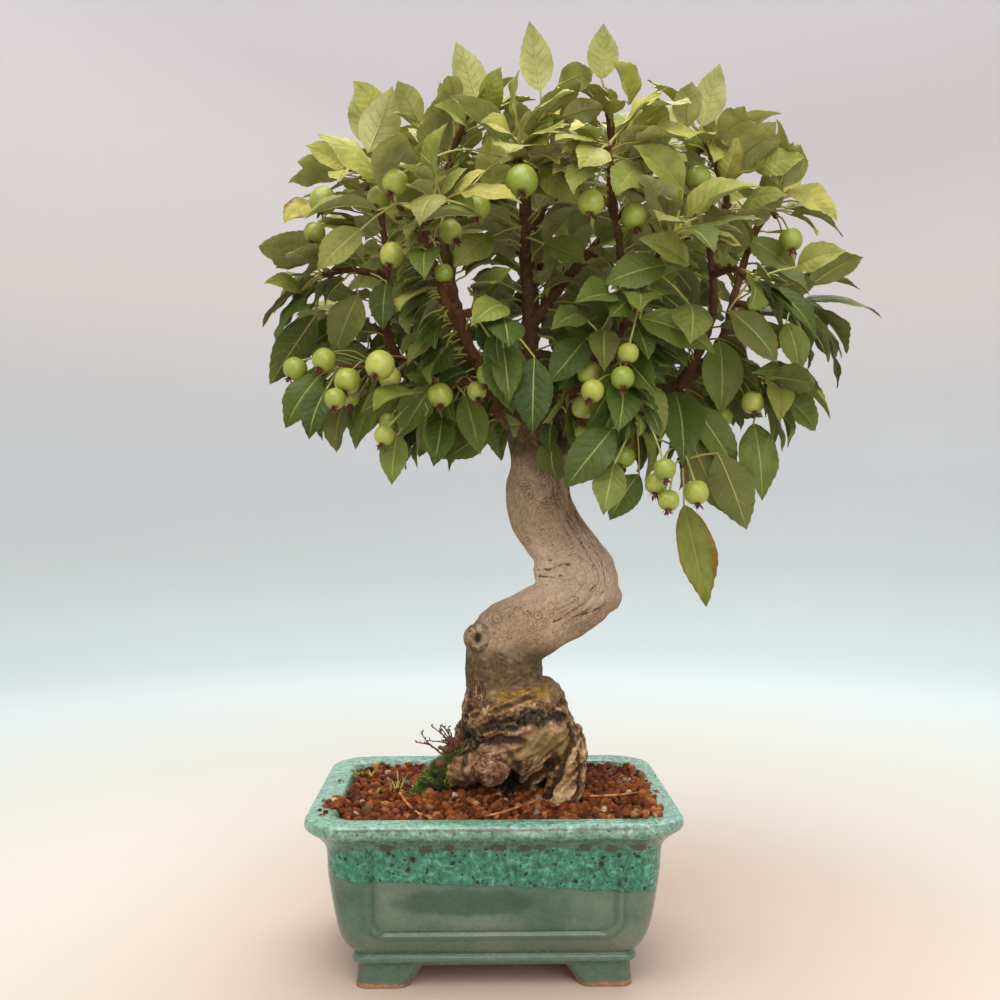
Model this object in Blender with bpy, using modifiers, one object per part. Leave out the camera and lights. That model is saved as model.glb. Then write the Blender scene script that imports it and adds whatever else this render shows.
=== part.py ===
"""Hall crabapple bonsai in an oblong glazed pot.

The plan below is in millimetres, with the centre of the pot's footprint at X = 0, Y = 0 and its feet at Z = 0.
X runs along the pot, Y from its front to its back, and Z up. MM turns the plan into Blender's metres, and the last
step slides the whole model so that its origin is under the middle of its bounding box.
"""

import math
import random

import bmesh
import bpy
import numpy as np
from mathutils import Matrix, Vector, noise
from mathutils.bvhtree import BVHTree

MM = 0.001
GAP = 0.3
WELD = 0.002
FLAT_ANGLE = 0.3
FUSE_WAYS = [("EXACT", FLAT_ANGLE), ("MANIFOLD", FLAT_ANGLE), ("EXACT", 0.0), ("MANIFOLD", 0.0)]
MODEL = "hall_crabapple_bonsai"

# Pot: body half sizes just under the rim, and rings as (outward offset from them, height).
POT_HALF_X = 83.5
POT_HALF_Y = 62.5
POT_CORNER = 15.0
POT_CORNER_LEAST = 4.0
POT_CORNER_SHARE = 0.7
POT_FLOOR = 20.0
POT_UNDERSIDE = 11.2
POT_INSIDE = [(-20.0, POT_FLOOR), (-13.5, 30.0), (-8.0, 58.0), (-5.5, 80.0)]
POT_RIM = [
    (-3.6, 86.4), (-1.6, 88.2), (5.0, 88.8), (9.6, 88.5), (11.3, 87.3), (11.8, 85.3), (11.3, 83.0), (8.8, 80.9),
    (5.2, 77.9),
]
POT_BODY = [
    (2.4, 74.5), (1.1, 70.6), (0.4, 60.0), (-0.8, 51.0), (-2.6, 39.5), (-4.8, 29.5), (-7.2, 24.0),
    (-9.8, 20.4), (-12.0, 18.2),
]
POT_ROLL = [(-12.3, 17.2), (-11.5, 16.2), (-11.2, 14.8), (-11.6, 13.4), (-12.9, 12.5), (-13.9, POT_UNDERSIDE)]
CORNER_STEPS = 4
FOOT_TOP = 18.0
FOOT_TOP_SIZE = (40.0, 34.0)
FOOT_SIZE = (27.5, 22.5)
FOOT_OUTER = (70.4, 49.6)
FOOT_CORNER = 6.0
FOOT_CORNER_STEPS = 2
FOOT_FLARE = 1.15
FOOT_WAIST = 0.9
FOOT_LEVELS = (0.0, 0.3, 0.62, 1.0)
DRAIN_X = 34.0
DRAIN_RADIUS = 9.0
DRAIN_SIDES = 14
DRILL_OVER = 6.0
SCREEN_SIZE = 30.0
SCREEN_THICK = 1.2
SCREEN_HOLE = 9.0
SCREEN_PITCH = 13.0

# Soil: height at the pot's wall and how much the middle is mounded above it.
SOIL_EDGE = 84.0
SOIL_MOUND = 4.5
SOIL_RINGS = 6
SOIL_GRAIN = 1.1
SOIL_GRAIN_SCALE = 0.16
SOIL_SPREAD = 1.15
SOIL_LIP = 0.4
WALL_GAP = 0.4
TRUNK_CLEARANCE = 1.0

# Centrelines as (x, y, z, radius): the base up from below the soil line, and the trunk from there to its fork.
BASE = [
    (16, 14, 77, 19), (15.5, 11, 90, 21), (14, 5, 104, 27), (12.5, -1.5, 119, 31), (11.5, -3, 133, 29.2),
    (11, -3, 141, 26.6), (10.5, -3, 146.5, 21.5),
]
TRUNK = [
    (6, -3, 128, 18), (5.6, -3, 140, 20), (5.6, -3, 151, 20.4), (5.6, -3, 162, 20.4), (8.4, -4, 171, 20.2),
    (17, -5, 177, 19.8), (27, -6, 181.5, 19.2), (37.5, -6, 187, 18.8), (47.5, -6, 193.5, 18.6), (51.5, -5, 202, 18.4),
    (45.5, -3, 211, 18), (36.5, -1, 223, 18), (29.5, 1, 234, 18.6), (25, 2, 245, 18.8), (24.5, 2, 257, 17.6),
    (24.5, 1, 267, 16),
    (23.5, 0, 277, 15.2), (22, 0, 288, 15), (21, 0, 297, 13.5), (20.5, 1, 304, 10),
]
ROOTS = [
    [(0, 0, 130, 17.5), (-7, 0, 118, 14), (-14, 3, 102, 10.5), (-22, 3, 90, 9), (-28, 3, 77, 7)],
    [(34, -6, 122, 14), (37, -13, 110, 12.5), (38, -18, 99, 11), (34, -20, 88, 10.5), (31, -21, 77, 9)],
    [(39, 2, 120, 14), (42, 2, 106, 12), (41, 2, 94, 9.5), (43, 1, 85, 8.5), (45, 0, 77, 7.5)],
    [(14, 12, 118, 16), (8, 25, 102, 13), (4, 36, 89, 10), (0, 45, 77, 7)],
    [(27, 12, 112, 14), (36, 24, 98, 11), (44, 33, 86, 8), (51, 39, 77, 6)],
    [(16, -24, 121, 8), (2, -24, 114, 9), (-10, -18, 107, 8.5), (-20, -9, 99, 7.5), (-27, 0, 91, 6.5),
     (-31, 6, 80, 6)],
    [(-2, 10, 112, 13), (-15, 21, 98, 10), (-25, 31, 86, 8), (-32, 38, 77, 6)],
]
BURLS = [(-1, -26, 105, 9.5), (-9, -17, 172, 7.5), (61.5, -6, 193.5, 9), (34, -5, 207.5, 12.6)]
STUB = [(30, -6, 260, 6), (38, -8, 271, 5), (45, -9, 281, 4.4)]
WOOD_SIDES = 16
WOOD_STEPS = 3
WOOD_BUMPS = 0.10
ROOT_SIDES = 10
ROOT_STEPS = 4
ROOT_BUMPS = 0.35
BUMP_SCALE = 0.06
BURL_SEGMENTS = 12
BURL_RINGS = 8
STUB_SIDES = 7
STUB_STEPS = 2
TRUNK_VOXEL = 2.0
TRUNK_TRIANGLES = 1150
TRUNK_SMOOTHING = 6
BRANCH_SIDES = 5
BRANCH_STEPS = 1

# Branches as (x, y, z, radius) points. Each starts inside what it grows from.
BRANCHES = {
    "left": [(18, 0, 284, 6.4), (6, -4, 293, 5.6), (-6, -9, 312, 5), (-15, -13, 333, 4.3), (-22, -15, 358, 3.8),
             (-26, -16, 380, 3.4), (-29, -18, 398, 2.9)],
    "far_left": [(15, 1, 290, 5.2), (-4, 2, 300, 4.5), (-24, 3, 309, 4), (-46, 4, 319, 3.5), (-57, 5, 334, 3.2),
                 (-60, 6, 356, 2.9), (-59, 8, 380, 2.6), (-62, 9, 402, 2.2)],
    "centre": [(20, 1, 294, 7.2), (20, 4, 312, 6), (21, 7, 332, 5.3), (20, 8, 352, 4.6), (18, 7, 385, 3.8),
               (19, 5, 412, 3.2)],
    "right": [(22, 0, 288, 6.4), (36, -2, 297, 5.4), (52, -4, 303, 5), (76, -6, 305, 4.5), (98, -8, 307, 4),
              (114, -9, 319, 3.6), (126, -9, 337, 3.2), (131, -9, 356, 2.9), (139, -10, 384, 2.4)],
    "right_inner": [(56, -5, 303, 4), (63, -9, 318, 3.5), (68, -13, 345, 3.1), (68, -15, 383, 2.7), (63, -14, 410, 2.4),
                    (64, -13, 438, 2.1)],
    "right_middle": [(100, -8, 307, 3.7), (110, -14, 324, 3.2), (118, -18, 350, 2.8), (116, -20, 384, 2.4),
                     (123, -22, 402, 2.1)],
    "back_left": [(18, 4, 290, 5.6), (6, 22, 305, 4.6), (-10, 42, 322, 4), (-26, 60, 340, 3.4), (-38, 72, 360, 2.7)],
    "back_right": [(23, 4, 290, 5.6), (40, 22, 306, 4.6), (60, 44, 324, 4), (78, 62, 340, 3.4), (92, 74, 358, 2.7)],
    "back_up": [(20, 7, 330, 4.5), (24, 24, 352, 3.8), (24, 42, 378, 3.4), (22, 56, 402, 2.9), (24, 62, 422, 2.4)],
    "front_left": [(0, -6, 303, 4.3), (-8, -24, 318, 3.7), (-18, -46, 334, 3.2), (-28, -64, 352, 2.7),
                   (-34, -70, 372, 2.4)],
    "front_right": [(26, -2, 288, 5.1), (38, -22, 303, 4.2), (52, -44, 319, 3.5), (66, -60, 335, 3),
                    (74, -68, 352, 2.6)],
    "upper_right": [(20, 7, 342, 4), (38, 10, 366, 3.5), (60, 11, 392, 3), (76, 9, 414, 2.6), (86, 6, 436, 2.2)],
}

# Shoots: the branch that each grows from, the place along it (0 to 1), and the shoot's own end point.
SHOOTS = {
    "far_left_tip": ("far_left", 1.0, (-72, -8, 428)),
    "far_left_upper": ("far_left", 0.80, (-92, -18, 366)),
    "far_left_low": ("far_left", 0.42, (-82, -22, 316)),
    "far_left_back": ("far_left", 0.62, (-88, 40, 350)),
    "left_tip": ("left", 1.0, (-14, -30, 448)),
    "left_front": ("left", 0.66, (-48, -62, 392)),
    "left_back": ("left", 0.84, (-48, 42, 432)),
    "left_low": ("left", 0.34, (-34, -42, 300)),
    "centre_tip": ("centre", 1.0, (26, -16, 456)),
    "centre_front": ("centre", 0.78, (12, -66, 418)),
    "centre_back": ("centre", 0.92, (54, 32, 460)),
    "front_left_tip": ("front_left", 1.0, (-24, -90, 386)),
    "front_left_low": ("front_left", 0.60, (4, -84, 330)),
    "front_right_tip": ("front_right", 1.0, (84, -88, 372)),
    "front_right_low": ("front_right", 0.62, (70, -68, 284)),
    "right_inner_tip": ("right_inner", 1.0, (58, -30, 462)),
    "right_inner_front": ("right_inner", 0.74, (52, -92, 412)),
    "right_middle_tip": ("right_middle", 1.0, (106, -52, 428)),
    "right_middle_front": ("right_middle", 0.62, (124, -78, 352)),
    "right_tip": ("right", 1.0, (154, -22, 408)),
    "right_outer": ("right", 0.86, (164, -22, 352)),
    "right_low": ("right", 0.62, (142, -34, 308)),
    "right_hanging": ("right", 0.50, (96, -46, 262)),
    "upper_right_tip": ("upper_right", 1.0, (100, 32, 452)),
    "upper_right_back": ("upper_right", 0.70, (120, 58, 408)),
    "back_up_tip": ("back_up", 1.0, (18, 66, 450)),
    "back_up_right": ("back_up", 0.60, (56, 82, 404)),
    "back_up_left": ("back_up", 0.84, (-20, 34, 450)),
    "back_left_tip": ("back_left", 1.0, (-50, 82, 392)),
    "back_left_low": ("back_left", 0.66, (-12, 88, 332)),
    "back_left_side": ("back_left", 0.40, (-56, 62, 310)),
    "back_right_tip": ("back_right", 1.0, (102, 84, 384)),
    "back_right_low": ("back_right", 0.62, (68, 84, 312)),
    "back_right_side": ("back_right", 0.44, (122, 54, 322)),
}
SHOOT_RADIUS = (2.0, 1.4)
SHOOT_SIDES = 4
SHOOT_GAP = 0.45
SHOOT_LEAD = 4.0
SHOOT_LIFT = 0.07
ROSETTE_SPACING = 28.0
TIP_LEAVES = 5
SIDE_LEAVES = 3

# Leaves whose place shapes the outline: the shoot, the blade's base and the blade's tip.
KEY_LEAVES = [
    ("centre_tip", (25, -20, 464), (19, -20, 501), "back"),
    ("left_tip", (-9, -30, 455), (-20, -30, 486), "back"),
    ("right_inner_tip", (56, -32, 466), (57, -34, 494), "back"),
    ("right_middle_tip", (104, -54, 434), (112, -58, 464), "back"),
    ("far_left_tip", (-68, -8, 438), (-72, -10, 472), "back"),
    ("far_left_upper", (-95, -16, 345), (-120, -14, 308), "back"),
    ("far_left_upper", (-101, -10, 368), (-124, -10, 363), "up"),
    ("right_outer", (166, -20, 353), (210, -20, 347), "up"),
    ("right_tip", (159, -15, 414), (187, -15, 401), "up"),
    ("right_hanging", (96, -50, 244), (107, -52, 192), "front"),
    ("centre_tip", (34, -23, 466), (52, -43, 466), "back"),
    ("centre_tip", (36, -21, 450), (57, -39, 449), "back"),
    ("far_left_tip", (-60, -15, 448), (-74, -25, 467), "front"),
    ("far_left_tip", (-66, -26, 429), (-53, -30, 462), "back"),
    ("far_left_tip", (-79, -15, 424), (-98, -29, 432), "front"),
    ("far_left_tip", (-97, -11, 407), (-109, -32, 391), "front"),
    ("left_tip", (-38, -34, 441), (-49, -50, 458), "back"),
    ("left_tip", (-14, -35, 440), (-29, -56, 444), "front"),
    ("left_tip", (-4, -37, 447), (3, -57, 462), "front"),
    ("centre_front", (9, -73, 421), (-6, -96, 422), "front"),
    ("centre_front", (0, -48, 402), (-2, -52, 430), "front"),
    ("centre_front", (22, -61, 410), (41, -74, 390), "front"),
    ("centre_front", (-1, -18, 387), (-21, -31, 368), "front"),
    ("centre_front", (27, -18, 383), (48, -34, 369), "front"),
    ("right_inner_tip", (72, -31, 454), (59, -52, 468), "front"),
    ("right_inner_front", (69, -90, 428), (88, -112, 424), "up"),
    ("right_inner_front", (69, -80, 406), (55, -104, 387), "front"),
    ("right_middle_tip", (96, -59, 431), (94, -78, 448), "back"),
    ("right_middle_tip", (119, -39, 411), (121, -58, 428), "front"),
    ("right_middle_tip", (134, -42, 416), (157, -52, 420), "front"),
    ("right_middle_tip", (128, -40, 398), (146, -56, 400), "front"),
    ("right_tip", (155, -29, 409), (181, -32, 395), "front"),
    ("right_tip", (136, -20, 386), (163, -23, 366), "front"),
    ("right_middle_front", (143, -85, 357), (161, -100, 362), "front"),
    ("right_middle_front", (113, -75, 338), (137, -78, 313), "front"),
    ("front_right_tip", (87, -95, 390), (64, -98, 411), "front"),
    ("front_right_tip", (91, -88, 357), (66, -100, 367), "front"),
    ("front_right_tip", (81, -83, 358), (51, -86, 348), "front"),
    ("front_right_tip", (69, -80, 333), (105, -83, 317), "front"),
    ("front_right_tip", (93, -80, 340), (89, -103, 319), "front"),
    ("front_right_tip", (55, -80, 344), (37, -104, 338), "front"),
    ("front_left_tip", (-6, -97, 377), (-43, -100, 370), "up"),
    ("front_left_low", (18, -91, 313), (17, -94, 277), "front"),
    ("front_left_low", (4, -91, 337), (-11, -114, 325), "front"),
    ("left_front", (-65, -69, 378), (-86, -72, 357), "front"),
    ("far_left_upper", (-101, -25, 356), (-115, -47, 357), "front"),
    ("far_left_upper", (-58, -6, 365), (-59, -19, 337), "front"),
    ("far_left_upper", (-73, -10, 357), (-86, -13, 324), "front"),
    ("far_left_low", (-90, -29, 312), (-109, -32, 284), "front"),
    ("far_left_low", (-85, -44, 303), (-94, -48, 277), "front"),
    ("left_low", (-49, -49, 279), (-51, -61, 254), "front"),
    ("left_low", (-32, -46, 304), (-48, -49, 278), "front"),
    ("left_low", (-27, -36, 289), (-31, -46, 264), "front"),
    ("left_low", (-15, -30, 301), (-7, -33, 270), "front"),
    ("front_right_low", (45, -63, 326), (26, -70, 304), "front"),
    ("front_right_low", (54, -63, 330), (52, -82, 308), "front"),
    ("front_right_low", (57, -75, 281), (33, -78, 252), "front"),
    ("front_right_low", (44, -63, 337), (27, -86, 328), "front"),
    ("front_right_low", (58, -72, 264), (51, -88, 240), "front"),
    ("front_right_low", (72, -58, 259), (57, -60, 236), "front"),
    ("right_low", (117, -36, 329), (117, -40, 291), "front"),
    ("right_low", (146, -41, 305), (142, -62, 286), "front"),
    ("right_low", (134, -40, 286), (138, -44, 246), "front"),
    ("right_outer", (155, -26, 340), (159, -38, 313), "front"),
    ("right_hanging", (95, -30, 303), (95, -56, 264), "front"),
    ("right_hanging", (104, -34, 296), (126, -40, 261), "front"),
    ("right_hanging", (102, -40, 276), (119, -43, 239), "back"),
    ("right_hanging", (113, -50, 270), (127, -53, 231), "back"),
    ("back_left_tip", (-58, 92, 388), (-78, 114, 384), "up"),
    ("back_right_tip", (108, 96, 380), (122, 122, 372), "up"),
    ("back_up_tip", (18, 74, 456), (16, 94, 482), "back"),
    ("upper_right_tip", (104, 36, 458), (116, 46, 484), "back"),
    ("front_right_tip", (88, -98, 372), (96, -122, 356), "up"),
    ("front_left_tip", (-26, -100, 386), (-34, -124, 368), "up"),
    ("back_up_right", (60, 92, 404), (64, 124, 396), "up"),
    ("back_left_low", (-14, 98, 330), (-20, 124, 308), "back"),
]
FACING = {"front": (0, -1.0, 0.35), "back": (0, 1.0, 0.5), "up": (0, -0.4, 1.0)}
KEY_ROOTS = [0.2 + 0.05 * k for k in range(17)]
FRONT_EYE = (-8.6, -597.4, 246.2)
CLEAR_PLACES = (0.1, 0.35, 0.6, 0.85)
CLEAR_SHARE = 0.19
# Stretches of branches that show bare from the front, as places along them (0 to 1).
BARE_WOOD = [
    ("far_left", 0.55, 1.0), ("left", 0.35, 0.85), ("centre", 0.38, 1.0), ("right_inner", 0.65, 1.0),
    ("right", 0.5, 0.62), ("right", 0.87, 1.0), ("right_middle", 0.33, 0.68),
]
BARE_DISCS = 8
BARE_MARGIN = 4.5
LEAF_LENGTH = (30.0, 38.0)
LEAF_WIDTH = 0.56
LEAF_WIDEST = 20.5
LEAF_THICK = 1.0
LEAF_FOLD = 0.16
LEAF_DROOP = 0.16
PETIOLE_LENGTH = (9.0, 15.0)
PETIOLE_RADIUS = 0.66
LEAF_TRIES = 30
LEAF_STEP = 1.9
LEAF_RISE = (0.15, 0.9)
LEAF_TURN = 0.6
LEAF_OUT = 0.8
LEAF_OUTWARD = 0.45
LEAF_PULL = (0.25, -0.18)
LEAF_SAG = (0.05, 0.7)
LEAF_FACING = (0.75, 1.0, 0.6)
FIRST_LEAF = 0.12
BARE_START = 12.0
LEAF_MARGIN = 0.5
CANOPY_CENTRE = (36, 0, 356)
CANOPY_SIZE = (162, 126, 112)
CANOPY_POWER = 2.6

# Fruit bunches: the shoot, the place along it (0 to 1), and the fruits as (x, y, z, diameter).
BUNCHES = {
    "far_left_low": (0.55, [(-74, -50, 306, 13.6), (-87, -40, 318, 12.4), (-104, -27, 315, 12.7)]),
    "left_low": (0.80, [(-56, -68, 312, 14.5), (-54, -36, 286, 11), (-27, -60, 298, 12.5)]),
    "far_left_tip": (0.60, [(-88, -38, 400, 14.3), (-95, -20, 388, 11.6)]),
    "left_front": (0.60, [(-50, -66, 366, 12.9), (-22, -56, 380, 12.1)]),
    "centre_front": (0.75, [(12, -95, 394, 15.3), (-8, -72, 388, 12)]),
    "right_inner_front": (0.80, [(66, -84, 381, 12.6), (44, -96, 384, 12.4)]),
    "right_middle_tip": (0.70, [(100, -66, 404, 12.9), (94, -54, 384, 10)]),
    "right_tip": (0.70, [(155, -34, 382, 12.4), (160, -8, 380, 11.7)]),
    "front_right_low": (0.20, [(47, -62, 309, 12.4), (45, -50, 293, 12.1), (60, -86, 304, 11.3)]),
    "right_hanging": (0.80, [(64, -62, 268, 11.5), (78, -74, 254, 11), (99, -66, 250, 12.6)]),
    "right_low": (0.60, [(132, -46, 296, 11.8), (120, -30, 290, 11)]),
    "back_left_side": (0.70, [(-58, 50, 288, 12.6), (-40, 66, 284, 12)]),
    "back_left_tip": (0.60, [(-40, 96, 356, 12.8), (-60, 78, 352, 12)]),
    "back_up_tip": (0.60, [(6, 80, 414, 12.6), (30, 72, 410, 12)]),
    "back_right_tip": (0.60, [(90, 96, 346, 12.8), (112, 80, 344, 12)]),
    "upper_right_back": (0.75, [(124, 70, 382, 12.6), (108, 72, 386, 11.6)]),
}
STALK_RADIUS = 0.7
STALK_SIDES = 3
STALK_RISE = 0.12
STALK_SINK = 1.6
STALK_ARRIVES = (0.5, 0.8)
HUB_RADIUS = 2.0
HUB_SEGMENTS = 4
HUB_RINGS = 2
FRUIT_SEGMENTS = 6
FRUIT_RINGS = 4
FRUIT_POLE_TILT = 0.5

SEED = 20


def make_material(name, colour, roughness):
    """Principled material with one colour."""
    material = bpy.data.materials.new(name)
    material.use_nodes = True
    shader = material.node_tree.nodes["Principled BSDF"]
    shader.inputs["Base Color"].default_value = (*colour, 1.0)
    shader.inputs["Roughness"].default_value = roughness
    shader.inputs["Metallic"].default_value = 0.0
    material.diffuse_color = (*colour, 1.0)
    return material


def new_object(name, verts, faces, material, collection):
    """Mesh object from a plan in millimetres."""
    mesh = bpy.data.meshes.new(name)
    mesh.from_pydata([tuple(c * MM for c in v) for v in verts], [], faces)
    mesh.materials.append(material)
    obj = bpy.data.objects.new(name, mesh)
    collection.objects.link(obj)
    return obj


def apply_modifiers(obj):
    """Keep the evaluated mesh and drop the modifiers."""
    graph = bpy.context.evaluated_depsgraph_get()
    mesh = bpy.data.meshes.new_from_object(obj.evaluated_get(graph))
    obj.modifiers.clear()
    old = obj.data
    obj.data = mesh
    mesh.name = obj.name
    bpy.data.meshes.remove(old)


def mesh_islands(bm):
    """Faces of a mesh in connected groups, the largest first."""
    seen = set()
    islands = []
    for start in bm.faces:
        if start in seen:
            continue
        island = []
        queue = [start]
        seen.add(start)
        while queue:
            face = queue.pop()
            island.append(face)
            for edge in face.edges:
                for other in edge.link_faces:
                    if other not in seen:
                        seen.add(other)
                        queue.append(other)
        islands.append(island)
    return sorted(islands, key=len, reverse=True)


def clean_mesh(obj, flat=0.0):
    """Merge doubled points, drop loose scraps and sealed hollows, join flat faces and triangulate."""
    bm = bmesh.new()
    bm.from_mesh(obj.data)
    bmesh.ops.remove_doubles(bm, verts=bm.verts, dist=WELD * MM)
    bmesh.ops.dissolve_degenerate(bm, edges=bm.edges, dist=WELD * MM)
    for island in mesh_islands(bm)[1:]:
        bmesh.ops.delete(bm, geom=island, context="FACES")
    if flat:
        bmesh.ops.dissolve_limit(bm, angle_limit=math.radians(flat), verts=bm.verts, edges=bm.edges)
    loose = [v for v in bm.verts if not v.link_faces]
    bmesh.ops.delete(bm, geom=loose, context="VERTS")
    bmesh.ops.triangulate(bm, faces=bm.faces)
    bmesh.ops.recalc_face_normals(bm, faces=bm.faces)
    bm.to_mesh(obj.data)
    bm.free()


def boolean(obj, others, operation, solver="EXACT"):
    """Boolean of obj with a collection of other objects, applied, with the others then removed."""
    group = bpy.data.collections.new("joined")
    bpy.context.scene.collection.children.link(group)
    for other in others:
        for home in list(other.users_collection):
            home.objects.unlink(other)
        group.objects.link(other)
        other.hide_render = True
        other.display_type = "WIRE"
    modifier = obj.modifiers.new("boolean", "BOOLEAN")
    modifier.operation = operation
    modifier.solver = solver
    modifier.operand_type = "COLLECTION"
    modifier.collection = group
    apply_modifiers(obj)
    for other in others:
        bpy.data.objects.remove(other)
    bpy.data.collections.remove(group)


def is_closed(obj):
    """True when each edge of the mesh has two faces."""
    bm = bmesh.new()
    bm.from_mesh(obj.data)
    closed = len(bm.faces) > 0 and all(len(e.link_faces) == 2 for e in bm.edges)
    bm.free()
    return closed


def smooth_path(points, steps):
    """Points of a Catmull-Rom curve through the given ones, each with any extra values it carries."""
    pts = [np.array(p, dtype=float) for p in points]
    pts = [2 * pts[0] - pts[1]] + pts + [2 * pts[-1] - pts[-2]]
    out = []
    for i in range(1, len(pts) - 2):
        a, b, c, d = pts[i - 1 : i + 3]
        for k in range(steps):
            t = k / steps
            out.append(
                0.5 * (2 * b + (c - a) * t + (2 * a - 5 * b + 4 * c - d) * t**2 + (3 * b - a - 3 * c + d) * t**3)
            )
    out.append(pts[-2])
    return out


def path_frames(points):
    """Tangent and two normals at each point, turned as little as possible along the path."""
    pts = [Vector(p[:3]) for p in points]
    last = len(pts) - 1
    tangents = [(pts[min(i + 1, last)] - pts[max(i - 1, 0)]).normalized() for i in range(last + 1)]
    side = tangents[0].orthogonal().normalized()
    frames = []
    for tangent in tangents:
        side = (side - tangent * side.dot(tangent)).normalized()
        frames.append((tangent, side, tangent.cross(side)))
    return frames


def tube(points, sides, bumps=0.0):
    """Closed tube along points that carry their radius, as (vertices, faces)."""
    verts = []
    for point, (_, side, up) in zip(points, path_frames(points)):
        centre = Vector(point[:3])
        for k in range(sides):
            angle = math.tau * k / sides
            out = side * math.cos(angle) + up * math.sin(angle)
            radius = point[3]
            if bumps:
                radius *= 1 + bumps * noise.noise((centre + out * radius) * BUMP_SCALE)
            verts.append(centre + out * radius)
    faces = []
    for i in range(len(points) - 1):
        for k in range(sides):
            a, b = i * sides + k, i * sides + (k + 1) % sides
            faces.append((a, b, b + sides, a + sides))
    last = (len(points) - 1) * sides
    faces.append(tuple(reversed(range(sides))))
    faces.append(tuple(last + k for k in range(sides)))
    return verts, faces


def ball(centre, radius, axis, segments, rings, facing=None):
    """Closed ball with its poles along axis and a face of its cap turned to facing, as (vertices, faces)."""
    axis = Vector(axis).normalized()
    side = facing if facing else axis.orthogonal()
    side = (side - axis * side.dot(axis)).normalized()
    turn = Matrix((side, axis.cross(side), axis)).transposed() @ Matrix.Rotation(math.pi / segments, 3, "Z")
    bm = bmesh.new()
    bmesh.ops.create_uvsphere(bm, u_segments=segments, v_segments=rings, radius=radius)
    verts = [Vector(centre) + turn @ v.co for v in bm.verts]
    faces = [tuple(v.index for v in face.verts) for face in bm.faces]
    bm.free()
    return verts, faces


def rounded_outline(half_x, half_y, corner, steps=CORNER_STEPS):
    """Points of a rounded rectangle, anticlockwise seen from above."""
    points = []
    for quarter, (sx, sy) in enumerate([(1, 1), (-1, 1), (-1, -1), (1, -1)]):
        cx, cy = sx * (half_x - corner), sy * (half_y - corner)
        for k in range(steps + 1):
            angle = math.pi / 2 * (quarter + k / steps)
            points.append((cx + corner * math.cos(angle), cy + corner * math.sin(angle)))
    return points


def pot_ring(offset, height):
    """Ring of the pot at an outward offset from the body's half sizes."""
    corner = max(POT_CORNER_LEAST, POT_CORNER + offset * POT_CORNER_SHARE)
    outline = rounded_outline(POT_HALF_X + offset, POT_HALF_Y + offset, corner)
    return [(x, y, height) for x, y in outline]


def foot(sign_x, sign_y):
    """Corner foot, wider where it meets the pot than at the floor, as (vertices, faces)."""
    rings = []
    for t in FOOT_LEVELS:
        ease = t**FOOT_FLARE
        waist = FOOT_WAIST * math.sin(math.pi * t)
        half = [(low + (high - low) * ease) / 2 for low, high in zip(FOOT_SIZE, FOOT_TOP_SIZE)]
        cx = sign_x * (FOOT_OUTER[0] - waist - half[0])
        cy = sign_y * (FOOT_OUTER[1] - waist - half[1])
        outline = rounded_outline(half[0], half[1], FOOT_CORNER, FOOT_CORNER_STEPS)
        rings.append([(cx + x, cy + y, FOOT_TOP * t) for x, y in outline])
    return loft(rings)


def loft(rings):
    """Closed solid through rings with the same number of points, as (vertices, faces)."""
    count = len(rings[0])
    verts = [p for ring in rings for p in ring]
    faces = []
    for i in range(len(rings) - 1):
        for k in range(count):
            a, b = i * count + k, i * count + (k + 1) % count
            faces.append((a, b, b + count, a + count))
    last = (len(rings) - 1) * count
    faces.append(tuple(reversed(range(count))))
    faces.append(tuple(last + k for k in range(count)))
    return verts, faces


def make_pot(parts, scratch, material):
    """Pot with its rim, bellied body, four feet and two drainage holes."""
    profile = POT_INSIDE + POT_RIM + POT_BODY + POT_ROLL
    rings = [pot_ring(*p) for p in reversed(profile)]
    pot = new_object("pot", *loft(rings), material, parts)
    feet = [new_object("foot", *foot(sx, sy), material, scratch) for sx in (-1, 1) for sy in (-1, 1)]
    boolean(pot, feet, "UNION")
    reach = POT_FLOOR - POT_UNDERSIDE + 2 * DRILL_OVER
    middle = (POT_FLOOR + POT_UNDERSIDE) / 2
    drills = [new_object("drill", *rod((sx * DRAIN_X, 0, middle), reach), material, scratch) for sx in (-1, 1)]
    boolean(pot, drills, "DIFFERENCE")
    clean_mesh(pot)
    return pot


def rod(centre, height):
    """Upright drill of the drainage holes, as (vertices, faces)."""
    bm = bmesh.new()
    bmesh.ops.create_cone(bm, cap_ends=True, segments=DRAIN_SIDES, radius1=DRAIN_RADIUS, radius2=DRAIN_RADIUS,
                          depth=height)
    return moved(bm, centre)


def box(centre, size):
    """Upright box, as (vertices, faces)."""
    bm = bmesh.new()
    bmesh.ops.create_cube(bm, size=1.0)
    bmesh.ops.scale(bm, vec=size, verts=bm.verts)
    return moved(bm, centre)


def moved(bm, centre):
    """Vertices about a centre, and faces, of a mesh that is then freed."""
    verts = [Vector(centre) + v.co for v in bm.verts]
    faces = [tuple(v.index for v in face.verts) for face in bm.faces]
    bm.free()
    return verts, faces


def make_screen(name, x, parts, scratch, material):
    """Square drainage screen with a grid of holes, lying on the pot's floor."""
    middle = POT_FLOOR + GAP + SCREEN_THICK / 2
    plate = box((x, 0, middle), (SCREEN_SIZE, SCREEN_SIZE, SCREEN_THICK))
    screen = new_object(name, *plate, material, parts)
    holes = []
    for i in (-0.5, 0.5):
        for j in (-0.5, 0.5):
            hole = box((x + i * SCREEN_PITCH, j * SCREEN_PITCH, middle), (SCREEN_HOLE, SCREEN_HOLE, 4 * SCREEN_THICK))
            holes.append(new_object("hole", *hole, material, scratch))
    boolean(screen, holes, "DIFFERENCE")
    clean_mesh(screen)
    return screen


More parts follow.
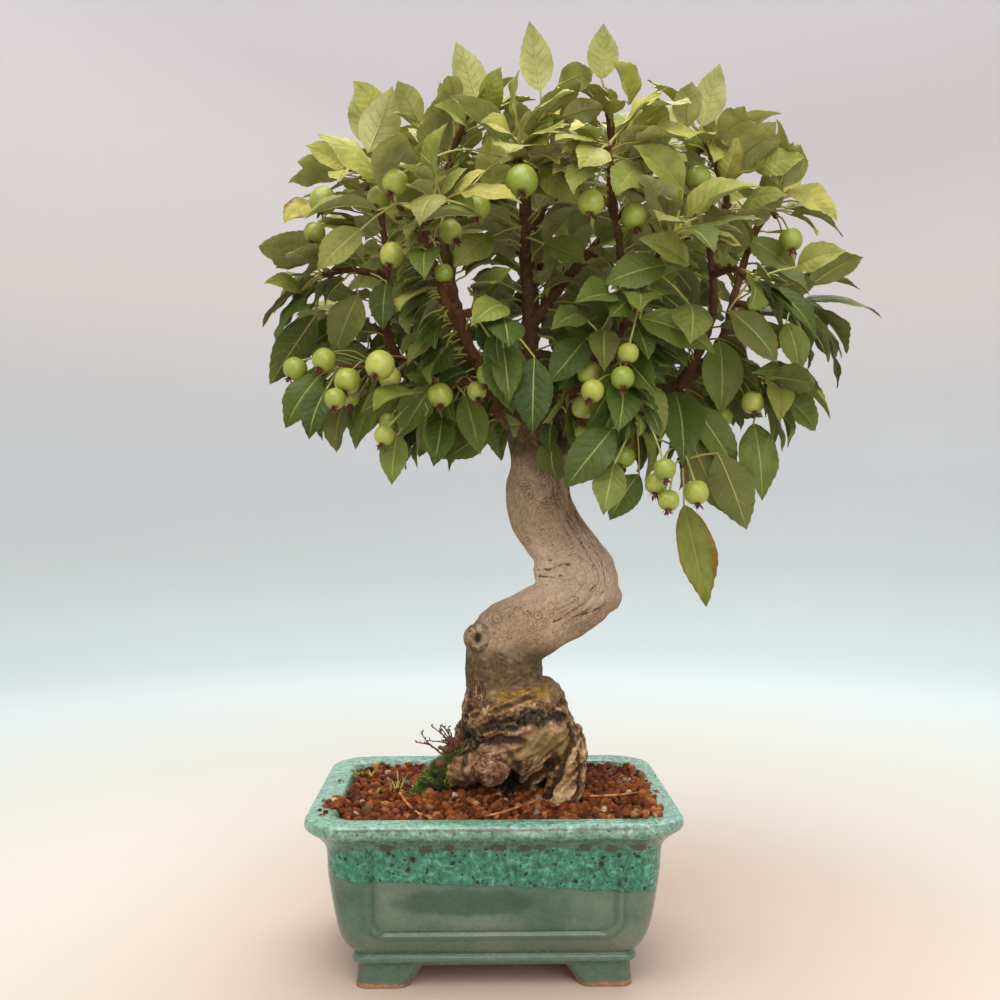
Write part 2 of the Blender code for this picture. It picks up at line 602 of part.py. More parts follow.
def soil_height(x, y):
    """Height of the mounded, grainy surface."""
    reach = min(1.0, math.hypot(x / POT_HALF_X, y / POT_HALF_Y))
    mound = SOIL_MOUND * (1 - reach**2)
    grain = noise.noise(Vector((x * SOIL_GRAIN_SCALE, y * SOIL_GRAIN_SCALE, 3.0)))
    return SOIL_EDGE + mound + SOIL_GRAIN * grain


def make_soil(parts, trunk, material):
    """Soil that fills the pot up to just under the rim, with a hole of the trunk's own shape."""
    bottom = POT_FLOOR + GAP + SCREEN_THICK + GAP
    (floor, low), (wall, high) = POT_INSIDE[:2]
    floor_offset = floor + (bottom - low) / (high - low) * (wall - floor)
    rings = [pot_ring(floor_offset - WALL_GAP, bottom)]
    rings += [pot_ring(offset - WALL_GAP, height) for offset, height in POT_INSIDE[1:]]
    edge = pot_ring(POT_INSIDE[-1][0] - WALL_GAP - SOIL_LIP, 0)
    for i in range(SOIL_RINGS):
        scale = 1 - (i / SOIL_RINGS) ** SOIL_SPREAD
        rings.append([(x * scale, y * scale, soil_height(x * scale, y * scale)) for x, y, _ in edge])
    soil = new_object("soil", *loft(rings), material, parts)
    clean_mesh(soil)
    cutter = trunk.copy()
    cutter.data = trunk.data.copy()
    parts.objects.link(cutter)
    swell(cutter, TRUNK_CLEARANCE)
    boolean(soil, [cutter], "DIFFERENCE")
    clean_mesh(soil)
    return soil


def swell(obj, amount):
    """Move each point of a mesh outwards along its normal."""
    normals = [v.normal.copy() for v in obj.data.vertices]
    for vertex, normal in zip(obj.data.vertices, normals):
        vertex.co += normal * amount * MM


def wood_tubes():
    """Rough closed tubes of the trunk and the roots, with the burls, as a list of (vertices, faces)."""
    tubes = [tube(smooth_path(line, WOOD_STEPS), WOOD_SIDES, WOOD_BUMPS) for line in (BASE, TRUNK)]
    for root in ROOTS:
        tubes.append(tube(smooth_path(root, ROOT_STEPS), ROOT_SIDES, ROOT_BUMPS))
    for x, y, z, radius in BURLS:
        tubes.append(ball((x, y, z), radius, (0, 0, 1), BURL_SEGMENTS, BURL_RINGS))
    return tubes


def branch_tubes():
    """Closed tubes of the branches and the cut stub, with flat ends."""
    tubes = [tube(smooth_path(points, BRANCH_STEPS), BRANCH_SIDES) for points in BRANCHES.values()]
    tubes.append(tube(smooth_path(STUB, STUB_STEPS), STUB_SIDES))
    return tubes


def make_trunk(parts, scratch, material):
    """Roots, trunk and branches as one grown solid."""
    trunk = new_object("trunk", *merge(wood_tubes()), material, parts)
    remesh = trunk.modifiers.new("blend", "REMESH")
    remesh.mode = "VOXEL"
    remesh.voxel_size = TRUNK_VOXEL * MM
    smooth = trunk.modifiers.new("smooth", "SMOOTH")
    smooth.iterations = TRUNK_SMOOTHING
    smooth.factor = 0.5
    apply_modifiers(trunk)
    count = sum(len(p.vertices) - 2 for p in trunk.data.polygons)
    thin = trunk.modifiers.new("thin", "DECIMATE")
    thin.ratio = TRUNK_TRIANGLES / count
    apply_modifiers(trunk)
    clean_mesh(trunk)
    limbs = [new_object("limb", *t, material, scratch) for t in branch_tubes()]
    boolean(trunk, limbs, "UNION")
    clean_mesh(trunk)
    return trunk


def merge(meshes):
    """One list of vertices and faces from several."""
    verts, faces = [], []
    for v, f in meshes:
        start = len(verts)
        verts.extend(v)
        faces.extend(tuple(i + start for i in face) for face in f)
    return verts, faces


def branch_point(name, place):
    """Point, direction and radius at a place along a branch."""
    path = smooth_path(BRANCHES[name], BRANCH_STEPS)
    position = place * (len(path) - 1)
    i = min(int(position), len(path) - 2)
    t = position - i
    point = path[i] * (1 - t) + path[i + 1] * t
    direction = Vector((path[i + 1] - path[i])[:3]).normalized()
    return Vector(point[:3]), direction, float(point[3])


def shoot_path(branch, place, end):
    """Points of a shoot, from just clear of its branch to its end."""
    point, direction, radius = branch_point(branch, place)
    end = Vector(end)
    way = (end - point).normalized()
    out = direction
    start = point + out * SHOOT_GAP
    if place < 1.0:
        out = (way - direction * way.dot(direction)).normalized()
        start = point + out * (radius + SHOOT_GAP)
    lead = start + out * SHOOT_LEAD
    length = (end - lead).length
    middle = lead.lerp(end, 0.5) + Vector((0, 0, SHOOT_LIFT * length))
    width = SHOOT_RADIUS
    return [(*start, width[0]), (*lead, width[0]), (*middle, (width[0] + width[1]) / 2), (*end, width[1])]


def path_place(path, place):
    """Point and direction at a place (0 to 1) of a path's length."""
    pts = [Vector(p[:3]) for p in path]
    lengths = [(b - a).length for a, b in zip(pts, pts[1:])]
    left = place * sum(lengths)
    for a, b, length in zip(pts, pts[1:], lengths):
        if left <= length:
            return a.lerp(b, left / length), (b - a).normalized()
        left -= length
    return pts[-1], (pts[-1] - pts[-2]).normalized()


def path_length(path):
    """Length of a path."""
    pts = [Vector(p[:3]) for p in path]
    return sum((b - a).length for a, b in zip(pts, pts[1:]))


def leaf_mesh(root, base, tip, normal, thick=LEAF_THICK, grow=0.0):
    """Leaf with its stalk: a three-sided stalk and a folded, drooping blade of thin diamond sections."""
    axis = tip - base
    length = axis.length
    axis.normalize()
    normal = (normal - axis * normal.dot(axis)).normalized()
    side = axis.cross(normal)
    half = min(length * LEAF_WIDTH, LEAF_WIDEST) / 2 + grow
    stalk_radius = PETIOLE_RADIUS + grow
    verts = []
    way = (base - root).normalized()
    s_side = (side - way * side.dot(way)).normalized()
    s_up = s_side.cross(way)
    for centre, radius in ((root, stalk_radius), (base, stalk_radius)):
        verts.append(centre + s_side * -radius + s_up * radius * 0.5)
        verts.append(centre + s_side * radius + s_up * radius * 0.5)
        verts.append(centre - s_up * radius)
    for along, wide in ((0.3, 1.0), (0.68, 0.74)):
        arch = normal * length * LEAF_DROOP * (4 * along * (1 - along)) * 0.5
        centre = base + axis * length * along + arch
        fold = normal * half * wide * LEAF_FOLD * 2
        slim = thick / 2 * (1.0 if along < 0.5 else 0.85)
        verts.append(centre - side * half * wide + fold)
        verts.append(centre + normal * slim)
        verts.append(centre + side * half * wide + fold)
        verts.append(centre - normal * slim)
    verts.append(tip + axis * grow)
    faces = [(0, 1, 2)]
    for a, b in ((0, 1), (1, 2), (2, 0)):
        faces.append((a, a + 3, b + 3))
        faces.append((a, b + 3, b))
    faces += [(3, 7, 4), (3, 6, 7), (4, 7, 8), (3, 9, 6), (3, 5, 9), (4, 9, 5), (4, 8, 9)]
    faces += [(6, 10, 7), (7, 10, 11), (7, 11, 12), (7, 12, 8)]
    faces += [(6, 9, 10), (9, 13, 10), (9, 12, 13), (9, 8, 12)]
    faces += [(10, 14, 11), (11, 14, 12), (12, 14, 13), (13, 14, 10)]
    return verts, [face[::-1] for face in faces]


def tree_of(verts, faces):
    """Search tree of a mesh, for tests of what crosses what."""
    return BVHTree.FromPolygons([tuple(v) for v in verts], faces)


def box_of(verts):
    """Lowest and highest corner."""
    array = np.array([tuple(v) for v in verts])
    return array.min(axis=0), array.max(axis=0)


class Space:
    """What is already placed, and a test for a new piece crossing it."""

    def __init__(self):
        self.entries = []

    def add(self, owner, verts, faces):
        """Keep a placed mesh with the name of its node."""
        self.entries.append((owner, *box_of(verts), tree_of(verts, faces)))

    def clear(self, verts, faces, skip=()):
        """True when the mesh crosses nothing but what the skipped nodes own."""
        low, high = box_of(verts)
        tree = None
        for owner, other_low, other_high, other in self.entries:
            if owner in skip or (low > other_high).any() or (high < other_low).any():
                continue
            if tree is None:
                tree = tree_of(verts, faces)
            if tree.overlap(other):
                return False
        return True


def blade_part(verts, faces):
    """The blade of a leaf, without its stalk."""
    return verts, [f for f in faces if min(f) >= 3]


def plan_leaf(path, place, rng, turn, rise):
    """Root, base, tip and upper side of a leaf drawn by the rule."""
    root, along = path_place(path, place)
    side = along.orthogonal().normalized()
    other = along.cross(side)
    out = side * math.cos(turn) + other * math.sin(turn)
    centre = Vector(CANOPY_CENTRE)
    outward = Vector(((root - centre)[i] / CANOPY_SIZE[i] for i in range(3)))
    level = outward.z
    outward.normalize()
    pull = Vector((0, 0, LEAF_PULL[0] * level + LEAF_PULL[1]))
    way = (out * LEAF_OUT + along * rise + outward * LEAF_OUTWARD + pull).normalized()
    base = root + way * rng.uniform(*PETIOLE_LENGTH)
    sag = Vector((0, 0, -rng.uniform(*LEAF_SAG) * (1 - max(0.0, level))))
    blade = (way + sag).normalized()
    tip = base + blade * rng.uniform(*LEAF_LENGTH)
    upward, away, loose = LEAF_FACING
    up = Vector((0, 0, upward)) + outward * away
    up += Vector((rng.uniform(-loose, loose), rng.uniform(-loose, loose), 0))
    return root, base, tip, up


def inside_canopy(tip):
    """True when a leaf's tip stays within the canopy's outline."""
    centre = Vector(CANOPY_CENTRE)
    reach = sum(abs((tip - centre)[i] / CANOPY_SIZE[i]) ** CANOPY_POWER for i in range(3))
    return reach < 1.0


def seen_from_front(points):
    """Where points appear from the front eye, as sideways and upward shares of their distance."""
    off = np.array([tuple(p) for p in points]) - FRONT_EYE
    return off[:, 0] / off[:, 1], off[:, 2] / off[:, 1], off[:, 1]


def kept_in_sight():
    """Discs that stay in sight from the front, as sideways and upward shares, radii and distances."""
    discs = []
    for _, base, tip, _ in KEY_LEAVES:
        base, tip = Vector(base), Vector(tip)
        discs += [(*base.lerp(tip, place), (tip - base).length * CLEAR_SHARE) for place in CLEAR_PLACES]
    for _, fruits in BUNCHES.values():
        discs += [(x, y, z, diameter / 2) for x, y, z, diameter in fruits]
    discs = [disc for disc in discs if disc[1] < 0]
    for name, first, last in BARE_WOOD:
        for place in np.linspace(first, last, BARE_DISCS):
            point, _, radius = branch_point(name, place)
            discs.append((*point, radius + BARE_MARGIN))
    discs = np.array(discs)
    points, radii = discs[:, :3], discs[:, 3]
    across, above, far = seen_from_front(points)
    return across, above, radii / far, far


def hides(leaf, discs):
    """True when a leaf stands in front of a key leaf, a fruit or wood that shows bare."""
    _, base, tip, _ = leaf
    across, above, far = seen_from_front([base.lerp(tip, place) for place in CLEAR_PLACES])
    gap = np.hypot(across[:, None] - discs[0], above[:, None] - discs[1])
    return bool(((gap < discs[2]) & (far[:, None] < discs[3])).any())


def rosettes(path):
    """Places along a shoot that carry leaves, with how many, from the tip back."""
    length = path_length(path)
    places = [(1.0, TIP_LEAVES)]
    back = ROSETTE_SPACING
    while back < length - BARE_START:
        places.append((1 - back / length, SIDE_LEAVES))
        back += ROSETTE_SPACING
    return places


def plan_leaves(space, paths):
    """Leaves of every shoot, as lists of (root, base, tip, upper side)."""
    rng = random.Random(SEED)
    leaves = {name: [] for name in paths}
    own_space = {}
    for name, path in paths.items():
        own_space[name] = Space()
        own_space[name].add("twig", *tube(path, SHOOT_SIDES))

    def accept(name, leaf):
        fat = leaf_mesh(*leaf, thick=LEAF_THICK + 2 * LEAF_MARGIN, grow=LEAF_MARGIN)
        if not space.clear(*fat, skip=(shoot_node(name),)):
            return False
        if not own_space[name].clear(*blade_part(*fat)):
            return False
        leaves[name].append(leaf)
        space.add(shoot_node(name), *leaf_mesh(*leaf))
        own_space[name].add("leaf", *blade_part(*leaf_mesh(*leaf)))
        return True

    discs = kept_in_sight()
    free = {name: [path_place(path, place)[0] for place in KEY_ROOTS] for name, path in paths.items()}
    for name, base, tip, facing in KEY_LEAVES:
        root = min(free[name], key=lambda place: (place - Vector(base)).length)
        if accept(name, (root, Vector(base), Vector(tip), Vector(FACING[facing]))):
            free[name].remove(root)
    for name, path in paths.items():
        length = path_length(path)
        for place, count in rosettes(path):
            first = rng.uniform(0, math.tau)
            for k in range(count):
                slot = max(FIRST_LEAF, place - LEAF_STEP * k / length)
                for _ in range(LEAF_TRIES):
                    turn = first + math.tau * k / count + rng.uniform(-LEAF_TURN, LEAF_TURN)
                    leaf = plan_leaf(path, slot, rng, turn, rng.uniform(*LEAF_RISE))
                    if inside_canopy(leaf[2]) and not hides(leaf, discs) and accept(name, leaf):
                        break
    return leaves


def shoot_node(name):
    """Node name of a shoot."""
    return "shoot_" + name


def bunch_node(name):
    """Node name of the fruit bunch on a shoot."""
    return "fruits_" + name


def bunch_meshes(path, place, fruits):
    """Hub, stalks and fruits of a bunch, as a list of (vertices, faces)."""
    point, along = path_place(path, place)
    mean = sum((Vector(f[:3]) for f in fruits), Vector()) / len(fruits)
    way = mean - point
    way = (way - along * way.dot(along)).normalized()
    hub = point + way * (SHOOT_RADIUS[0] + GAP + HUB_RADIUS)
    meshes = [ball(hub, HUB_RADIUS, way, HUB_SEGMENTS, HUB_RINGS)]
    for x, y, z, diameter in fruits:
        centre = Vector((x, y, z))
        half = diameter / 2
        arrive = (hub - centre).normalized() * STALK_ARRIVES[0] + Vector((0, 0, STALK_ARRIVES[1]))
        arrive.normalize()
        top = centre + arrive * half
        middle = hub.lerp(top, 0.5) + Vector((0, 0, (hub - top).length * STALK_RISE))
        stalk = [hub, middle, top - arrive * STALK_SINK]
        meshes.append(tube([(*p, STALK_RADIUS) for p in stalk], STALK_SIDES))
        pole = arrive + arrive.orthogonal().normalized() * FRUIT_POLE_TILT
        meshes.append(ball(centre, half, pole, FRUIT_SEGMENTS, FRUIT_RINGS, arrive))
    return meshes


def make_fused(name, meshes, parts, scratch, material):
    """One solid from overlapping closed meshes. One of them is left out where they don't close up with it."""
    for left_out in [None] + list(range(len(meshes) - 1, 0, -1)):
        chosen = [mesh for i, mesh in enumerate(meshes) if i != left_out]
        for solver, flat in FUSE_WAYS:
            objects = [new_object("piece", *mesh, material, scratch) for mesh in chosen[1:]]
            fused = new_object(name, *chosen[0], material, parts)
            boolean(fused, objects, "UNION", solver)
            clean_mesh(fused, flat)
            if is_closed(fused):
                return fused
            bpy.data.objects.remove(fused)
    raise ValueError(name + " doesn't close up")


def centre_on_floor(parts):
    """Slide the model so that its origin is under the middle of its bounding box."""
    corners = []
    for obj in parts.objects:
        corners.extend(obj.matrix_world @ v.co for v in obj.data.vertices)
    low = Vector((min(c[i] for c in corners) for i in range(3)))
    high = Vector((max(c[i] for c in corners) for i in range(3)))
    slide = Vector((-(low.x + high.x) / 2, -(low.y + high.y) / 2, -low.z))
    for obj in parts.objects:
        obj.data.transform(Matrix.Translation(slide))


def main():
    for obj in list(bpy.data.objects):
        bpy.data.objects.remove(obj)
    scene = bpy.context.scene
    parts = bpy.data.collections.new(MODEL)
    scratch = bpy.data.collections.new("cutters")
    scene.collection.children.link(parts)
    scene.collection.children.link(scratch)
    glaze = make_material("pot_glaze", (0.13, 0.38, 0.33), 0.3)
    mesh_plastic = make_material("drain_screen", (0.03, 0.03, 0.03), 0.6)
    clay = make_material("soil", (0.20, 0.07, 0.04), 0.95)
    bark = make_material("bark", (0.42, 0.34, 0.25), 0.85)
    leaf = make_material("leaf", (0.10, 0.22, 0.05), 0.5)
    fruit = make_material("fruit", (0.38, 0.52, 0.12), 0.35)
    make_pot(parts, scratch, glaze)
    make_screen("drain_screen_left", -DRAIN_X, parts, scratch, mesh_plastic)
    make_screen("drain_screen_right", DRAIN_X, parts, scratch, mesh_plastic)
    trunk = make_trunk(parts, scratch, bark)
    make_soil(parts, trunk, clay)
    space = Space()
    for mesh in wood_tubes() + branch_tubes():
        space.add("trunk", *mesh)
    paths = {name: shoot_path(*shoot) for name, shoot in SHOOTS.items()}
    for name, path in paths.items():
        space.add(shoot_node(name), *tube(path, SHOOT_SIDES))
    bunches = {name: bunch_meshes(paths[name], *bunch) for name, bunch in BUNCHES.items()}
    for name, meshes in bunches.items():
        for mesh in meshes:
            space.add(bunch_node(name), *mesh)
    leaves = plan_leaves(space, paths)
    for name, meshes in bunches.items():
        make_fused(bunch_node(name), meshes, parts, scratch, fruit)
    for name, path in paths.items():
        meshes = [tube(path, SHOOT_SIDES)] + [leaf_mesh(*plan) for plan in leaves[name]]
        make_fused(shoot_node(name), meshes, parts, scratch, leaf)
    centre_on_floor(parts)


main()
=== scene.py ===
"""Looks of the hall crabapple bonsai: its pot, soil, bark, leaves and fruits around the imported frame.

Sizes are in millimetres in the pot's own plan: the centre of the pot's footprint at X = 0, Y = 0, its feet at
Z = 0, X along the pot and Y from its front to its back. MM takes the plan to metres, and SLIDE to the frame's
origin.
"""

import math
import random

import bmesh
import bpy
import numpy as np
from mathutils import Matrix, Vector, noise
from mathutils.bvhtree import BVHTree


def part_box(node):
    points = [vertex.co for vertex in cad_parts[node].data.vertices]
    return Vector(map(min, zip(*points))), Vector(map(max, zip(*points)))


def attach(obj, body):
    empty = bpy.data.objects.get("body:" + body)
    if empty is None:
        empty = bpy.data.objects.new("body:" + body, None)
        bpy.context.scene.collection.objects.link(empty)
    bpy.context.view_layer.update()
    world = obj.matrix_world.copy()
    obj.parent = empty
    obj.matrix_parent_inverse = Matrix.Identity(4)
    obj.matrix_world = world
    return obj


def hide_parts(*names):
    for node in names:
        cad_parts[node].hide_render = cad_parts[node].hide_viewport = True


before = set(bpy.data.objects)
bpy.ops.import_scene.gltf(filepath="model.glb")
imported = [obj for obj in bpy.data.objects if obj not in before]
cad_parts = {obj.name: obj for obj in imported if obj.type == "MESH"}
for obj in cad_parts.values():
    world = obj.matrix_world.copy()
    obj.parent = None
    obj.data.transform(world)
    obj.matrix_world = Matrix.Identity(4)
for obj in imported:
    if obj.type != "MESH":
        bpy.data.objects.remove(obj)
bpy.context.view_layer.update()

MM = 0.001
GAP = 0.3
pot_low, pot_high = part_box("pot")
SLIDE = np.array([(pot_low.x + pot_high.x) / 2, (pot_low.y + pot_high.y) / 2, 0.0])
SEED = 20

# Pot, as in the source: half sizes of the body under the rim, and rings as (offset outward, height).
POT_HALF_X = 83.5
POT_HALF_Y = 62.5
POT_CORNER = 15.0
POT_CORNER_LEAST = 4.0
POT_CORNER_SHARE = 0.7
POT_FLOOR = 20.0
POT_UNDERSIDE = 11.2
POT_INSIDE = [(-20.0, POT_FLOOR), (-13.5, 30.0), (-8.0, 58.0), (-5.5, 80.0)]
POT_RIM = [
    (-3.6, 86.4), (-1.6, 88.2), (5.0, 88.8), (9.6, 88.5), (11.3, 87.3), (11.8, 85.3), (11.3, 83.0),
    (8.8, 80.9), (5.2, 77.9),
]
POT_BODY = [
    (2.4, 74.5), (1.1, 70.6), (0.4, 60.0), (-0.8, 51.0), (-2.6, 39.5), (-4.8, 29.5), (-7.2, 24.0),
    (-9.8, 20.4), (-12.0, 18.2),
]
POT_ROLL = [
    (-12.3, 17.2), (-11.5, 16.2), (-11.2, 14.8), (-11.6, 13.4), (-12.9, 12.5), (-13.9, POT_UNDERSIDE),
]
FOOT_TOP = 18.0
FOOT_TOP_SIZE = (40.0, 34.0)
FOOT_SIZE = (27.5, 22.5)
FOOT_OUTER = (70.4, 49.6)
FOOT_CORNER = 6.0
FOOT_FLARE = 1.15
FOOT_WAIST = 0.9
FOOT_SIDES = 48
DRAIN_X = 34.0
DRAIN_RADIUS = 9.0

# Soil: height at the pot's wall and how much the middle is mounded above it.
SOIL_EDGE = 84.0
SOIL_MOUND = 4.5
SOIL_GRAIN = 1.1
SOIL_GRAIN_SCALE = 0.16

# Trunk, roots and branches, as in the source: points as (x, y, z, radius).
BASE = [
    (16, 14, 77, 19), (15.5, 11, 90, 21), (14, 5, 104, 27), (12.5, -1.5, 119, 31), (11.5, -3, 133, 29.2),
    (11, -3, 141, 26.6), (10.5, -3, 146.5, 21.5),
]
TRUNK = [
    (6, -3, 128, 18), (5.6, -3, 140, 20), (5.6, -3, 151, 20.4), (5.6, -3, 162, 20.4), (8.4, -4, 171, 20.2),
    (17, -5, 177, 19.8), (27, -6, 181.5, 19.2), (37.5, -6, 187, 18.8), (47.5, -6, 193.5, 18.6),
    (51.5, -5, 202, 18.4), (45.5, -3, 211, 18), (36.5, -1, 223, 18), (29.5, 1, 234, 18.6),
    (25, 2, 245, 18.8), (24.5, 2, 257, 17.6), (24.5, 1, 267, 16), (23.5, 0, 277, 15.2), (22, 0, 288, 15),
    (21, 0, 297, 13.5), (20.5, 1, 304, 10),
]
ROOTS = [
    [(0, 0, 130, 17.5), (-7, 0, 118, 14), (-14, 3, 102, 10.5), (-22, 3, 90, 9), (-28, 3, 77, 7)],
    [(34, -6, 122, 14), (37, -13, 110, 12.5), (38, -18, 99, 11), (34, -20, 88, 10.5), (31, -21, 77, 9)],
    [(39, 2, 120, 14), (42, 2, 106, 12), (41, 2, 94, 9.5), (43, 1, 85, 8.5), (45, 0, 77, 7.5)],
    [(14, 12, 118, 16), (8, 25, 102, 13), (4, 36, 89, 10), (0, 45, 77, 7)],
    [(27, 12, 112, 14), (36, 24, 98, 11), (44, 33, 86, 8), (51, 39, 77, 6)],
    [(16, -24, 121, 8), (2, -24, 114, 9), (-10, -18, 107, 8.5), (-20, -9, 99, 7.5), (-27, 0, 91, 6.5),
     (-31, 6, 80, 6)],
    [(-2, 10, 112, 13), (-15, 21, 98, 10), (-25, 31, 86, 8), (-32, 38, 77, 6)],
]
BURLS = [(-1, -26, 105, 9.5), (-9, -17, 172, 7.5), (61.5, -6, 193.5, 9), (34, -5, 207.5, 12.6)]
STUB = [(30, -6, 260, 6), (38, -8, 271, 5), (45, -9, 281, 4.4)]
WOOD_SIDES = 16
WOOD_STEPS = 3
WOOD_BUMPS = 0.10
ROOT_SIDES = 10
ROOT_STEPS = 4
ROOT_BUMPS = 0.35
BUMP_SCALE = 0.06
BURL_SEGMENTS = 12
BURL_RINGS = 8
STUB_SIDES = 7
STUB_STEPS = 2
BRANCH_SIDES = 5
BRANCH_STEPS = 1
BRANCHES = {
    "left": [(18, 0, 284, 6.4), (6, -4, 293, 5.6), (-6, -9, 312, 5), (-15, -13, 333, 4.3),
             (-22, -15, 358, 3.8), (-26, -16, 380, 3.4), (-29, -18, 398, 2.9)],
    "far_left": [(15, 1, 290, 5.2), (-4, 2, 300, 4.5), (-24, 3, 309, 4), (-46, 4, 319, 3.5),
                 (-57, 5, 334, 3.2), (-60, 6, 356, 2.9), (-59, 8, 380, 2.6), (-62, 9, 402, 2.2)],
    "centre": [(20, 1, 294, 7.2), (20, 4, 312, 6), (21, 7, 332, 5.3), (20, 8, 352, 4.6), (18, 7, 385, 3.8),
               (19, 5, 412, 3.2)],
    "right": [(22, 0, 288, 6.4), (36, -2, 297, 5.4), (52, -4, 303, 5), (76, -6, 305, 4.5), (98, -8, 307, 4),
              (114, -9, 319, 3.6), (126, -9, 337, 3.2), (131, -9, 356, 2.9), (139, -10, 384, 2.4)],
    "right_inner": [(56, -5, 303, 4), (63, -9, 318, 3.5), (68, -13, 345, 3.1), (68, -15, 383, 2.7),
                    (63, -14, 410, 2.4), (64, -13, 438, 2.1)],
    "right_middle": [(100, -8, 307, 3.7), (110, -14, 324, 3.2), (118, -18, 350, 2.8), (116, -20, 384, 2.4),
                     (123, -22, 402, 2.1)],
    "back_left": [(18, 4, 290, 5.6), (6, 22, 305, 4.6), (-10, 42, 322, 4), (-26, 60, 340, 3.4),
                  (-38, 72, 360, 2.7)],
    "back_right": [(23, 4, 290, 5.6), (40, 22, 306, 4.6), (60, 44, 324, 4), (78, 62, 340, 3.4),
                   (92, 74, 358, 2.7)],
    "back_up": [(20, 7, 330, 4.5), (24, 24, 352, 3.8), (24, 42, 378, 3.4), (22, 56, 402, 2.9),
                (24, 62, 422, 2.4)],
    "front_left": [(0, -6, 303, 4.3), (-8, -24, 318, 3.7), (-18, -46, 334, 3.2), (-28, -64, 352, 2.7),
                   (-34, -70, 372, 2.4)],
    "front_right": [(26, -2, 288, 5.1), (38, -22, 303, 4.2), (52, -44, 319, 3.5), (66, -60, 335, 3),
                    (74, -68, 352, 2.6)],
    "upper_right": [(20, 7, 342, 4), (38, 10, 366, 3.5), (60, 11, 392, 3), (76, 9, 414, 2.6),
                    (86, 6, 436, 2.2)],
}
TRUNK_LIMBS = ("left", "far_left", "centre", "right", "back_left", "back_right", "front_right")

# Shoots, as in the source: the branch that each grows from, the place along it, and the shoot's end point.
SHOOTS = {
    "far_left_tip": ("far_left", 1.0, (-72, -8, 428)),
    "far_left_upper": ("far_left", 0.80, (-92, -18, 366)),
    "far_left_low": ("far_left", 0.42, (-82, -22, 316)),
    "far_left_back": ("far_left", 0.62, (-88, 40, 350)),
    "left_tip": ("left", 1.0, (-14, -30, 448)),
    "left_front": ("left", 0.66, (-48, -62, 392)),
    "left_back": ("left", 0.84, (-48, 42, 432)),
    "left_low": ("left", 0.34, (-34, -42, 300)),
    "centre_tip": ("centre", 1.0, (26, -16, 456)),
    "centre_front": ("centre", 0.78, (12, -66, 418)),
    "centre_back": ("centre", 0.92, (54, 32, 460)),
    "front_left_tip": ("front_left", 1.0, (-24, -90, 386)),
    "front_left_low": ("front_left", 0.60, (4, -84, 330)),
    "front_right_tip": ("front_right", 1.0, (84, -88, 372)),
    "front_right_low": ("front_right", 0.62, (70, -68, 284)),
    "right_inner_tip": ("right_inner", 1.0, (58, -30, 462)),
    "right_inner_front": ("right_inner", 0.74, (52, -92, 412)),
    "right_middle_tip": ("right_middle", 1.0, (106, -52, 428)),
    "right_middle_front": ("right_middle", 0.62, (124, -78, 352)),
    "right_tip": ("right", 1.0, (154, -22, 408)),
    "right_outer": ("right", 0.86, (164, -22, 352)),
    "right_low": ("right", 0.62, (142, -34, 308)),
    "right_hanging": ("right", 0.50, (96, -46, 262)),
    "upper_right_tip": ("upper_right", 1.0, (100, 32, 452)),
    "upper_right_back": ("upper_right", 0.70, (120, 58, 408)),
    "back_up_tip": ("back_up", 1.0, (18, 66, 450)),
    "back_up_right": ("back_up", 0.60, (56, 82, 404)),
    "back_up_left": ("back_up", 0.84, (-20, 34, 450)),
    "back_left_tip": ("back_left", 1.0, (-50, 82, 392)),
    "back_left_low": ("back_left", 0.66, (-12, 88, 332)),
    "back_left_side": ("back_left", 0.40, (-56, 62, 310)),
    "back_right_tip": ("back_right", 1.0, (102, 84, 384)),
    "back_right_low": ("back_right", 0.62, (68, 84, 312)),
    "back_right_side": ("back_right", 0.44, (122, 54, 322)),
}
SHOOT_RADIUS = (2.0, 1.4)
SHOOT_SIDES = 4
SHOOT_GAP = 0.45
SHOOT_LEAD = 4.0
SHOOT_LIFT = 0.07
ROSETTE_SPACING = 28.0
TIP_LEAVES = 5
SIDE_LEAVES = 3

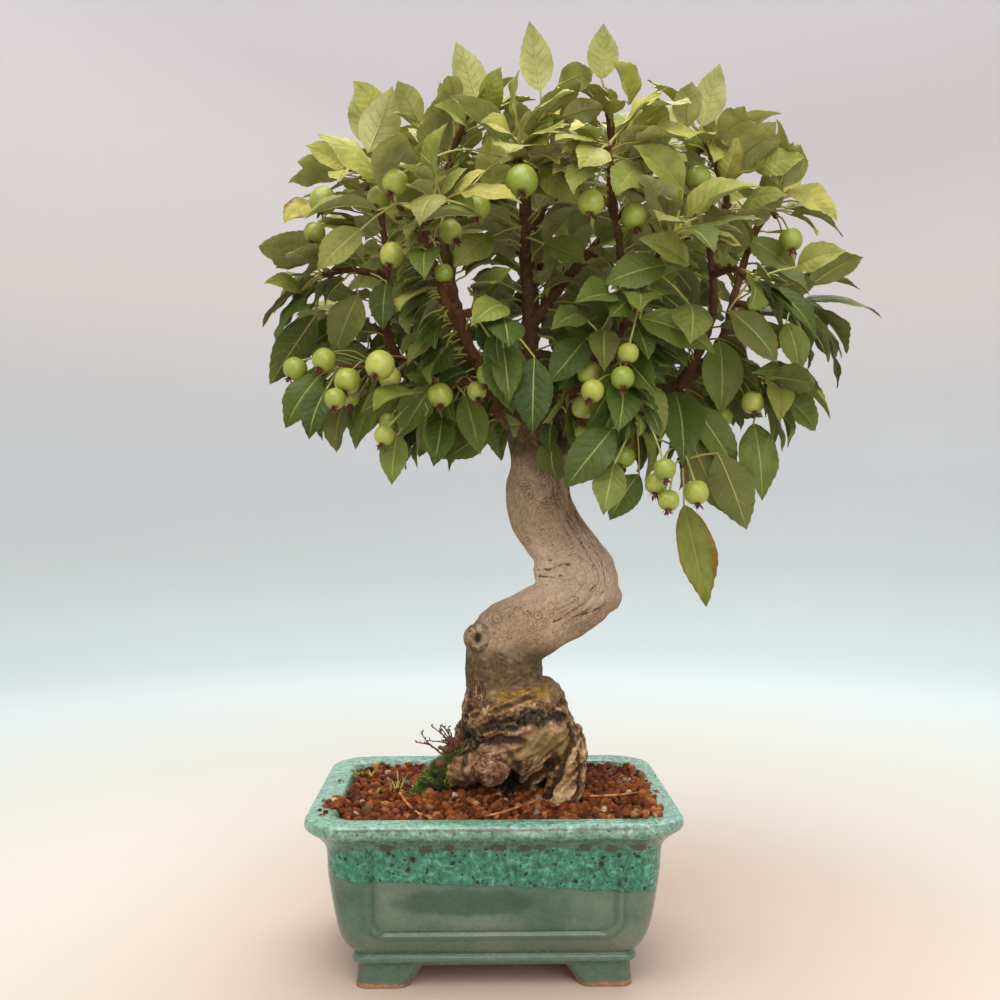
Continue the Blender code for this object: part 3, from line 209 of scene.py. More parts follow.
# Leaves whose place is read off the photo, as in the source: shoot, base and tip of the blade, and facing.
KEY_LEAVES = [
    ("centre_tip", (25, -20, 464), (19, -20, 501), "back"),
    ("left_tip", (-9, -30, 455), (-20, -30, 486), "back"),
    ("right_inner_tip", (56, -32, 466), (57, -34, 494), "back"),
    ("right_middle_tip", (104, -54, 434), (112, -58, 464), "back"),
    ("far_left_tip", (-68, -8, 438), (-72, -10, 472), "back"),
    ("far_left_upper", (-95, -16, 345), (-120, -14, 308), "back"),
    ("far_left_upper", (-101, -10, 368), (-124, -10, 363), "up"),
    ("right_outer", (166, -20, 353), (210, -20, 347), "up"),
    ("right_tip", (159, -15, 414), (187, -15, 401), "up"),
    ("right_hanging", (96, -50, 244), (107, -52, 192), "front"),
    ("centre_tip", (34, -23, 466), (52, -43, 466), "back"),
    ("centre_tip", (36, -21, 450), (57, -39, 449), "back"),
    ("far_left_tip", (-60, -15, 448), (-74, -25, 467), "front"),
    ("far_left_tip", (-66, -26, 429), (-53, -30, 462), "back"),
    ("far_left_tip", (-79, -15, 424), (-98, -29, 432), "front"),
    ("far_left_tip", (-97, -11, 407), (-109, -32, 391), "front"),
    ("left_tip", (-38, -34, 441), (-49, -50, 458), "back"),
    ("left_tip", (-14, -35, 440), (-29, -56, 444), "front"),
    ("left_tip", (-4, -37, 447), (3, -57, 462), "front"),
    ("centre_front", (9, -73, 421), (-6, -96, 422), "front"),
    ("centre_front", (0, -48, 402), (-2, -52, 430), "front"),
    ("centre_front", (22, -61, 410), (41, -74, 390), "front"),
    ("centre_front", (-1, -18, 387), (-21, -31, 368), "front"),
    ("centre_front", (27, -18, 383), (48, -34, 369), "front"),
    ("right_inner_tip", (72, -31, 454), (59, -52, 468), "front"),
    ("right_inner_front", (69, -90, 428), (88, -112, 424), "up"),
    ("right_inner_front", (69, -80, 406), (55, -104, 387), "front"),
    ("right_middle_tip", (96, -59, 431), (94, -78, 448), "back"),
    ("right_middle_tip", (119, -39, 411), (121, -58, 428), "front"),
    ("right_middle_tip", (134, -42, 416), (157, -52, 420), "front"),
    ("right_middle_tip", (128, -40, 398), (146, -56, 400), "front"),
    ("right_tip", (155, -29, 409), (181, -32, 395), "front"),
    ("right_tip", (136, -20, 386), (163, -23, 366), "front"),
    ("right_middle_front", (143, -85, 357), (161, -100, 362), "front"),
    ("right_middle_front", (113, -75, 338), (137, -78, 313), "front"),
    ("front_right_tip", (87, -95, 390), (64, -98, 411), "front"),
    ("front_right_tip", (91, -88, 357), (66, -100, 367), "front"),
    ("front_right_tip", (81, -83, 358), (51, -86, 348), "front"),
    ("front_right_tip", (69, -80, 333), (105, -83, 317), "front"),
    ("front_right_tip", (93, -80, 340), (89, -103, 319), "front"),
    ("front_right_tip", (55, -80, 344), (37, -104, 338), "front"),
    ("front_left_tip", (-6, -97, 377), (-43, -100, 370), "up"),
    ("front_left_low", (18, -91, 313), (17, -94, 277), "front"),
    ("front_left_low", (4, -91, 337), (-11, -114, 325), "front"),
    ("left_front", (-65, -69, 378), (-86, -72, 357), "front"),
    ("far_left_upper", (-101, -25, 356), (-115, -47, 357), "front"),
    ("far_left_upper", (-58, -6, 365), (-59, -19, 337), "front"),
    ("far_left_upper", (-73, -10, 357), (-86, -13, 324), "front"),
    ("far_left_low", (-90, -29, 312), (-109, -32, 284), "front"),
    ("far_left_low", (-85, -44, 303), (-94, -48, 277), "front"),
    ("left_low", (-49, -49, 279), (-51, -61, 254), "front"),
    ("left_low", (-32, -46, 304), (-48, -49, 278), "front"),
    ("left_low", (-27, -36, 289), (-31, -46, 264), "front"),
    ("left_low", (-15, -30, 301), (-7, -33, 270), "front"),
    ("front_right_low", (45, -63, 326), (26, -70, 304), "front"),
    ("front_right_low", (54, -63, 330), (52, -82, 308), "front"),
    ("front_right_low", (57, -75, 281), (33, -78, 252), "front"),
    ("front_right_low", (44, -63, 337), (27, -86, 328), "front"),
    ("front_right_low", (58, -72, 264), (51, -88, 240), "front"),
    ("front_right_low", (72, -58, 259), (57, -60, 236), "front"),
    ("right_low", (117, -36, 329), (117, -40, 291), "front"),
    ("right_low", (146, -41, 305), (142, -62, 286), "front"),
    ("right_low", (134, -40, 286), (138, -44, 246), "front"),
    ("right_outer", (155, -26, 340), (159, -38, 313), "front"),
    ("right_hanging", (95, -30, 303), (95, -56, 264), "front"),
    ("right_hanging", (104, -34, 296), (126, -40, 261), "front"),
    ("right_hanging", (102, -40, 276), (119, -43, 239), "back"),
    ("right_hanging", (113, -50, 270), (127, -53, 231), "back"),
    ("back_left_tip", (-58, 92, 388), (-78, 114, 384), "up"),
    ("back_right_tip", (108, 96, 380), (122, 122, 372), "up"),
    ("back_up_tip", (18, 74, 456), (16, 94, 482), "back"),
    ("upper_right_tip", (104, 36, 458), (116, 46, 484), "back"),
    ("front_right_tip", (88, -98, 372), (96, -122, 356), "up"),
    ("front_left_tip", (-26, -100, 386), (-34, -124, 368), "up"),
    ("back_up_right", (60, 92, 404), (64, 124, 396), "up"),
    ("back_left_low", (-14, 98, 330), (-20, 124, 308), "back"),
]
FACING = {"front": (0, -1.0, 0.35), "back": (0, 1.0, 0.5), "up": (0, -0.4, 1.0)}
KEY_ROOTS = [0.2 + 0.05 * k for k in range(17)]
CLEAR_PLACES = (0.1, 0.35, 0.6, 0.85)
CLEAR_SHARE = 0.19
# Stretches of branches that show bare from the front, as places along them (0 to 1).
BARE_WOOD = [
    ("far_left", 0.55, 1.0), ("left", 0.35, 0.85), ("centre", 0.38, 1.0), ("right_inner", 0.65, 1.0),
    ("right", 0.5, 0.62), ("right", 0.87, 1.0), ("right_middle", 0.33, 0.68),
]
BARE_DISCS = 8
BARE_MARGIN = 4.5
LEAF_LENGTH = (30.0, 38.0)
LEAF_WIDTH = 0.56
LEAF_WIDEST = 20.5
LEAF_THICK = 1.0
LEAF_FOLD = 0.16
LEAF_DROOP = 0.16
PETIOLE_LENGTH = (9.0, 15.0)
PETIOLE_RADIUS = 0.66
LEAF_TRIES = 30
LEAF_STEP = 1.9
LEAF_RISE = (0.15, 0.9)
LEAF_TURN = 0.6
LEAF_OUT = 0.8
LEAF_OUTWARD = 0.45
LEAF_PULL = (0.25, -0.18)
LEAF_SAG = (0.05, 0.7)
LEAF_FACING = (0.75, 1.0, 0.6)
FIRST_LEAF = 0.12
BARE_START = 12.0
LEAF_MARGIN = 0.5
CANOPY_CENTRE = (36, 0, 356)
CANOPY_SIZE = (162, 126, 112)
CANOPY_POWER = 2.6

# Fruit bunches, as in the source: the shoot's place, and the fruits as (x, y, z, diameter).
BUNCHES = {
    "far_left_low": (0.55, [(-74, -50, 306, 13.6), (-87, -40, 318, 12.4), (-104, -27, 315, 12.7)]),
    "left_low": (0.80, [(-56, -68, 312, 14.5), (-54, -36, 286, 11), (-27, -60, 298, 12.5)]),
    "far_left_tip": (0.60, [(-88, -38, 400, 14.3), (-95, -20, 388, 11.6)]),
    "left_front": (0.60, [(-50, -66, 366, 12.9), (-22, -56, 380, 12.1)]),
    "centre_front": (0.75, [(12, -95, 394, 15.3), (-8, -72, 388, 12)]),
    "right_inner_front": (0.80, [(66, -84, 381, 12.6), (44, -96, 384, 12.4)]),
    "right_middle_tip": (0.70, [(100, -66, 404, 12.9), (94, -54, 384, 10)]),
    "right_tip": (0.70, [(155, -34, 382, 12.4), (160, -8, 380, 11.7)]),
    "front_right_low": (0.20, [(47, -62, 309, 12.4), (45, -50, 293, 12.1), (60, -86, 304, 11.3)]),
    "right_hanging": (0.80, [(64, -62, 268, 11.5), (78, -74, 254, 11), (99, -66, 250, 12.6)]),
    "right_low": (0.60, [(132, -46, 296, 11.8), (120, -30, 290, 11)]),
    "back_left_side": (0.70, [(-58, 50, 288, 12.6), (-40, 66, 284, 12)]),
    "back_left_tip": (0.60, [(-40, 96, 356, 12.8), (-60, 78, 352, 12)]),
    "back_up_tip": (0.60, [(6, 80, 414, 12.6), (30, 72, 410, 12)]),
    "back_right_tip": (0.60, [(90, 96, 346, 12.8), (112, 80, 344, 12)]),
    "upper_right_back": (0.75, [(124, 70, 382, 12.6), (108, 72, 386, 11.6)]),
}
STALK_RADIUS = 0.7
STALK_SIDES = 3
STALK_RISE = 0.12
STALK_SINK = 1.6
STALK_ARRIVES = (0.5, 0.8)
HUB_RADIUS = 2.0
HUB_SEGMENTS = 4
HUB_RINGS = 2
FRUIT_SEGMENTS = 6
FRUIT_RINGS = 4
FRUIT_POLE_TILT = 0.5

# Detail that only the looks need. Extra fruits as (x, y, z, diameter).
EXTRA_FRUITS = [
    (-48, -75, 399, 12.3), (-57, -62, 395, 12.1), (-16, -82, 387, 11.6), (100, -62, 424, 12.6),
    (-25, -72, 356, 9.5), (-52, -58, 307, 11.7), (-80, -52, 297, 10.8), (-56, -44, 279, 10.0),
    (-39, -58, 270, 11.7), (-4, -72, 307, 10.4), (-9, -62, 300, 9.7), (46, -84, 298, 11.1),
    (63, -84, 316, 10.2), (60, -72, 298, 10.4), (81, -80, 261, 10.7), (84, -74, 246, 10.4),
    (132, -52, 346, 8.9), (93, -66, 379, 8.6), (-74, -40, 299, 10.1), (46, -40, 281, 9.1),
]
SIGHT_STEPS = (0.0, -6.0, 6.0, -12.0, 12.0, -18.0, 18.0, 24.0)
WOOD_VOXEL = 0.92
LEAF_ROWS = 20
INNER_ROWS = 10
SMALL_LEAF = 25.0
LEAF_OUTLINE = [
    (0, 0), (0.05, 0.3), (0.12, 0.56), (0.22, 0.81), (0.34, 0.96), (0.45, 1.0), (0.57, 0.94), (0.69, 0.78),
    (0.8, 0.54), (0.9, 0.26), (0.96, 0.1), (1, 0),
]
BLADE_THICK = 0.5
EXTRA_THICK = 0.5
BLADE_STEPS = 6
LOWEST_STALK = 292.0
# A blade's cross section: places across it (-1 to 1), upper side (1) or under side (-1), material slot.
LEAF_RING = np.array([-1, -0.55, -0.12, 0, 0.12, 0.55, 1, 0.55, 0, -0.55])
RING_FACE = np.array([0, 1, 1, 1, 1, 1, 0, -1, -1, -1])
RING_SLOT = np.array([0, 0, 0, 0, 0, 0, 1, 1, 1, 1])
# Ranges of a leaf's form: share of its width, fold, curl, and as shares of its length arch, droop and sweep.
BLADE_BREADTH = (0.86, 1.16)
BLADE_FOLD = (0.06, 0.5)
BLADE_CURL = (-0.1, 0.35)
BLADE_ARCH = (0.2, 0.42)
BLADE_DROOP = (0.0, 0.1)
BLADE_SWEEP = (-0.12, 0.12)
BLADE_TWIST = (-0.35, 0.35)
BLADE_WAVE = (0.03, 0.12)
NOTCH_SHARE = 0.04
NOTCH_MOST = 0.3
STALK_PROFILE = (1.05, 0.62, 0.52, 0.5, 0.46, 0.4, 0.32, 0.24, 0.12)
RIB_PLACES = (0.1, 0.25, 0.42, 0.6, 0.78)
# Leaves turn young from this height on, over this many millimetres.
YOUNG_FROM = 340
YOUNG_OVER = 65
INNER_SHARE = 0.62
# Rounds of further leaves: blade lengths, stalk lengths, spacing and tries.
MORE_LEAVES = [
    ((27.0, 36.0), (8.0, 18.0), 10.0, 24), ((20.0, 30.0), (6.0, 18.0), 7.0, 24),
    ((16.0, 25.0), (4.0, 14.0), 5.0, 26),
]

# Fruits: points around, rings, and the thin sepals and hairs at the lower end.
FRUIT_SIDES = 18
FRUIT_ROWS = 13
SEPALS = 5
SEPAL_HAIRS = 9
SPUR_SIDES = 8
SPUR = (1.2, 1.6, 1.8, 0.9)
SLIM_SPUR = (1.2, 1.4, 1.5, 0.8)
# Values of young wood away from cracks, flow lines and knots, and inside the top that is painted dark as
# shade.
YOUNG_SKIN = {"lines": (9.0, 0.0, 0.0), "mark": (0.0, 0.0, 1.0)}
NODE_SPACING = 9.0

# Knots as seen from the front (sign -1) or the back (1): (sign, x, z, half width, half height, depth of
# the hole, height of the rim).
KNOTS = [
    (-1, -8.3, 173.3, 4.6, 6.2, 3.4, 1.3), (-1, -9.4, 183.5, 2.6, 2.0, 0.5, 0.4),
    (-1, 2.0, 183.0, 2.6, 2.2, 0.3, 0.3), (-1, 17.6, 187.4, 2.4, 2.0, 0.4, 0.4),
    (-1, 23.4, 185.2, 2.2, 2.0, 0.4, 0.4), (-1, 27.9, 181.3, 1.6, 1.5, 0.3, 0.3),
    (-1, 42.6, 193.4, 2.4, 1.8, 0.4, 0.4), (-1, 16.4, 255.2, 3.0, 1.9, 0.4, 0.4),
    (-1, 19.0, 249.4, 2.2, 3.0, 0.8, 0.5), (-1, 28.4, 245.4, 2.6, 1.7, 0.8, 0.4),
    (-1, 18.6, 224.0, 2.0, 2.0, 0.4, 0.4), (-1, 30.2, 240.0, 1.6, 1.2, 0.3, 0.2),
    (1, 30.0, 262.0, 4.0, 3.2, 1.6, 1.0), (1, 24.0, 206.0, 3.0, 2.2, 0.8, 0.6),
    (1, 8.0, 168.0, 3.4, 4.2, 1.4, 0.9), (1, 40.0, 228.0, 2.4, 1.8, 0.6, 0.5),
]
# Zones of folded skin: (sign, x, z, radius, direction across the folds, pitch, depth).
WRINKLES = [
    (-1, 36.0, 213.0, 13.0, (-0.3, 0.95), 2.6, 0.5), (-1, 13.0, 157.0, 15.0, (0.35, 0.94), 3.0, 0.3),
    (-1, -6.0, 160.0, 9.0, (0.4, 0.9), 2.6, 0.3), (-1, 26.0, 276.0, 13.0, (0.1, 1.0), 2.6, 0.4),
    (-1, 12.0, 148.0, 16.0, (0.2, 0.97), 2.8, 0.35), (1, 30.0, 214.0, 16.0, (0.1, 1.0), 3.0, 0.5),
    (1, 10.0, 156.0, 14.0, (-0.1, 1.0), 3.0, 0.5),
]
# Cracks in the front skin: points along each as (x, z), width and depth.
CRACKS = [
    ([(31.5, 182.0), (38.5, 184.4), (43.3, 184.0), (51.3, 186.5), (60.0, 190.0)], 0.7, 0.8),
    ([(22.0, 208.5), (30.0, 209.0), (37.0, 212.0), (43.0, 211.5)], 0.7, 0.8),
    ([(24.0, 205.0), (32.0, 204.6), (40.0, 207.0)], 0.6, 0.5),
    ([(29.0, 213.5), (38.0, 215.8), (46.0, 219.0)], 0.5, 0.5),
    ([(45.0, 201.5), (50.0, 199.6)], 0.6, 0.4),
    ([(39.0, 262.0), (42.0, 246.0), (50.0, 229.0), (57.0, 215.0), (60.0, 200.0), (53.0, 190.0)], 0.4, 0.4),
    ([(34.0, 258.0), (38.5, 243.0), (46.0, 226.0), (52.5, 213.0), (54.5, 202.0), (48.0, 193.0)], 0.4, 0.4),
    ([(-1.0, 166.0), (6.0, 163.0), (18.0, 157.0), (27.0, 154.0)], 0.5, 0.4),
    ([(41.7, 119.5), (38.0, 110.0), (33.0, 100.0), (27.0, 91.0)], 1.6, 2.0),
    ([(33.0, 109.0), (26.0, 101.0), (19.0, 95.0), (13.0, 90.0)], 1.8, 2.4),
    ([(9.5, 104.0), (10.5, 96.0), (6.0, 90.0)], 1.6, 2.0),
    ([(45.0, 112.0), (46.0, 102.0), (44.0, 92.0)], 1.3, 1.8),
    ([(-16.0, 112.0), (-6.0, 119.5), (5.0, 122.0), (16.0, 121.0)], 1.5, 2.0),
    ([(-2.0, 128.0), (8.0, 131.5), (16.0, 130.0)], 1.2, 1.5),
    ([(30.0, 136.0), (37.0, 128.0), (41.0, 120.0)], 1.1, 1.3),
]
FLOW_LINE = [(33.0, 262.0), (41.0, 240.0), (50.0, 222.0), (58.0, 206.0), (54.0, 193.0), (44.0, 188.0)]
OCHRE_BAND = [(2.0, 139.5), (14.0, 142.5), (30.0, 145.0)]
OLIVE = [(22.0, 121.0), (33.0, 116.0)]
# Dark crumbly masses and the torn slot of the front: (x, z, half width, half height).
CRUMBS = [(21.0, 133.0, 9.5, 6.0), (-13.0, 121.0, 8.5, 5.5), (6.0, 127.0, 9.0, 2.2), (34.0, 131.0, 5.0, 3.0)]
SHOULDER = 0.62
SLOT = (-8.8, 144.0, 4.6, 7.5)
# The long root that slants down across the front of the base, and the gully above it.
LONG_ROOT = [(38.0, 124.0), (16.0, 117.0), (-4.0, 109.0), (-24.0, 100.0)]
GULLY = [(34.0, 136.0), (14.0, 130.0), (0.0, 124.0), (-16.0, 118.0)]
PALE_BURL = (-1.0, -30.0, 105.0)
# Heights over which the craggy base, the top painted dark as shade under the canopy, the neck and the buried
# part begin or end.
BASE_TOP = (150.0, 139.0)
SHADED_TOP = (258.0, 276.0)
NECK = 153
BURIED = (82.0, 90.0)
# How far a face turns to the front before it counts as seen from there.
FRONT_FACING = (0.0, 0.35)
WOOD_SMOOTHS = 14
# Hollows of the base as (x, z, half width, half height), carved in and painted near black as painted shade.
HOLLOWS = [(9.0, 94.5, 6.0, 7.0), (-1.0, 91.5, 9.0, 3.0), (28.0, 92.0, 3.0, 3.0)]

# Low raised frame on each wall, and the bare patches under the rim as (place along the wall, height, size).
PANEL_HALF = {"front": 62.5, "side": 41.5}
PANEL_BOTTOM = 28.9
PANEL_TOP = 86.0
PANEL_CORNER = 9.0
GROOVE_INSIDE = 2.4
GROOVE_OUTSIDE = 2.2
FRAME_FADES = (74.0, 66.0)
PATCHES = [
    (-52.7, 75.6, 5), (-33.5, 75.2, 4), (-22.6, 76, 3.4), (1.5, 75.8, 4.6), (14.4, 75.4, 3.6),
    (22.3, 76, 3.4), (44.0, 75.6, 4.6), (57.7, 75.2, 4.0), (71.0, 75.6, 4.4),
]

# Soil: layers of granules as (spacing, least size, largest size, depth).
GRANULE_LAYERS = ((3.6, 2.6, 5.8, 0.3), (4.4, 2.6, 4.0, 2.6))
GRANULE_ROWS = 27
GRANULE_COLUMNS = 21
FINE_GRANULE = 3.4
CRUMBS_ABOUT = 4
WALL_GAP = -4.8
RIM_INSIDE = -5.0
GRASS_BLADES = 9
GRASS_X = -54
RIM_TOP = 88.6
HEAP_GRAINS = 80
# Heaps of granules, as (x, y, radius, height).
SOIL_HEAPS = [
    (77.0, -4.0, 14.0, 5.0), (78.0, 30.0, 12.0, 2.5), (-30.0, 20.0, 22.0, 2.0), (82.0, 16.0, 10.0, 2.5),
    (84.0, -22.0, 10.0, 2.5), (84.0, -40.0, 9.0, 2.0), (76.0, -56.0, 10.0, 1.5), (-82.0, -34.0, 8.0, 1.5),
]
WEED_ROWS = 8
# Small weeds, as (x, y, leaves, reach).
WEEDS = [(-77.0, 27.0, 7, 4.0), (-70.0, 33.0, 5, 3.2), (-63.0, -6.0, 4, 2.6)]
# Fallen stalks: points as (x, y, height above the granules), and the radius.
FALLEN_STALKS = [
    ([(-50, -18, 3.0), (-46, -30, 2.0), (-39, -46, 1.6), (-32, -57, 1.8)], 0.7),
    ([(-5, -57, 1.6), (4, -52, 2.2), (14, -42, 2.6), (21, -35, 3.0)], 0.6),
    ([(51, -23, 1.8), (61, -22, 2.6), (72, -18, 3.0), (81, -16, 4.0)], 0.6),
]
# Moss, as (x, y, z, radius, shoots tried).
MOSS = [(-27.0, -10.0, 96.0, 8.0, 260), (-20.0, -14.0, 112.0, 5.0, 120), (2.0, -30.0, 90.0, 3.0, 30)]
MOSS_CUSHIONS = [
    (-37.0, -7.0, 87.0, 7.0), (-33.0, -9.0, 94.0, 6.5), (-29.0, -12.0, 101.0, 5.0),
    (-24.5, -14.0, 107.0, 3.8), (-43.0, -12.0, 85.0, 3.0),
]
MOSS_DENSITY = 8.0
TUFT = (-21.0, -13.0, 111.0)
DEAD_TWIGS = 16
# Broken stubs, as (start, end, radius).
DEAD_STUBS = [
    ((-14, -10, 108), (-31, -16, 104.5), 2.6), ((-12, -10, 114), (-27, -15, 112), 2.2),
    ((-16, -12, 101), (-35, -10, 99), 2.0),
]
RIM_CRUMBS = [
    (-86.5, -40.0, 3.2), (-88.5, -46.0, 2.4), (-85.0, -50.0, 3.0), (-89.0, -28.0, 2.6), (-84.6, -34.0, 2.2),
    (84.0, 8.0, 2.8), (87.0, 2.0, 2.2), (84.5, -6.0, 3.2), (88.0, -14.0, 2.4), (85.5, -24.0, 3.0),
    (87.5, 20.0, 2.0), (-86.0, 12.0, 2.2),
]

# Studio: the sky's light, and the lamps as (place, aim, size, power, colour), in metres and watts.
SKY_COLOUR = (1.0, 0.985, 0.97, 1.0)
SKY_STRENGTH = 0.42
PLANT_MIDDLE = (0.0, 0.0, 0.25)
LAMPS = {
    "key": ((-0.35, -0.7, 1.75), PLANT_MIDDLE, 1.5, 34, (1.0, 0.97, 0.92)),
    "fill": ((0.5, -1.5, 0.75), PLANT_MIDDLE, 1.4, 15, (1.0, 0.99, 0.97)),
    "back": ((0.3, 0.8, 1.7), PLANT_MIDDLE, 1.2, 24, (1.0, 1.0, 0.97)),
    "wall": ((0.0, 0.5, 2.1), (0.0, 2.0, 0.8), 1.6, 3, (1.0, 0.99, 0.99)),
}
WALL_TOP = 2.6
COVE_STEPS = 24
STAGE_SIDES = 96
RAMP_LENGTH = 3.0

# Camera, fitted to the photo: place in the plan, turn to the right in radians, and focal length in pixels.
FLOOR_REACH = 1.1
COVE = 0.9
FLOOR_DROP = 0.0002
# Backdrop colours by the distance run from the middle of the floor, in metres.
BACKDROP = [
    (0.12, (192, 172, 158)), (0.3, (191, 184, 175)), (0.52, (187, 188, 182)), (0.9, (190, 200, 202)),
    (1.34, (179, 189, 192)), (1.6, (171, 177, 179)), (1.8, (170, 175, 179)), (2.06, (178, 178, 180)),
    (2.33, (195, 189, 188)), (2.96, (214, 209, 213)),
]
CAMERA_PLACE = (-8.6, -597.4, 246.2)
CAMERA_TURN = 0.0208
CAMERA_FOCAL_PX = 1084.9
SENSOR = 36.0
PHOTO_PIXELS = 1000


def linear(red, green, blue):
    """Scene-linear colour of a screen colour given as 0 to 255."""
    return tuple((((c / 255) + 0.055) / 1.055) ** 2.4 for c in (red, green, blue))


class Paint:
    """A node material, with short calls that add nodes to it."""

    def __init__(self, name, roughness=0.5, **sockets):
        self.material = bpy.data.materials.new(name)
        self.material.use_nodes = True
        self.tree = self.material.node_tree
        self.shader = self.tree.nodes["Principled BSDF"]
        self.shader.inputs["Roughness"].default_value = roughness
        for key, value in sockets.items():
            self.shader.inputs[key.replace("_", " ")].default_value = value
        self.place = self.node("TexCoord").outputs["Object"]

    def node(self, kind, inputs=None, **settings):
        """Add a node, with its settings and what feeds its inputs."""
        node = self.tree.nodes.new("ShaderNode" + kind)
        for key, value in settings.items():
            setattr(node, key, value)
        for key, value in (inputs or {}).items():
            self.feed(node.inputs[key], value)
        return node

    def feed(self, socket, value):
        """Link a socket or set its value, where a colour is a screen colour."""
        if isinstance(value, bpy.types.NodeSocket):
            self.tree.links.new(value, socket)
        elif isinstance(value, tuple) and len(value) == 3 and socket.type == "RGBA":
            socket.default_value = (*linear(*value), 1.0)
        else:
            socket.default_value = value

    def value(self, name, output="Fac"):
        """A value kept on the mesh."""
        return self.node("Attribute", attribute_name=name).outputs[output]

    def parts(self, name):
        """The three parts of a vector kept on the mesh."""
        return self.split(self.value(name, "Vector"))

    def split(self, vector):
        """The three parts of a vector."""
        return self.node("SeparateXYZ", {"Vector": vector}).outputs

    def join(self, x, y, z):
        """A vector from three parts."""
        return self.node("CombineXYZ", {"X": x, "Y": y, "Z": z}).outputs["Vector"]

    def normal_z(self):
        """How far the surface faces up."""
        return self.split(self.node("NewGeometry").outputs["Normal"])["Z"]

    def scaled(self, vector, x, y, z):
        """A vector stretched along each axis."""
        return self.node("VectorMath", {0: vector, 1: (x, y, z)}, operation="MULTIPLY").outputs["Vector"]

    def noise(self, scale, detail=3.0, rough=0.5, where=None):
        """Noise value at a scale in repeats per metre of the object, or per unit of where."""
        inputs = {"Vector": where or self.place, "Scale": scale, "Detail": detail, "Roughness": rough}
        return self.node("TexNoise", inputs).outputs["Fac"]

    def wobble(self, amount, *settings):
        """Noise around zero, times an amount."""
        return self.times(self.minus(self.noise(*settings), 0.5), amount)

    def cells(self, scale, feature="F1"):
        """Distance value of Voronoi cells."""
        cells = self.node("TexVoronoi", {"Vector": self.place, "Scale": scale}, feature=feature)
        return cells.outputs["Distance"]

    def maths(self, operation, a, b=0.0):
        """One step of arithmetic."""
        return self.node("Math", {0: a, 1: b}, operation=operation).outputs["Value"]

    def times(self, a, b):
        """Product of two values."""
        return self.maths("MULTIPLY", a, b)

    def plus(self, a, b):
        """Sum of two values."""
        return self.maths("ADD", a, b)

    def minus(self, a, b):
        """Difference of two values."""
        return self.maths("SUBTRACT", a, b)

    def most(self, a, b):
        """The larger of two values."""
        return self.maths("MAXIMUM", a, b)

    def reach(self, x, y):
        """Length of a vector of two parts."""
        return self.node("VectorMath", {0: self.join(x, y, 0.0)}, operation="LENGTH").outputs["Value"]

    def remap(self, value, low, high, to_low=0.0, to_high=1.0, smooth=True):
        """A value moved from one range to another, and held inside it."""
        kind = "SMOOTHSTEP" if smooth else "LINEAR"
        inputs = {"Value": value, "From Min": low, "From Max": high, "To Min": to_low, "To Max": to_high}
        return self.node("MapRange", inputs, interpolation_type=kind).outputs["Result"]

    def mix(self, share, a, b):
        """Two colours mixed."""
        node = self.node("Mix", data_type="RGBA")
        self.feed(node.inputs[0], share)
        self.feed(node.inputs[6], a)
        self.feed(node.inputs[7], b)
        return node.outputs[2]

    def tint(self, colour, other, share, most):
        """A colour mixed with another by a share, held to the most of it."""
        return self.mix(self.times(share, most), colour, other)

    def ramp(self, value, stops):
        """Screen colours along a value."""
        node = self.node("ValToRGB", {"Fac": value})
        band = node.color_ramp
        while len(band.elements) < len(stops):
            band.elements.new(0.5)
        for element, (position, colour) in zip(band.elements, stops):
            element.position = position
            element.color = (*linear(*colour), 1.0)
        return node.outputs["Color"]

    def relief(self, height, distance, normal=None):
        """Bump of a height, with its depth in metres, on top of another."""
        inputs = {"Height": height, "Distance": distance}
        if normal:
            inputs["Normal"] = normal
        return self.node("Bump", inputs).outputs["Normal"]

    def finish(self, colour, normal=None, roughness=None):
        """Link the surface's colour, normal and roughness."""
        self.feed(self.shader.inputs["Base Color"], colour)
        if normal:
            self.feed(self.shader.inputs["Normal"], normal)
        if roughness:
            self.feed(self.shader.inputs["Roughness"], roughness)
        return self.material

    def let_light_through(self, share, colour, normal):
        """Mix in light that comes through a thin blade."""
        glow = self.node("BsdfTranslucent", {"Color": colour, "Normal": normal})
        both = self.node("MixShader", {0: share})
        self.feed(both.inputs[1], self.shader.outputs["BSDF"])
        self.feed(both.inputs[2], glow.outputs["BSDF"])
        self.feed(self.tree.nodes["Material Output"].inputs["Surface"], both.outputs["Shader"])


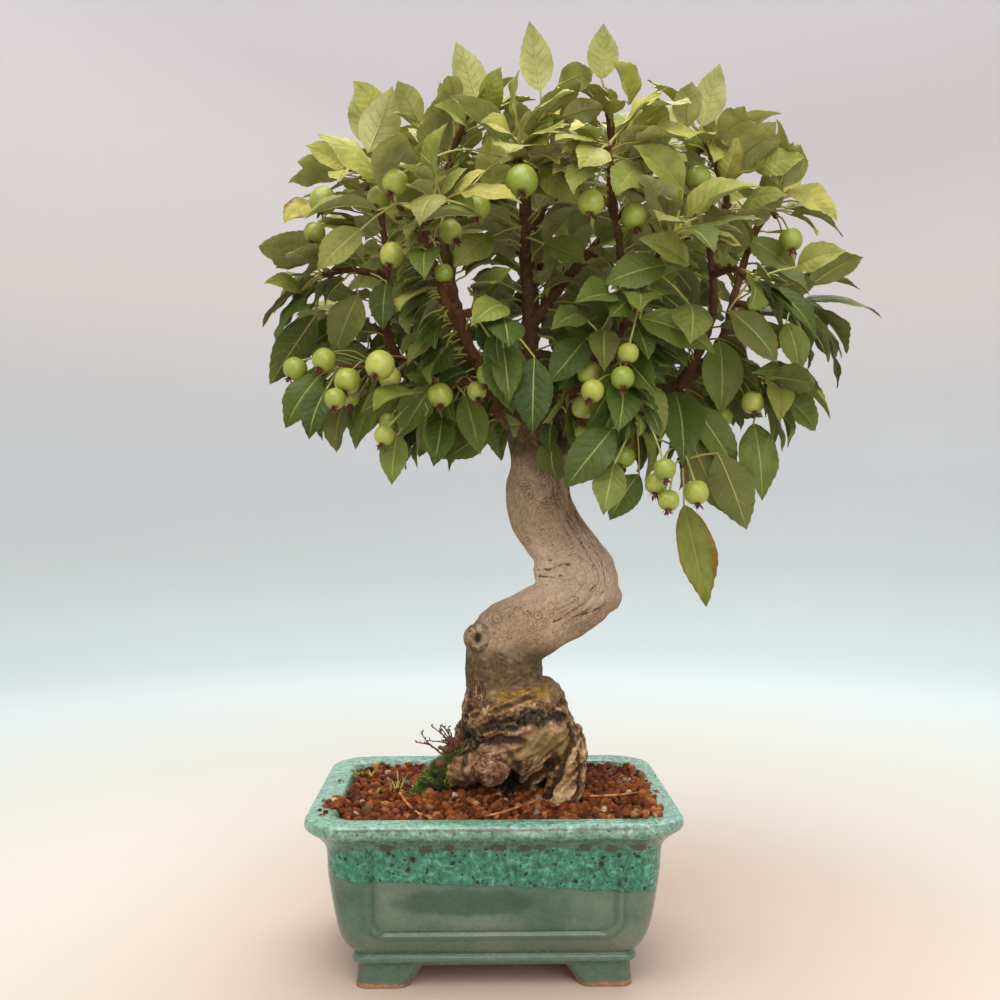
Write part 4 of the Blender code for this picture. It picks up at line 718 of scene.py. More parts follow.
class Heap:
    """Small meshes gathered into one piece, with the values that its material reads."""

    def __init__(self):
        self.verts = []
        self.faces = {3: [], 4: []}
        self.slots = {3: [], 4: []}
        self.values = {}
        self.count = 0

    def add(self, verts, faces, slots=0, **values):
        """Add points and arrays of faces, each array with one material slot or a slot for each face."""
        for array in faces:
            array = np.asarray(array)
            width = array.shape[1]
            self.faces[width].append(array + self.count)
        slots = slots if isinstance(slots, (list, tuple)) else [slots] * len(faces)
        for array, slot in zip(faces, slots):
            width = np.asarray(array).shape[1]
            self.slots[width].append(np.broadcast_to(slot, len(array)))
        self.verts.append(np.asarray(verts, dtype=float))
        for key, value in values.items():
            value = np.asarray(value, dtype=float)
            if len(value.shape) == 0 or len(value) != len(verts):
                value = np.broadcast_to(value, (len(verts), *value.shape))
            self.values.setdefault(key, []).append(value)
        self.count += len(verts)

    def piece(self, name, materials, sharp=70.0):
        """The gathered mesh as a piece that rides on the root body."""
        verts = np.concatenate(self.verts)
        corners, sizes, slots = [], [], []
        for width in (3, 4):
            if self.faces[width]:
                array = np.concatenate(self.faces[width])
                corners.append(array.ravel())
                sizes.append(np.full(len(array), width))
                slots.append(np.concatenate(self.slots[width]))
        corners, sizes, slots = np.concatenate(corners), np.concatenate(sizes), np.concatenate(slots)
        mesh = bpy.data.meshes.new(name)
        mesh.vertices.add(len(verts))
        place_points(mesh, verts)
        mesh.loops.add(len(corners))
        mesh.loops.foreach_set("vertex_index", corners.astype(np.int32))
        mesh.polygons.add(len(sizes))
        mesh.polygons.foreach_set("loop_start", (np.cumsum(sizes) - sizes).astype(np.int32))
        mesh.polygons.foreach_set("material_index", slots.astype(np.int32))
        for key, parts in self.values.items():
            add_value(mesh, key, np.concatenate(parts))
        mesh.update(calc_edges=True)
        mesh.validate()
        return dress(name, mesh, materials, sharp)


def add_value(mesh, name, array):
    """Keep a number or a vector for each point of a mesh."""
    array = np.asarray(array, dtype=np.float32)
    vector = array.ndim == 2
    attribute = mesh.attributes.new(name, "FLOAT_VECTOR" if vector else "FLOAT", "POINT")
    attribute.data.foreach_set("vector" if vector else "value", array.ravel())


def point_array(mesh, name):
    """The points or normals of a mesh as rows of three numbers."""
    array = np.empty(len(mesh.vertices) * 3, np.float32)
    mesh.vertices.foreach_get(name, array)
    return array.reshape(-1, 3).astype(float)


def place_points(mesh, points):
    """Put a mesh's points at places in the plan."""
    mesh.vertices.foreach_set("co", (points * MM + SLIDE).astype(np.float32).ravel())


def add_object(name, data):
    """A new object in the scene."""
    obj = bpy.data.objects.new(name, data)
    bpy.context.scene.collection.objects.link(obj)
    return obj


def dress(name, mesh, materials, sharp=70.0):
    """A mesh as a smooth piece with its materials, riding on the root body."""
    for material in materials:
        mesh.materials.append(material)
    mesh.shade_smooth()
    mesh.set_sharp_from_angle(angle=math.radians(sharp))
    obj = add_object(name, mesh)
    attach(obj, "root")
    return obj


def field(points, scale, offset=0.0):
    """Smooth noise from -1 to 1 at points, which are stretched by scale first."""
    grid = np.asarray(points) * np.asarray(scale) + offset
    return np.array([noise.noise(Vector(p)) for p in grid])


def hump(value, width):
    """1 where the value is 0, and smoothly down to 0 on both sides within about twice the width."""
    return np.exp(-((value / width) ** 2))


def smooth_path(points, steps):
    """Points of a Catmull-Rom curve through the given ones, each with any extra values it carries."""
    pts = [np.array(p, dtype=float) for p in points]
    pts = [2 * pts[0] - pts[1]] + pts + [2 * pts[-1] - pts[-2]]
    out = []
    for i in range(1, len(pts) - 2):
        a, b, c, d = pts[i - 1 : i + 3]
        for k in range(steps):
            t = k / steps
            curve = 2 * b + (c - a) * t + (2 * a - 5 * b + 4 * c - d) * t**2 + (3 * b - a - 3 * c + d) * t**3
            out.append(0.5 * curve)
    out.append(pts[-2])
    return out


def path_frames(points):
    """Tangent and two normals at each point, turned as little as possible along the path."""
    pts = [Vector(p[:3]) for p in points]
    last = len(pts) - 1
    tangents = [(pts[min(i + 1, last)] - pts[max(i - 1, 0)]).normalized() for i in range(last + 1)]
    side = tangents[0].orthogonal().normalized()
    frames = []
    for tangent in tangents:
        side = (side - tangent * side.dot(tangent)).normalized()
        frames.append((tangent, side, tangent.cross(side)))
    return frames


def tube(points, sides, bumps=0.0):
    """Closed tube along points that carry their radius, as (vertices, faces)."""
    verts = []
    for point, (_, side, up) in zip(points, path_frames(points)):
        centre = Vector(point[:3])
        for k in range(sides):
            angle = math.tau * k / sides
            out = side * math.cos(angle) + up * math.sin(angle)
            radius = point[3]
            if bumps:
                radius *= 1 + bumps * noise.noise((centre + out * radius) * BUMP_SCALE)
            verts.append(centre + out * radius)
    faces = []
    for i in range(len(points) - 1):
        for k in range(sides):
            a, b = i * sides + k, i * sides + (k + 1) % sides
            faces.append((a, b, b + sides, a + sides))
    last = (len(points) - 1) * sides
    faces.append(tuple(reversed(range(sides))))
    faces.append(tuple(last + k for k in range(sides)))
    return verts, faces


def ball(centre, radius, axis, segments, rings, facing=None):
    """Closed ball with its poles along axis and a face of its cap turned to facing, as (vertices, faces)."""
    axis = Vector(axis).normalized()
    side = facing if facing else axis.orthogonal()
    side = (side - axis * side.dot(axis)).normalized()
    turn = Matrix((side, axis.cross(side), axis)).transposed() @ Matrix.Rotation(math.pi / segments, 3, "Z")
    bm = bmesh.new()
    bmesh.ops.create_uvsphere(bm, u_segments=segments, v_segments=rings, radius=radius)
    verts = [Vector(centre) + turn @ v.co for v in bm.verts]
    faces = [tuple(v.index for v in face.verts) for face in bm.faces]
    bm.free()
    return verts, faces


def wood_tubes(shoulder=1.0):
    """Rough closed tubes of the trunk, the roots and the burls, the roots' tops narrowed by shoulder."""
    tubes = [tube(smooth_path(line, WOOD_STEPS), WOOD_SIDES, WOOD_BUMPS) for line in (BASE, TRUNK)]
    for root in ROOTS:
        top = (*root[0][:3], root[0][3] * shoulder)
        tubes.append(tube(smooth_path([top] + root[1:], ROOT_STEPS), ROOT_SIDES, ROOT_BUMPS))
    for x, y, z, radius in BURLS:
        tubes.append(ball((x, y, z), radius, (0, 0, 1), BURL_SEGMENTS, BURL_RINGS))
    return tubes


def branch_tubes():
    """Closed tubes of the branches and the cut stub, as in the source."""
    tubes = [tube(smooth_path(points, BRANCH_STEPS), BRANCH_SIDES) for points in BRANCHES.values()]
    tubes.append(tube(smooth_path(STUB, STUB_STEPS), STUB_SIDES))
    return tubes


def branch_point(name, place):
    """Point, direction and radius at a place along a branch."""
    path = smooth_path(BRANCHES[name], BRANCH_STEPS)
    position = place * (len(path) - 1)
    i = min(int(position), len(path) - 2)
    t = position - i
    point = path[i] * (1 - t) + path[i + 1] * t
    direction = Vector((path[i + 1] - path[i])[:3]).normalized()
    return Vector(point[:3]), direction, float(point[3])


def shoot_path(branch, place, end):
    """Points of a shoot, from just clear of its branch to its end."""
    point, direction, radius = branch_point(branch, place)
    end = Vector(end)
    way = (end - point).normalized()
    out = direction
    start = point + out * SHOOT_GAP
    if place < 1.0:
        out = (way - direction * way.dot(direction)).normalized()
        start = point + out * (radius + SHOOT_GAP)
    lead = start + out * SHOOT_LEAD
    length = (end - lead).length
    middle = lead.lerp(end, 0.5) + Vector((0, 0, SHOOT_LIFT * length))
    width = SHOOT_RADIUS
    return [(*start, width[0]), (*lead, width[0]), (*middle, (width[0] + width[1]) / 2), (*end, width[1])]


def path_place(path, place):
    """Point and direction at a place (0 to 1) of a path's length."""
    pts = [Vector(p[:3]) for p in path]
    lengths = [(b - a).length for a, b in zip(pts, pts[1:])]
    left = place * sum(lengths)
    for a, b, length in zip(pts, pts[1:], lengths):
        if left <= length:
            return a.lerp(b, left / length), (b - a).normalized()
        left -= length
    return pts[-1], (pts[-1] - pts[-2]).normalized()


def path_length(path):
    """Length of a path."""
    pts = [Vector(p[:3]) for p in path]
    return sum((b - a).length for a, b in zip(pts, pts[1:]))


def leaf_mesh(root, base, tip, normal, thick=LEAF_THICK, grow=0.0):
    """Plain leaf as in the source, which keeps the leaves clear of each other."""
    axis = tip - base
    length = axis.length
    axis.normalize()
    normal = (normal - axis * normal.dot(axis)).normalized()
    side = axis.cross(normal)
    half = min(length * LEAF_WIDTH, LEAF_WIDEST) / 2 + grow
    stalk_radius = PETIOLE_RADIUS + grow
    verts = []
    way = (base - root).normalized()
    s_side = (side - way * side.dot(way)).normalized()
    s_up = s_side.cross(way)
    for centre, radius in ((root, stalk_radius), (base, stalk_radius)):
        verts.append(centre + s_side * -radius + s_up * radius * 0.5)
        verts.append(centre + s_side * radius + s_up * radius * 0.5)
        verts.append(centre - s_up * radius)
    for along, wide in ((0.3, 1.0), (0.68, 0.74)):
        arch = normal * length * LEAF_DROOP * (4 * along * (1 - along)) * 0.5
        centre = base + axis * length * along + arch
        fold = normal * half * wide * LEAF_FOLD * 2
        slim = thick / 2 * (1.0 if along < 0.5 else 0.85)
        verts.append(centre - side * half * wide + fold)
        verts.append(centre + normal * slim)
        verts.append(centre + side * half * wide + fold)
        verts.append(centre - normal * slim)
    verts.append(tip + axis * grow)
    faces = [(0, 1, 2)]
    for a, b in ((0, 1), (1, 2), (2, 0)):
        faces.append((a, a + 3, b + 3))
        faces.append((a, b + 3, b))
    faces += [(3, 7, 4), (3, 6, 7), (4, 7, 8), (3, 9, 6), (3, 5, 9), (4, 9, 5), (4, 8, 9)]
    faces += [(6, 10, 7), (7, 10, 11), (7, 11, 12), (7, 12, 8)]
    faces += [(6, 9, 10), (9, 13, 10), (9, 12, 13), (9, 8, 12)]
    faces += [(10, 14, 11), (11, 14, 12), (12, 14, 13), (13, 14, 10)]
    return verts, faces


def box_of(verts):
    """Lowest and highest corner."""
    array = np.array([tuple(v) for v in verts])
    return array.min(axis=0), array.max(axis=0)


class Space:
    """What is already placed, and a test for a new piece crossing it."""

    def __init__(self):
        self.owners = []
        self.trees = []
        self.lows = np.empty((0, 3))
        self.highs = np.empty((0, 3))

    def add(self, owner, verts, faces):
        """Keep a placed mesh with the name of its node."""
        low, high = box_of(verts)
        self.owners.append(owner)
        self.trees.append(BVHTree.FromPolygons([tuple(v) for v in verts], faces))
        self.lows = np.vstack([self.lows, low])
        self.highs = np.vstack([self.highs, high])

    def clear(self, verts, faces, skip=()):
        """True when the mesh crosses nothing but what the skipped nodes own."""
        low, high = box_of(verts)
        near = ((low <= self.highs) & (high >= self.lows)).all(axis=1)
        tree = None
        for i in np.nonzero(near)[0]:
            if self.owners[i] in skip:
                continue
            if tree is None:
                tree = BVHTree.FromPolygons([tuple(v) for v in verts], faces)
            if tree.overlap(self.trees[i]):
                return False
        return True


def blade_part(verts, faces):
    """The blade of a leaf, without its stalk."""
    return verts, [f for f in faces if min(f) >= 3]


def plan_leaf(path, place, rng, turn, rise, lengths=LEAF_LENGTH, stalks=PETIOLE_LENGTH):
    """Root, base, tip and upper side of a leaf drawn by the rule."""
    root, along = path_place(path, place)
    side = along.orthogonal().normalized()
    other = along.cross(side)
    out = side * math.cos(turn) + other * math.sin(turn)
    centre = Vector(CANOPY_CENTRE)
    outward = Vector(((root - centre)[i] / CANOPY_SIZE[i] for i in range(3)))
    level = outward.z
    outward.normalize()
    pull = Vector((0, 0, LEAF_PULL[0] * level + LEAF_PULL[1]))
    way = (out * LEAF_OUT + along * rise + outward * LEAF_OUTWARD + pull).normalized()
    base = root + way * rng.uniform(*stalks)
    sag = Vector((0, 0, -rng.uniform(*LEAF_SAG) * (1 - max(0.0, level))))
    blade = (way + sag).normalized()
    tip = base + blade * rng.uniform(*lengths)
    upward, away, loose = LEAF_FACING
    up = Vector((0, 0, upward)) + outward * away
    up += Vector((rng.uniform(-loose, loose), rng.uniform(-loose, loose), 0))
    return root, base, tip, up


def inside_canopy(tip):
    """True when a leaf's tip stays within the canopy's outline."""
    centre = Vector(CANOPY_CENTRE)
    reach = sum(abs((tip - centre)[i] / CANOPY_SIZE[i]) ** CANOPY_POWER for i in range(3))
    return reach < 1.0


def seen_from_front(points):
    """Where points appear from the camera, as sideways and upward shares of their distance."""
    off = np.array([tuple(p) for p in points]) - CAMERA_PLACE
    return off[:, 0] / off[:, 1], off[:, 2] / off[:, 1], off[:, 1]


def kept_in_sight(extra_fruits=()):
    """Discs that stay in sight from the front, as sideways and upward shares, radii and distances."""
    discs = [(x, y, z, diameter / 2) for x, y, z, diameter in extra_fruits]
    for _, base, tip, _ in KEY_LEAVES:
        base, tip = Vector(base), Vector(tip)
        discs += [(*base.lerp(tip, place), (tip - base).length * CLEAR_SHARE) for place in CLEAR_PLACES]
    for _, fruits in BUNCHES.values():
        discs += [(x, y, z, diameter / 2) for x, y, z, diameter in fruits]
    discs = [disc for disc in discs if disc[1] < 0]
    for name, first, last in BARE_WOOD:
        for place in np.linspace(first, last, BARE_DISCS):
            point, _, radius = branch_point(name, place)
            discs.append((*point, radius + BARE_MARGIN))
    discs = np.array(discs)
    points, radii = discs[:, :3], discs[:, 3]
    across, above, far = seen_from_front(points)
    return across, above, radii / far, far


def hides(leaf, discs):
    """True when a leaf stands in front of a key leaf, a fruit or wood that shows bare."""
    _, base, tip, _ = leaf
    across, above, far = seen_from_front([base.lerp(tip, place) for place in CLEAR_PLACES])
    gap = np.hypot(across[:, None] - discs[0], above[:, None] - discs[1])
    return bool(((gap < discs[2]) & (far[:, None] < discs[3])).any())


def rosettes(path):
    """Places along a shoot that carry leaves, with how many, from the tip back."""
    length = path_length(path)
    places = [(1.0, TIP_LEAVES)]
    back = ROSETTE_SPACING
    while back < length - BARE_START:
        places.append((1 - back / length, SIDE_LEAVES))
        back += ROSETTE_SPACING
    return places


class Planner:
    """Places leaves one by one, clear of what is there."""

    def __init__(self, space):
        self.space = space
        self.leaves = {}
        self.owner = {}
        self.own = {}

    def add_stem(self, name, owner, tubes):
        """A stem that carries leaves, with the node that it belongs to and its own tubes."""
        self.leaves[name] = []
        self.owner[name] = owner
        self.own[name] = Space()
        for mesh in tubes:
            self.own[name].add("stem", *mesh)

    def accept(self, name, leaf, thick=LEAF_THICK, margin=LEAF_MARGIN):
        """Keep the leaf if it has room."""
        fat = leaf_mesh(*leaf, thick=thick + 2 * margin, grow=margin)
        if not self.space.clear(*fat, skip=(self.owner[name],)):
            return False
        if not self.own[name].clear(*blade_part(*fat)):
            return False
        self.leaves[name].append(leaf)
        self.space.add(self.owner[name] if self.owner[name] != "trunk" else name, *leaf_mesh(*leaf))
        self.own[name].add("leaf", *blade_part(*leaf_mesh(*leaf)))
        return True


def source_leaves(planner, paths):
    """The leaves that the source has, by the same rule."""
    rng = random.Random(SEED)
    discs = kept_in_sight()
    free = {name: [path_place(path, place)[0] for place in KEY_ROOTS] for name, path in paths.items()}
    for name, base, tip, facing in KEY_LEAVES:
        root = min(free[name], key=lambda place: (place - Vector(base)).length)
        if planner.accept(name, (root, Vector(base), Vector(tip), Vector(FACING[facing]))):
            free[name].remove(root)
    for name, path in paths.items():
        length = path_length(path)
        for place, count in rosettes(path):
            first = rng.uniform(0, math.tau)
            for k in range(count):
                slot = max(FIRST_LEAF, place - LEAF_STEP * k / length)
                for _ in range(LEAF_TRIES):
                    turn = first + math.tau * k / count + rng.uniform(-LEAF_TURN, LEAF_TURN)
                    leaf = plan_leaf(path, slot, rng, turn, rng.uniform(*LEAF_RISE))
                    if inside_canopy(leaf[2]) and not hides(leaf, discs) and planner.accept(name, leaf):
                        break


def more_leaves(planner, paths, rounds, extras):
    """Leaves between the source's, thinner and inside the same outline."""
    rng = random.Random(SEED + 1)
    discs = kept_in_sight([fruit for _, _, fruit in extras])
    for lengths, stalks, spacing, tries in rounds:
        for name, path in paths.items():
            length = path_length(path)
            for k in range(max(2, int(length / spacing))):
                place = max(0.1, 1 - (k + rng.uniform(0, 0.8)) * spacing / length)
                for _ in range(tries):
                    turn = rng.uniform(0, math.tau)
                    leaf = plan_leaf(path, place, rng, turn, rng.uniform(0.1, 1.0), lengths, stalks)
                    if leaf[0].z < LOWEST_STALK or not inside_canopy(leaf[2]) or hides(leaf, discs):
                        continue
                    if planner.accept(name, leaf, EXTRA_THICK, 0.0):
                        break


def bunch_points(path, place, fruits):
    """Hub of a bunch, its way, and each fruit with its centre, half size, and way and points of its stalk."""
    point, along = path_place(path, place)
    mean = sum((Vector(f[:3]) for f in fruits), Vector()) / len(fruits)
    way = mean - point
    way = (way - along * way.dot(along)).normalized()
    hub = point + way * (SHOOT_RADIUS[0] + GAP + HUB_RADIUS)
    hung = []
    for x, y, z, diameter in fruits:
        centre = Vector((x, y, z))
        half = diameter / 2
        arrive = (hub - centre).normalized() * STALK_ARRIVES[0] + Vector((0, 0, STALK_ARRIVES[1]))
        arrive.normalize()
        top = centre + arrive * half
        middle = hub.lerp(top, 0.5) + Vector((0, 0, (hub - top).length * STALK_RISE))
        hung.append((centre, half, arrive, [hub, middle, top - arrive * STALK_SINK]))
    return hub, way, hung


def bunch_meshes(path, place, fruits):
    """Plain bunch as in the source, which keeps the leaves clear of it."""
    hub, way, hung = bunch_points(path, place, fruits)
    meshes = [ball(hub, HUB_RADIUS, way, HUB_SEGMENTS, HUB_RINGS)]
    for centre, half, arrive, stalk in hung:
        meshes.append(tube([(*p, STALK_RADIUS) for p in stalk], STALK_SIDES))
        pole = arrive + arrive.orthogonal().normalized() * FRUIT_POLE_TILT
        meshes.append(ball(centre, half, pole, FRUIT_SEGMENTS, FRUIT_RINGS, arrive))
    return meshes


def skin(rings, start, end):
    """Closed surface over rings with the same number of points, drawn to one point at each end.

    It is given as points and two arrays of faces.
    """
    rings = np.asarray(rings, dtype=float)
    count, sides = rings.shape[:2]
    verts = np.concatenate([rings.reshape(-1, 3), [start], [end]])
    around = np.arange(sides)
    after = (around + 1) % sides
    rows = np.arange(count - 1)[:, None] * sides
    a, b = (rows + around).ravel(), (rows + after).ravel()
    quads = np.stack([a, b, b + sides, a + sides], axis=1)
    first = np.full(sides, count * sides)
    last = (count - 1) * sides
    ends = [np.stack([first, after, around], axis=1),
            np.stack([first + 1, last + around, last + after], axis=1)]
    return verts, [quads, np.concatenate(ends)]


def rod(points, radii, sides, swell=1.0):
    """Round closed rod along points, with swell as a factor on the radius at each of its points."""
    points = np.array([tuple(p)[:3] for p in points], dtype=float)
    frames = path_frames(points)
    side = np.array([tuple(f[1]) for f in frames])
    up = np.array([tuple(f[2]) for f in frames])
    angles = math.tau * np.arange(sides) / sides
    out = np.cos(angles)[None, :, None] * side[:, None] + np.sin(angles)[None, :, None] * up[:, None]
    reach = np.broadcast_to(np.asarray(radii, dtype=float), len(points))[:, None]
    reach = reach * np.broadcast_to(swell, (len(points), sides))
    return skin(points[:, None] + reach[:, :, None] * out, points[0], points[-1])


def unit(vector):
    """The vector at length one."""
    vector = np.array(vector, dtype=float)
    return vector / np.linalg.norm(vector)


LEAF_EDGE = np.array(smooth_path(LEAF_OUTLINE, BLADE_STEPS))


def dress_leaf(heap, root, base, tip, up, rng, young, rows=LEAF_ROWS):
    """Serrate blade with a groove over its midrib, on a stalk that runs on as the rib underneath."""
    root, base, tip, up = (np.array(tuple(v)) for v in (root, base, tip, up))
    length = np.linalg.norm(tip - base)
    axis = unit(tip - base)
    normal = unit(up - axis * (up @ axis))
    side = np.cross(axis, normal)
    half = min(length * LEAF_WIDTH, LEAF_WIDEST) / 2 * rng.uniform(*BLADE_BREADTH)
    fold = rng.uniform(*BLADE_FOLD)
    curl = rng.uniform(*BLADE_CURL)
    arch = rng.uniform(*BLADE_ARCH) * length
    droop = rng.uniform(*BLADE_DROOP) * length
    sweep = rng.uniform(*BLADE_SWEEP) * length
    twist = rng.uniform(*BLADE_TWIST)
    wave = rng.uniform(*BLADE_WAVE) * half
    phase = rng.random()

    def middle(t):
        bend = normal * (arch * t * (1 - t) - droop * t**3)
        return base + axis * length * t + bend + side * sweep * t * (1 - t)

    row = np.arange(1, rows)[:, None]
    t = row / rows
    wide = half * np.interp(t, LEAF_EDGE[:, 0], LEAF_EDGE[:, 1])
    s = LEAF_RING[None, :]
    margin = abs(s) == 1
    notch = margin * (row % 2) * np.minimum(NOTCH_SHARE * wide, NOTCH_MOST)
    across = s * wide - np.sign(s) * notch
    forward = margin * (1 - row % 2) * length / rows * 0.3 * (t < 0.93)
    lift = fold * abs(across) - curl * across**2 / half
    lift = lift + wave * s**2 * np.sin(math.tau * (2.2 * t + phase) + np.sign(s) * 1.3)
    slim = np.minimum(1.0, 5 * wide / half)
    lift = lift + RING_FACE * slim * BLADE_THICK / 2
    lift = lift - (LEAF_RING == 0) * (RING_FACE == 1) * slim * BLADE_THICK * 0.5
    angle = twist * (t - 0.4)
    out = across * np.cos(angle) - lift * np.sin(angle)
    high = across * np.sin(angle) + lift * np.cos(angle)
    rings = middle(t[:, :, None]) + forward[:, :, None] * axis
    rings = rings + out[:, :, None] * side + high[:, :, None] * normal
    flat = np.broadcast_to(s, wide.shape[:1] + s.shape[1:])
    blade = np.stack([flat, np.broadcast_to(t, flat.shape), np.full(flat.shape, half)], axis=2).reshape(-1, 3)
    blade = np.concatenate([blade, [[0, 0, half], [0, 1, half]]])
    tone = (young, rng.random(), rng.random())
    slots = [np.tile(RING_SLOT, rows - 2), np.tile(RING_SLOT, 2)]
    heap.add(*skin(rings, base, middle(1.0)), slots, blade=blade, tone=tone)

    way = base - root
    bow = unit(up - unit(way) * (up @ unit(way))) * 0.08 * np.linalg.norm(way)
    stalk = [root - unit(way) * 0.8, root + way * 0.2 + bow * 0.6, root + way * 0.6 + bow,
             base - normal * 0.2]
    stalk += [middle(k) - normal * (BLADE_THICK / 2 + 0.05) for k in RIB_PLACES]
    heap.add(*rod(stalk, STALK_PROFILE, 5), 2, blade=(0, 0.5, half), tone=tone)


def make_leaves(leaves, materials):
    """A piece of finished leaves for each stem; those of a shoot stand for the shoot's node."""
    rng = random.Random(SEED + 2)
    centre, size = np.array(CANOPY_CENTRE), np.array(CANOPY_SIZE)
    for name, plans in leaves.items():
        heap = Heap()
        for root, base, tip, up in plans:
            young = max(0.0, min(1.0, (tip.z - YOUNG_FROM) / YOUNG_OVER)) + 0.4 * rng.random() ** 2.5
            young = min(1.0, young)
            inner = np.linalg.norm((np.array(tip) - centre) / size) < INNER_SHARE
            small = (tip - base).length < SMALL_LEAF
            dress_leaf(heap, root, base, tip, up, rng, young, INNER_ROWS if inner or small else LEAF_ROWS)
        if not plans:
            continue
        piece = heap.piece("leaves_" + name, materials)
        if name in SHOOTS:
            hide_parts("shoot_" + name)


def make_twigs(paths, bark):
    """The shoots' stems, with the short side spurs and rings that bud scars leave."""
    rng = random.Random(SEED + 3)
    heap = Heap()
    for name, path in paths.items():
        branch, place, _ = SHOOTS[name]
        point, _, _ = branch_point(branch, place)
        inner = (*(Vector(path[0][:3]).lerp(point, 0.8)), path[0][3])
        line = np.array(smooth_path([inner] + path, 6))
        knobby_rod(heap, line, 8, rng, 0.9, age=0.0)
    piece = heap.piece("shoot_twigs", [bark])


def knobby_rod(heap, line, sides, rng, spurs, age):
    """Woody rod whose thickness swells at its nodes, with a few stubby spurs."""
    points, radii = line[:, :3], line[:, 3]
    steps = np.linalg.norm(np.diff(points, axis=0), axis=1)
    along = np.concatenate([[0], np.cumsum(steps)])
    factor = np.ones(len(points))
    nodes = np.arange(rng.uniform(4, 9), along[-1], NODE_SPACING)
    for node in nodes:
        factor += 0.3 * hump(along - node, 1.6)
    around = np.tile(np.arange(sides)[:, None] * 7.0, (len(points), 1))
    bumps = field(np.repeat(points, sides, axis=0) + around, 0.22)
    swell = 1 + 0.16 * bumps.reshape(-1, sides)
    heap.add(*rod(points, radii * factor, sides, swell), 0, age=age, **YOUNG_SKIN)
    for node in nodes:
        if rng.random() > spurs:
            continue
        i = min(int(np.searchsorted(along, node)), len(points) - 2)
        way = unit(points[i + 1] - points[i])
        out = unit(np.cross(way, unit([rng.gauss(0, 1) for _ in range(3)])) + way * 0.5)
        reach = rng.uniform(2.0, 5.0) + radii[i]
        tip = points[i] + out * reach
        spur = [points[i], points[i] + out * (radii[i] + 0.6), points[i] + out * reach * 0.8, tip]
        heap.add(*rod(spur, (1.3, 1.15, 1.25, 0.35), 6), 0, age=age, **YOUNG_SKIN)


def make_branches(bark):
    """The main branches, rounder and knobblier than the source's."""
    rng = random.Random(SEED + 4)
    heap = Heap()
    for points in BRANCHES.values():
        line = np.array(smooth_path(points, 10))
        age = np.clip((line[:, 3] - 2.4) / 4, 0, 1)
        line[:, 3] *= np.interp(line[:, 3], (3.0, 8.0), (0.7, 1.0))
        knobby_rod(heap, line, 12, rng, 0.6, age=float(age.mean()))
    piece = heap.piece("branches", [bark])


def dress_fruit(heap, centre, half, arrive, stalk, rng):
    """Round fruit, dimpled where its curved stalk meets it, with five dry sepals at its lower end."""
    centre, axis = np.array(tuple(centre)), unit(tuple(arrive))
    side = unit(np.cross(axis, (0.3, 0.9, 0.2)))
    up = np.cross(axis, side)
    polar = math.pi * np.arange(1, FRUIT_ROWS)[:, None] / FRUIT_ROWS
    angle = math.tau * np.arange(FRUIT_SIDES)[None, :] / FRUIT_SIDES
    lobes = 1 + 0.025 * np.cos(5 * angle) * polar / math.pi
    reach = half * np.sin(polar) ** 0.92 * lobes
    level = half * (np.cos(polar) - 0.2 * hump(polar, 0.4) + 0.1 * hump(math.pi - polar, 0.35))
    rings = centre + level[:, :, None] * axis
    rings = rings + (reach * np.cos(angle))[:, :, None] * side + (reach * np.sin(angle))[:, :, None] * -up
    place = np.concatenate([np.repeat(polar.ravel() / math.pi, FRUIT_SIDES), [0.0, 1.0]])
    tone = rng.random()
    top, bottom = centre + axis * half * 0.8, centre - axis * half * 0.9
    heap.add(*skin(rings, top, bottom), 0, place=place, tone=tone)

    end = centre - axis * half * 0.88
    for k in range(SEPALS):
        turn = math.tau * (k + 0.4 * rng.random()) / SEPALS
        out = unit(side * math.cos(turn) + up * math.sin(turn))
        cross = np.cross(axis, out)
        reach = rng.uniform(2.6, 4.2)
        ring = []
        for far, wide, drop in ((0.25, 0.7, 0.3), (0.6, 0.75, rng.uniform(1.2, 2.2))):
            spot = end + out * reach * far - axis * drop
            ring.append([spot - cross * wide, spot + axis * 0.2, spot + cross * wide, spot - axis * 0.2])
        last = end + out * reach * rng.uniform(0.6, 1.1) - axis * rng.uniform(1.6, 4.2)
        heap.add(*skin(ring, end + axis * 0.4, last), 1, place=1.0, tone=tone)
    for _ in range(SEPAL_HAIRS):
        turn = math.tau * rng.random()
        out = side * math.cos(turn) + up * math.sin(turn)
        tip = end - axis * rng.uniform(1.8, 3.8) + out * rng.uniform(0.2, 1.3)
        heap.add(*rod([end + out * 0.5, tip], (0.26, 0.16), 3), 1, place=1.0, tone=tone)

    line = np.array(smooth_path([tuple(p) for p in stalk], 5))
    radii = np.interp(np.linspace(0, 1, len(line)), (0, 0.08, 0.2, 0.85, 1), (1.0, 0.7, 0.48, 0.5, 0.8))
    heap.add(*rod(line, radii, 6), 2, place=0.0, tone=tone)


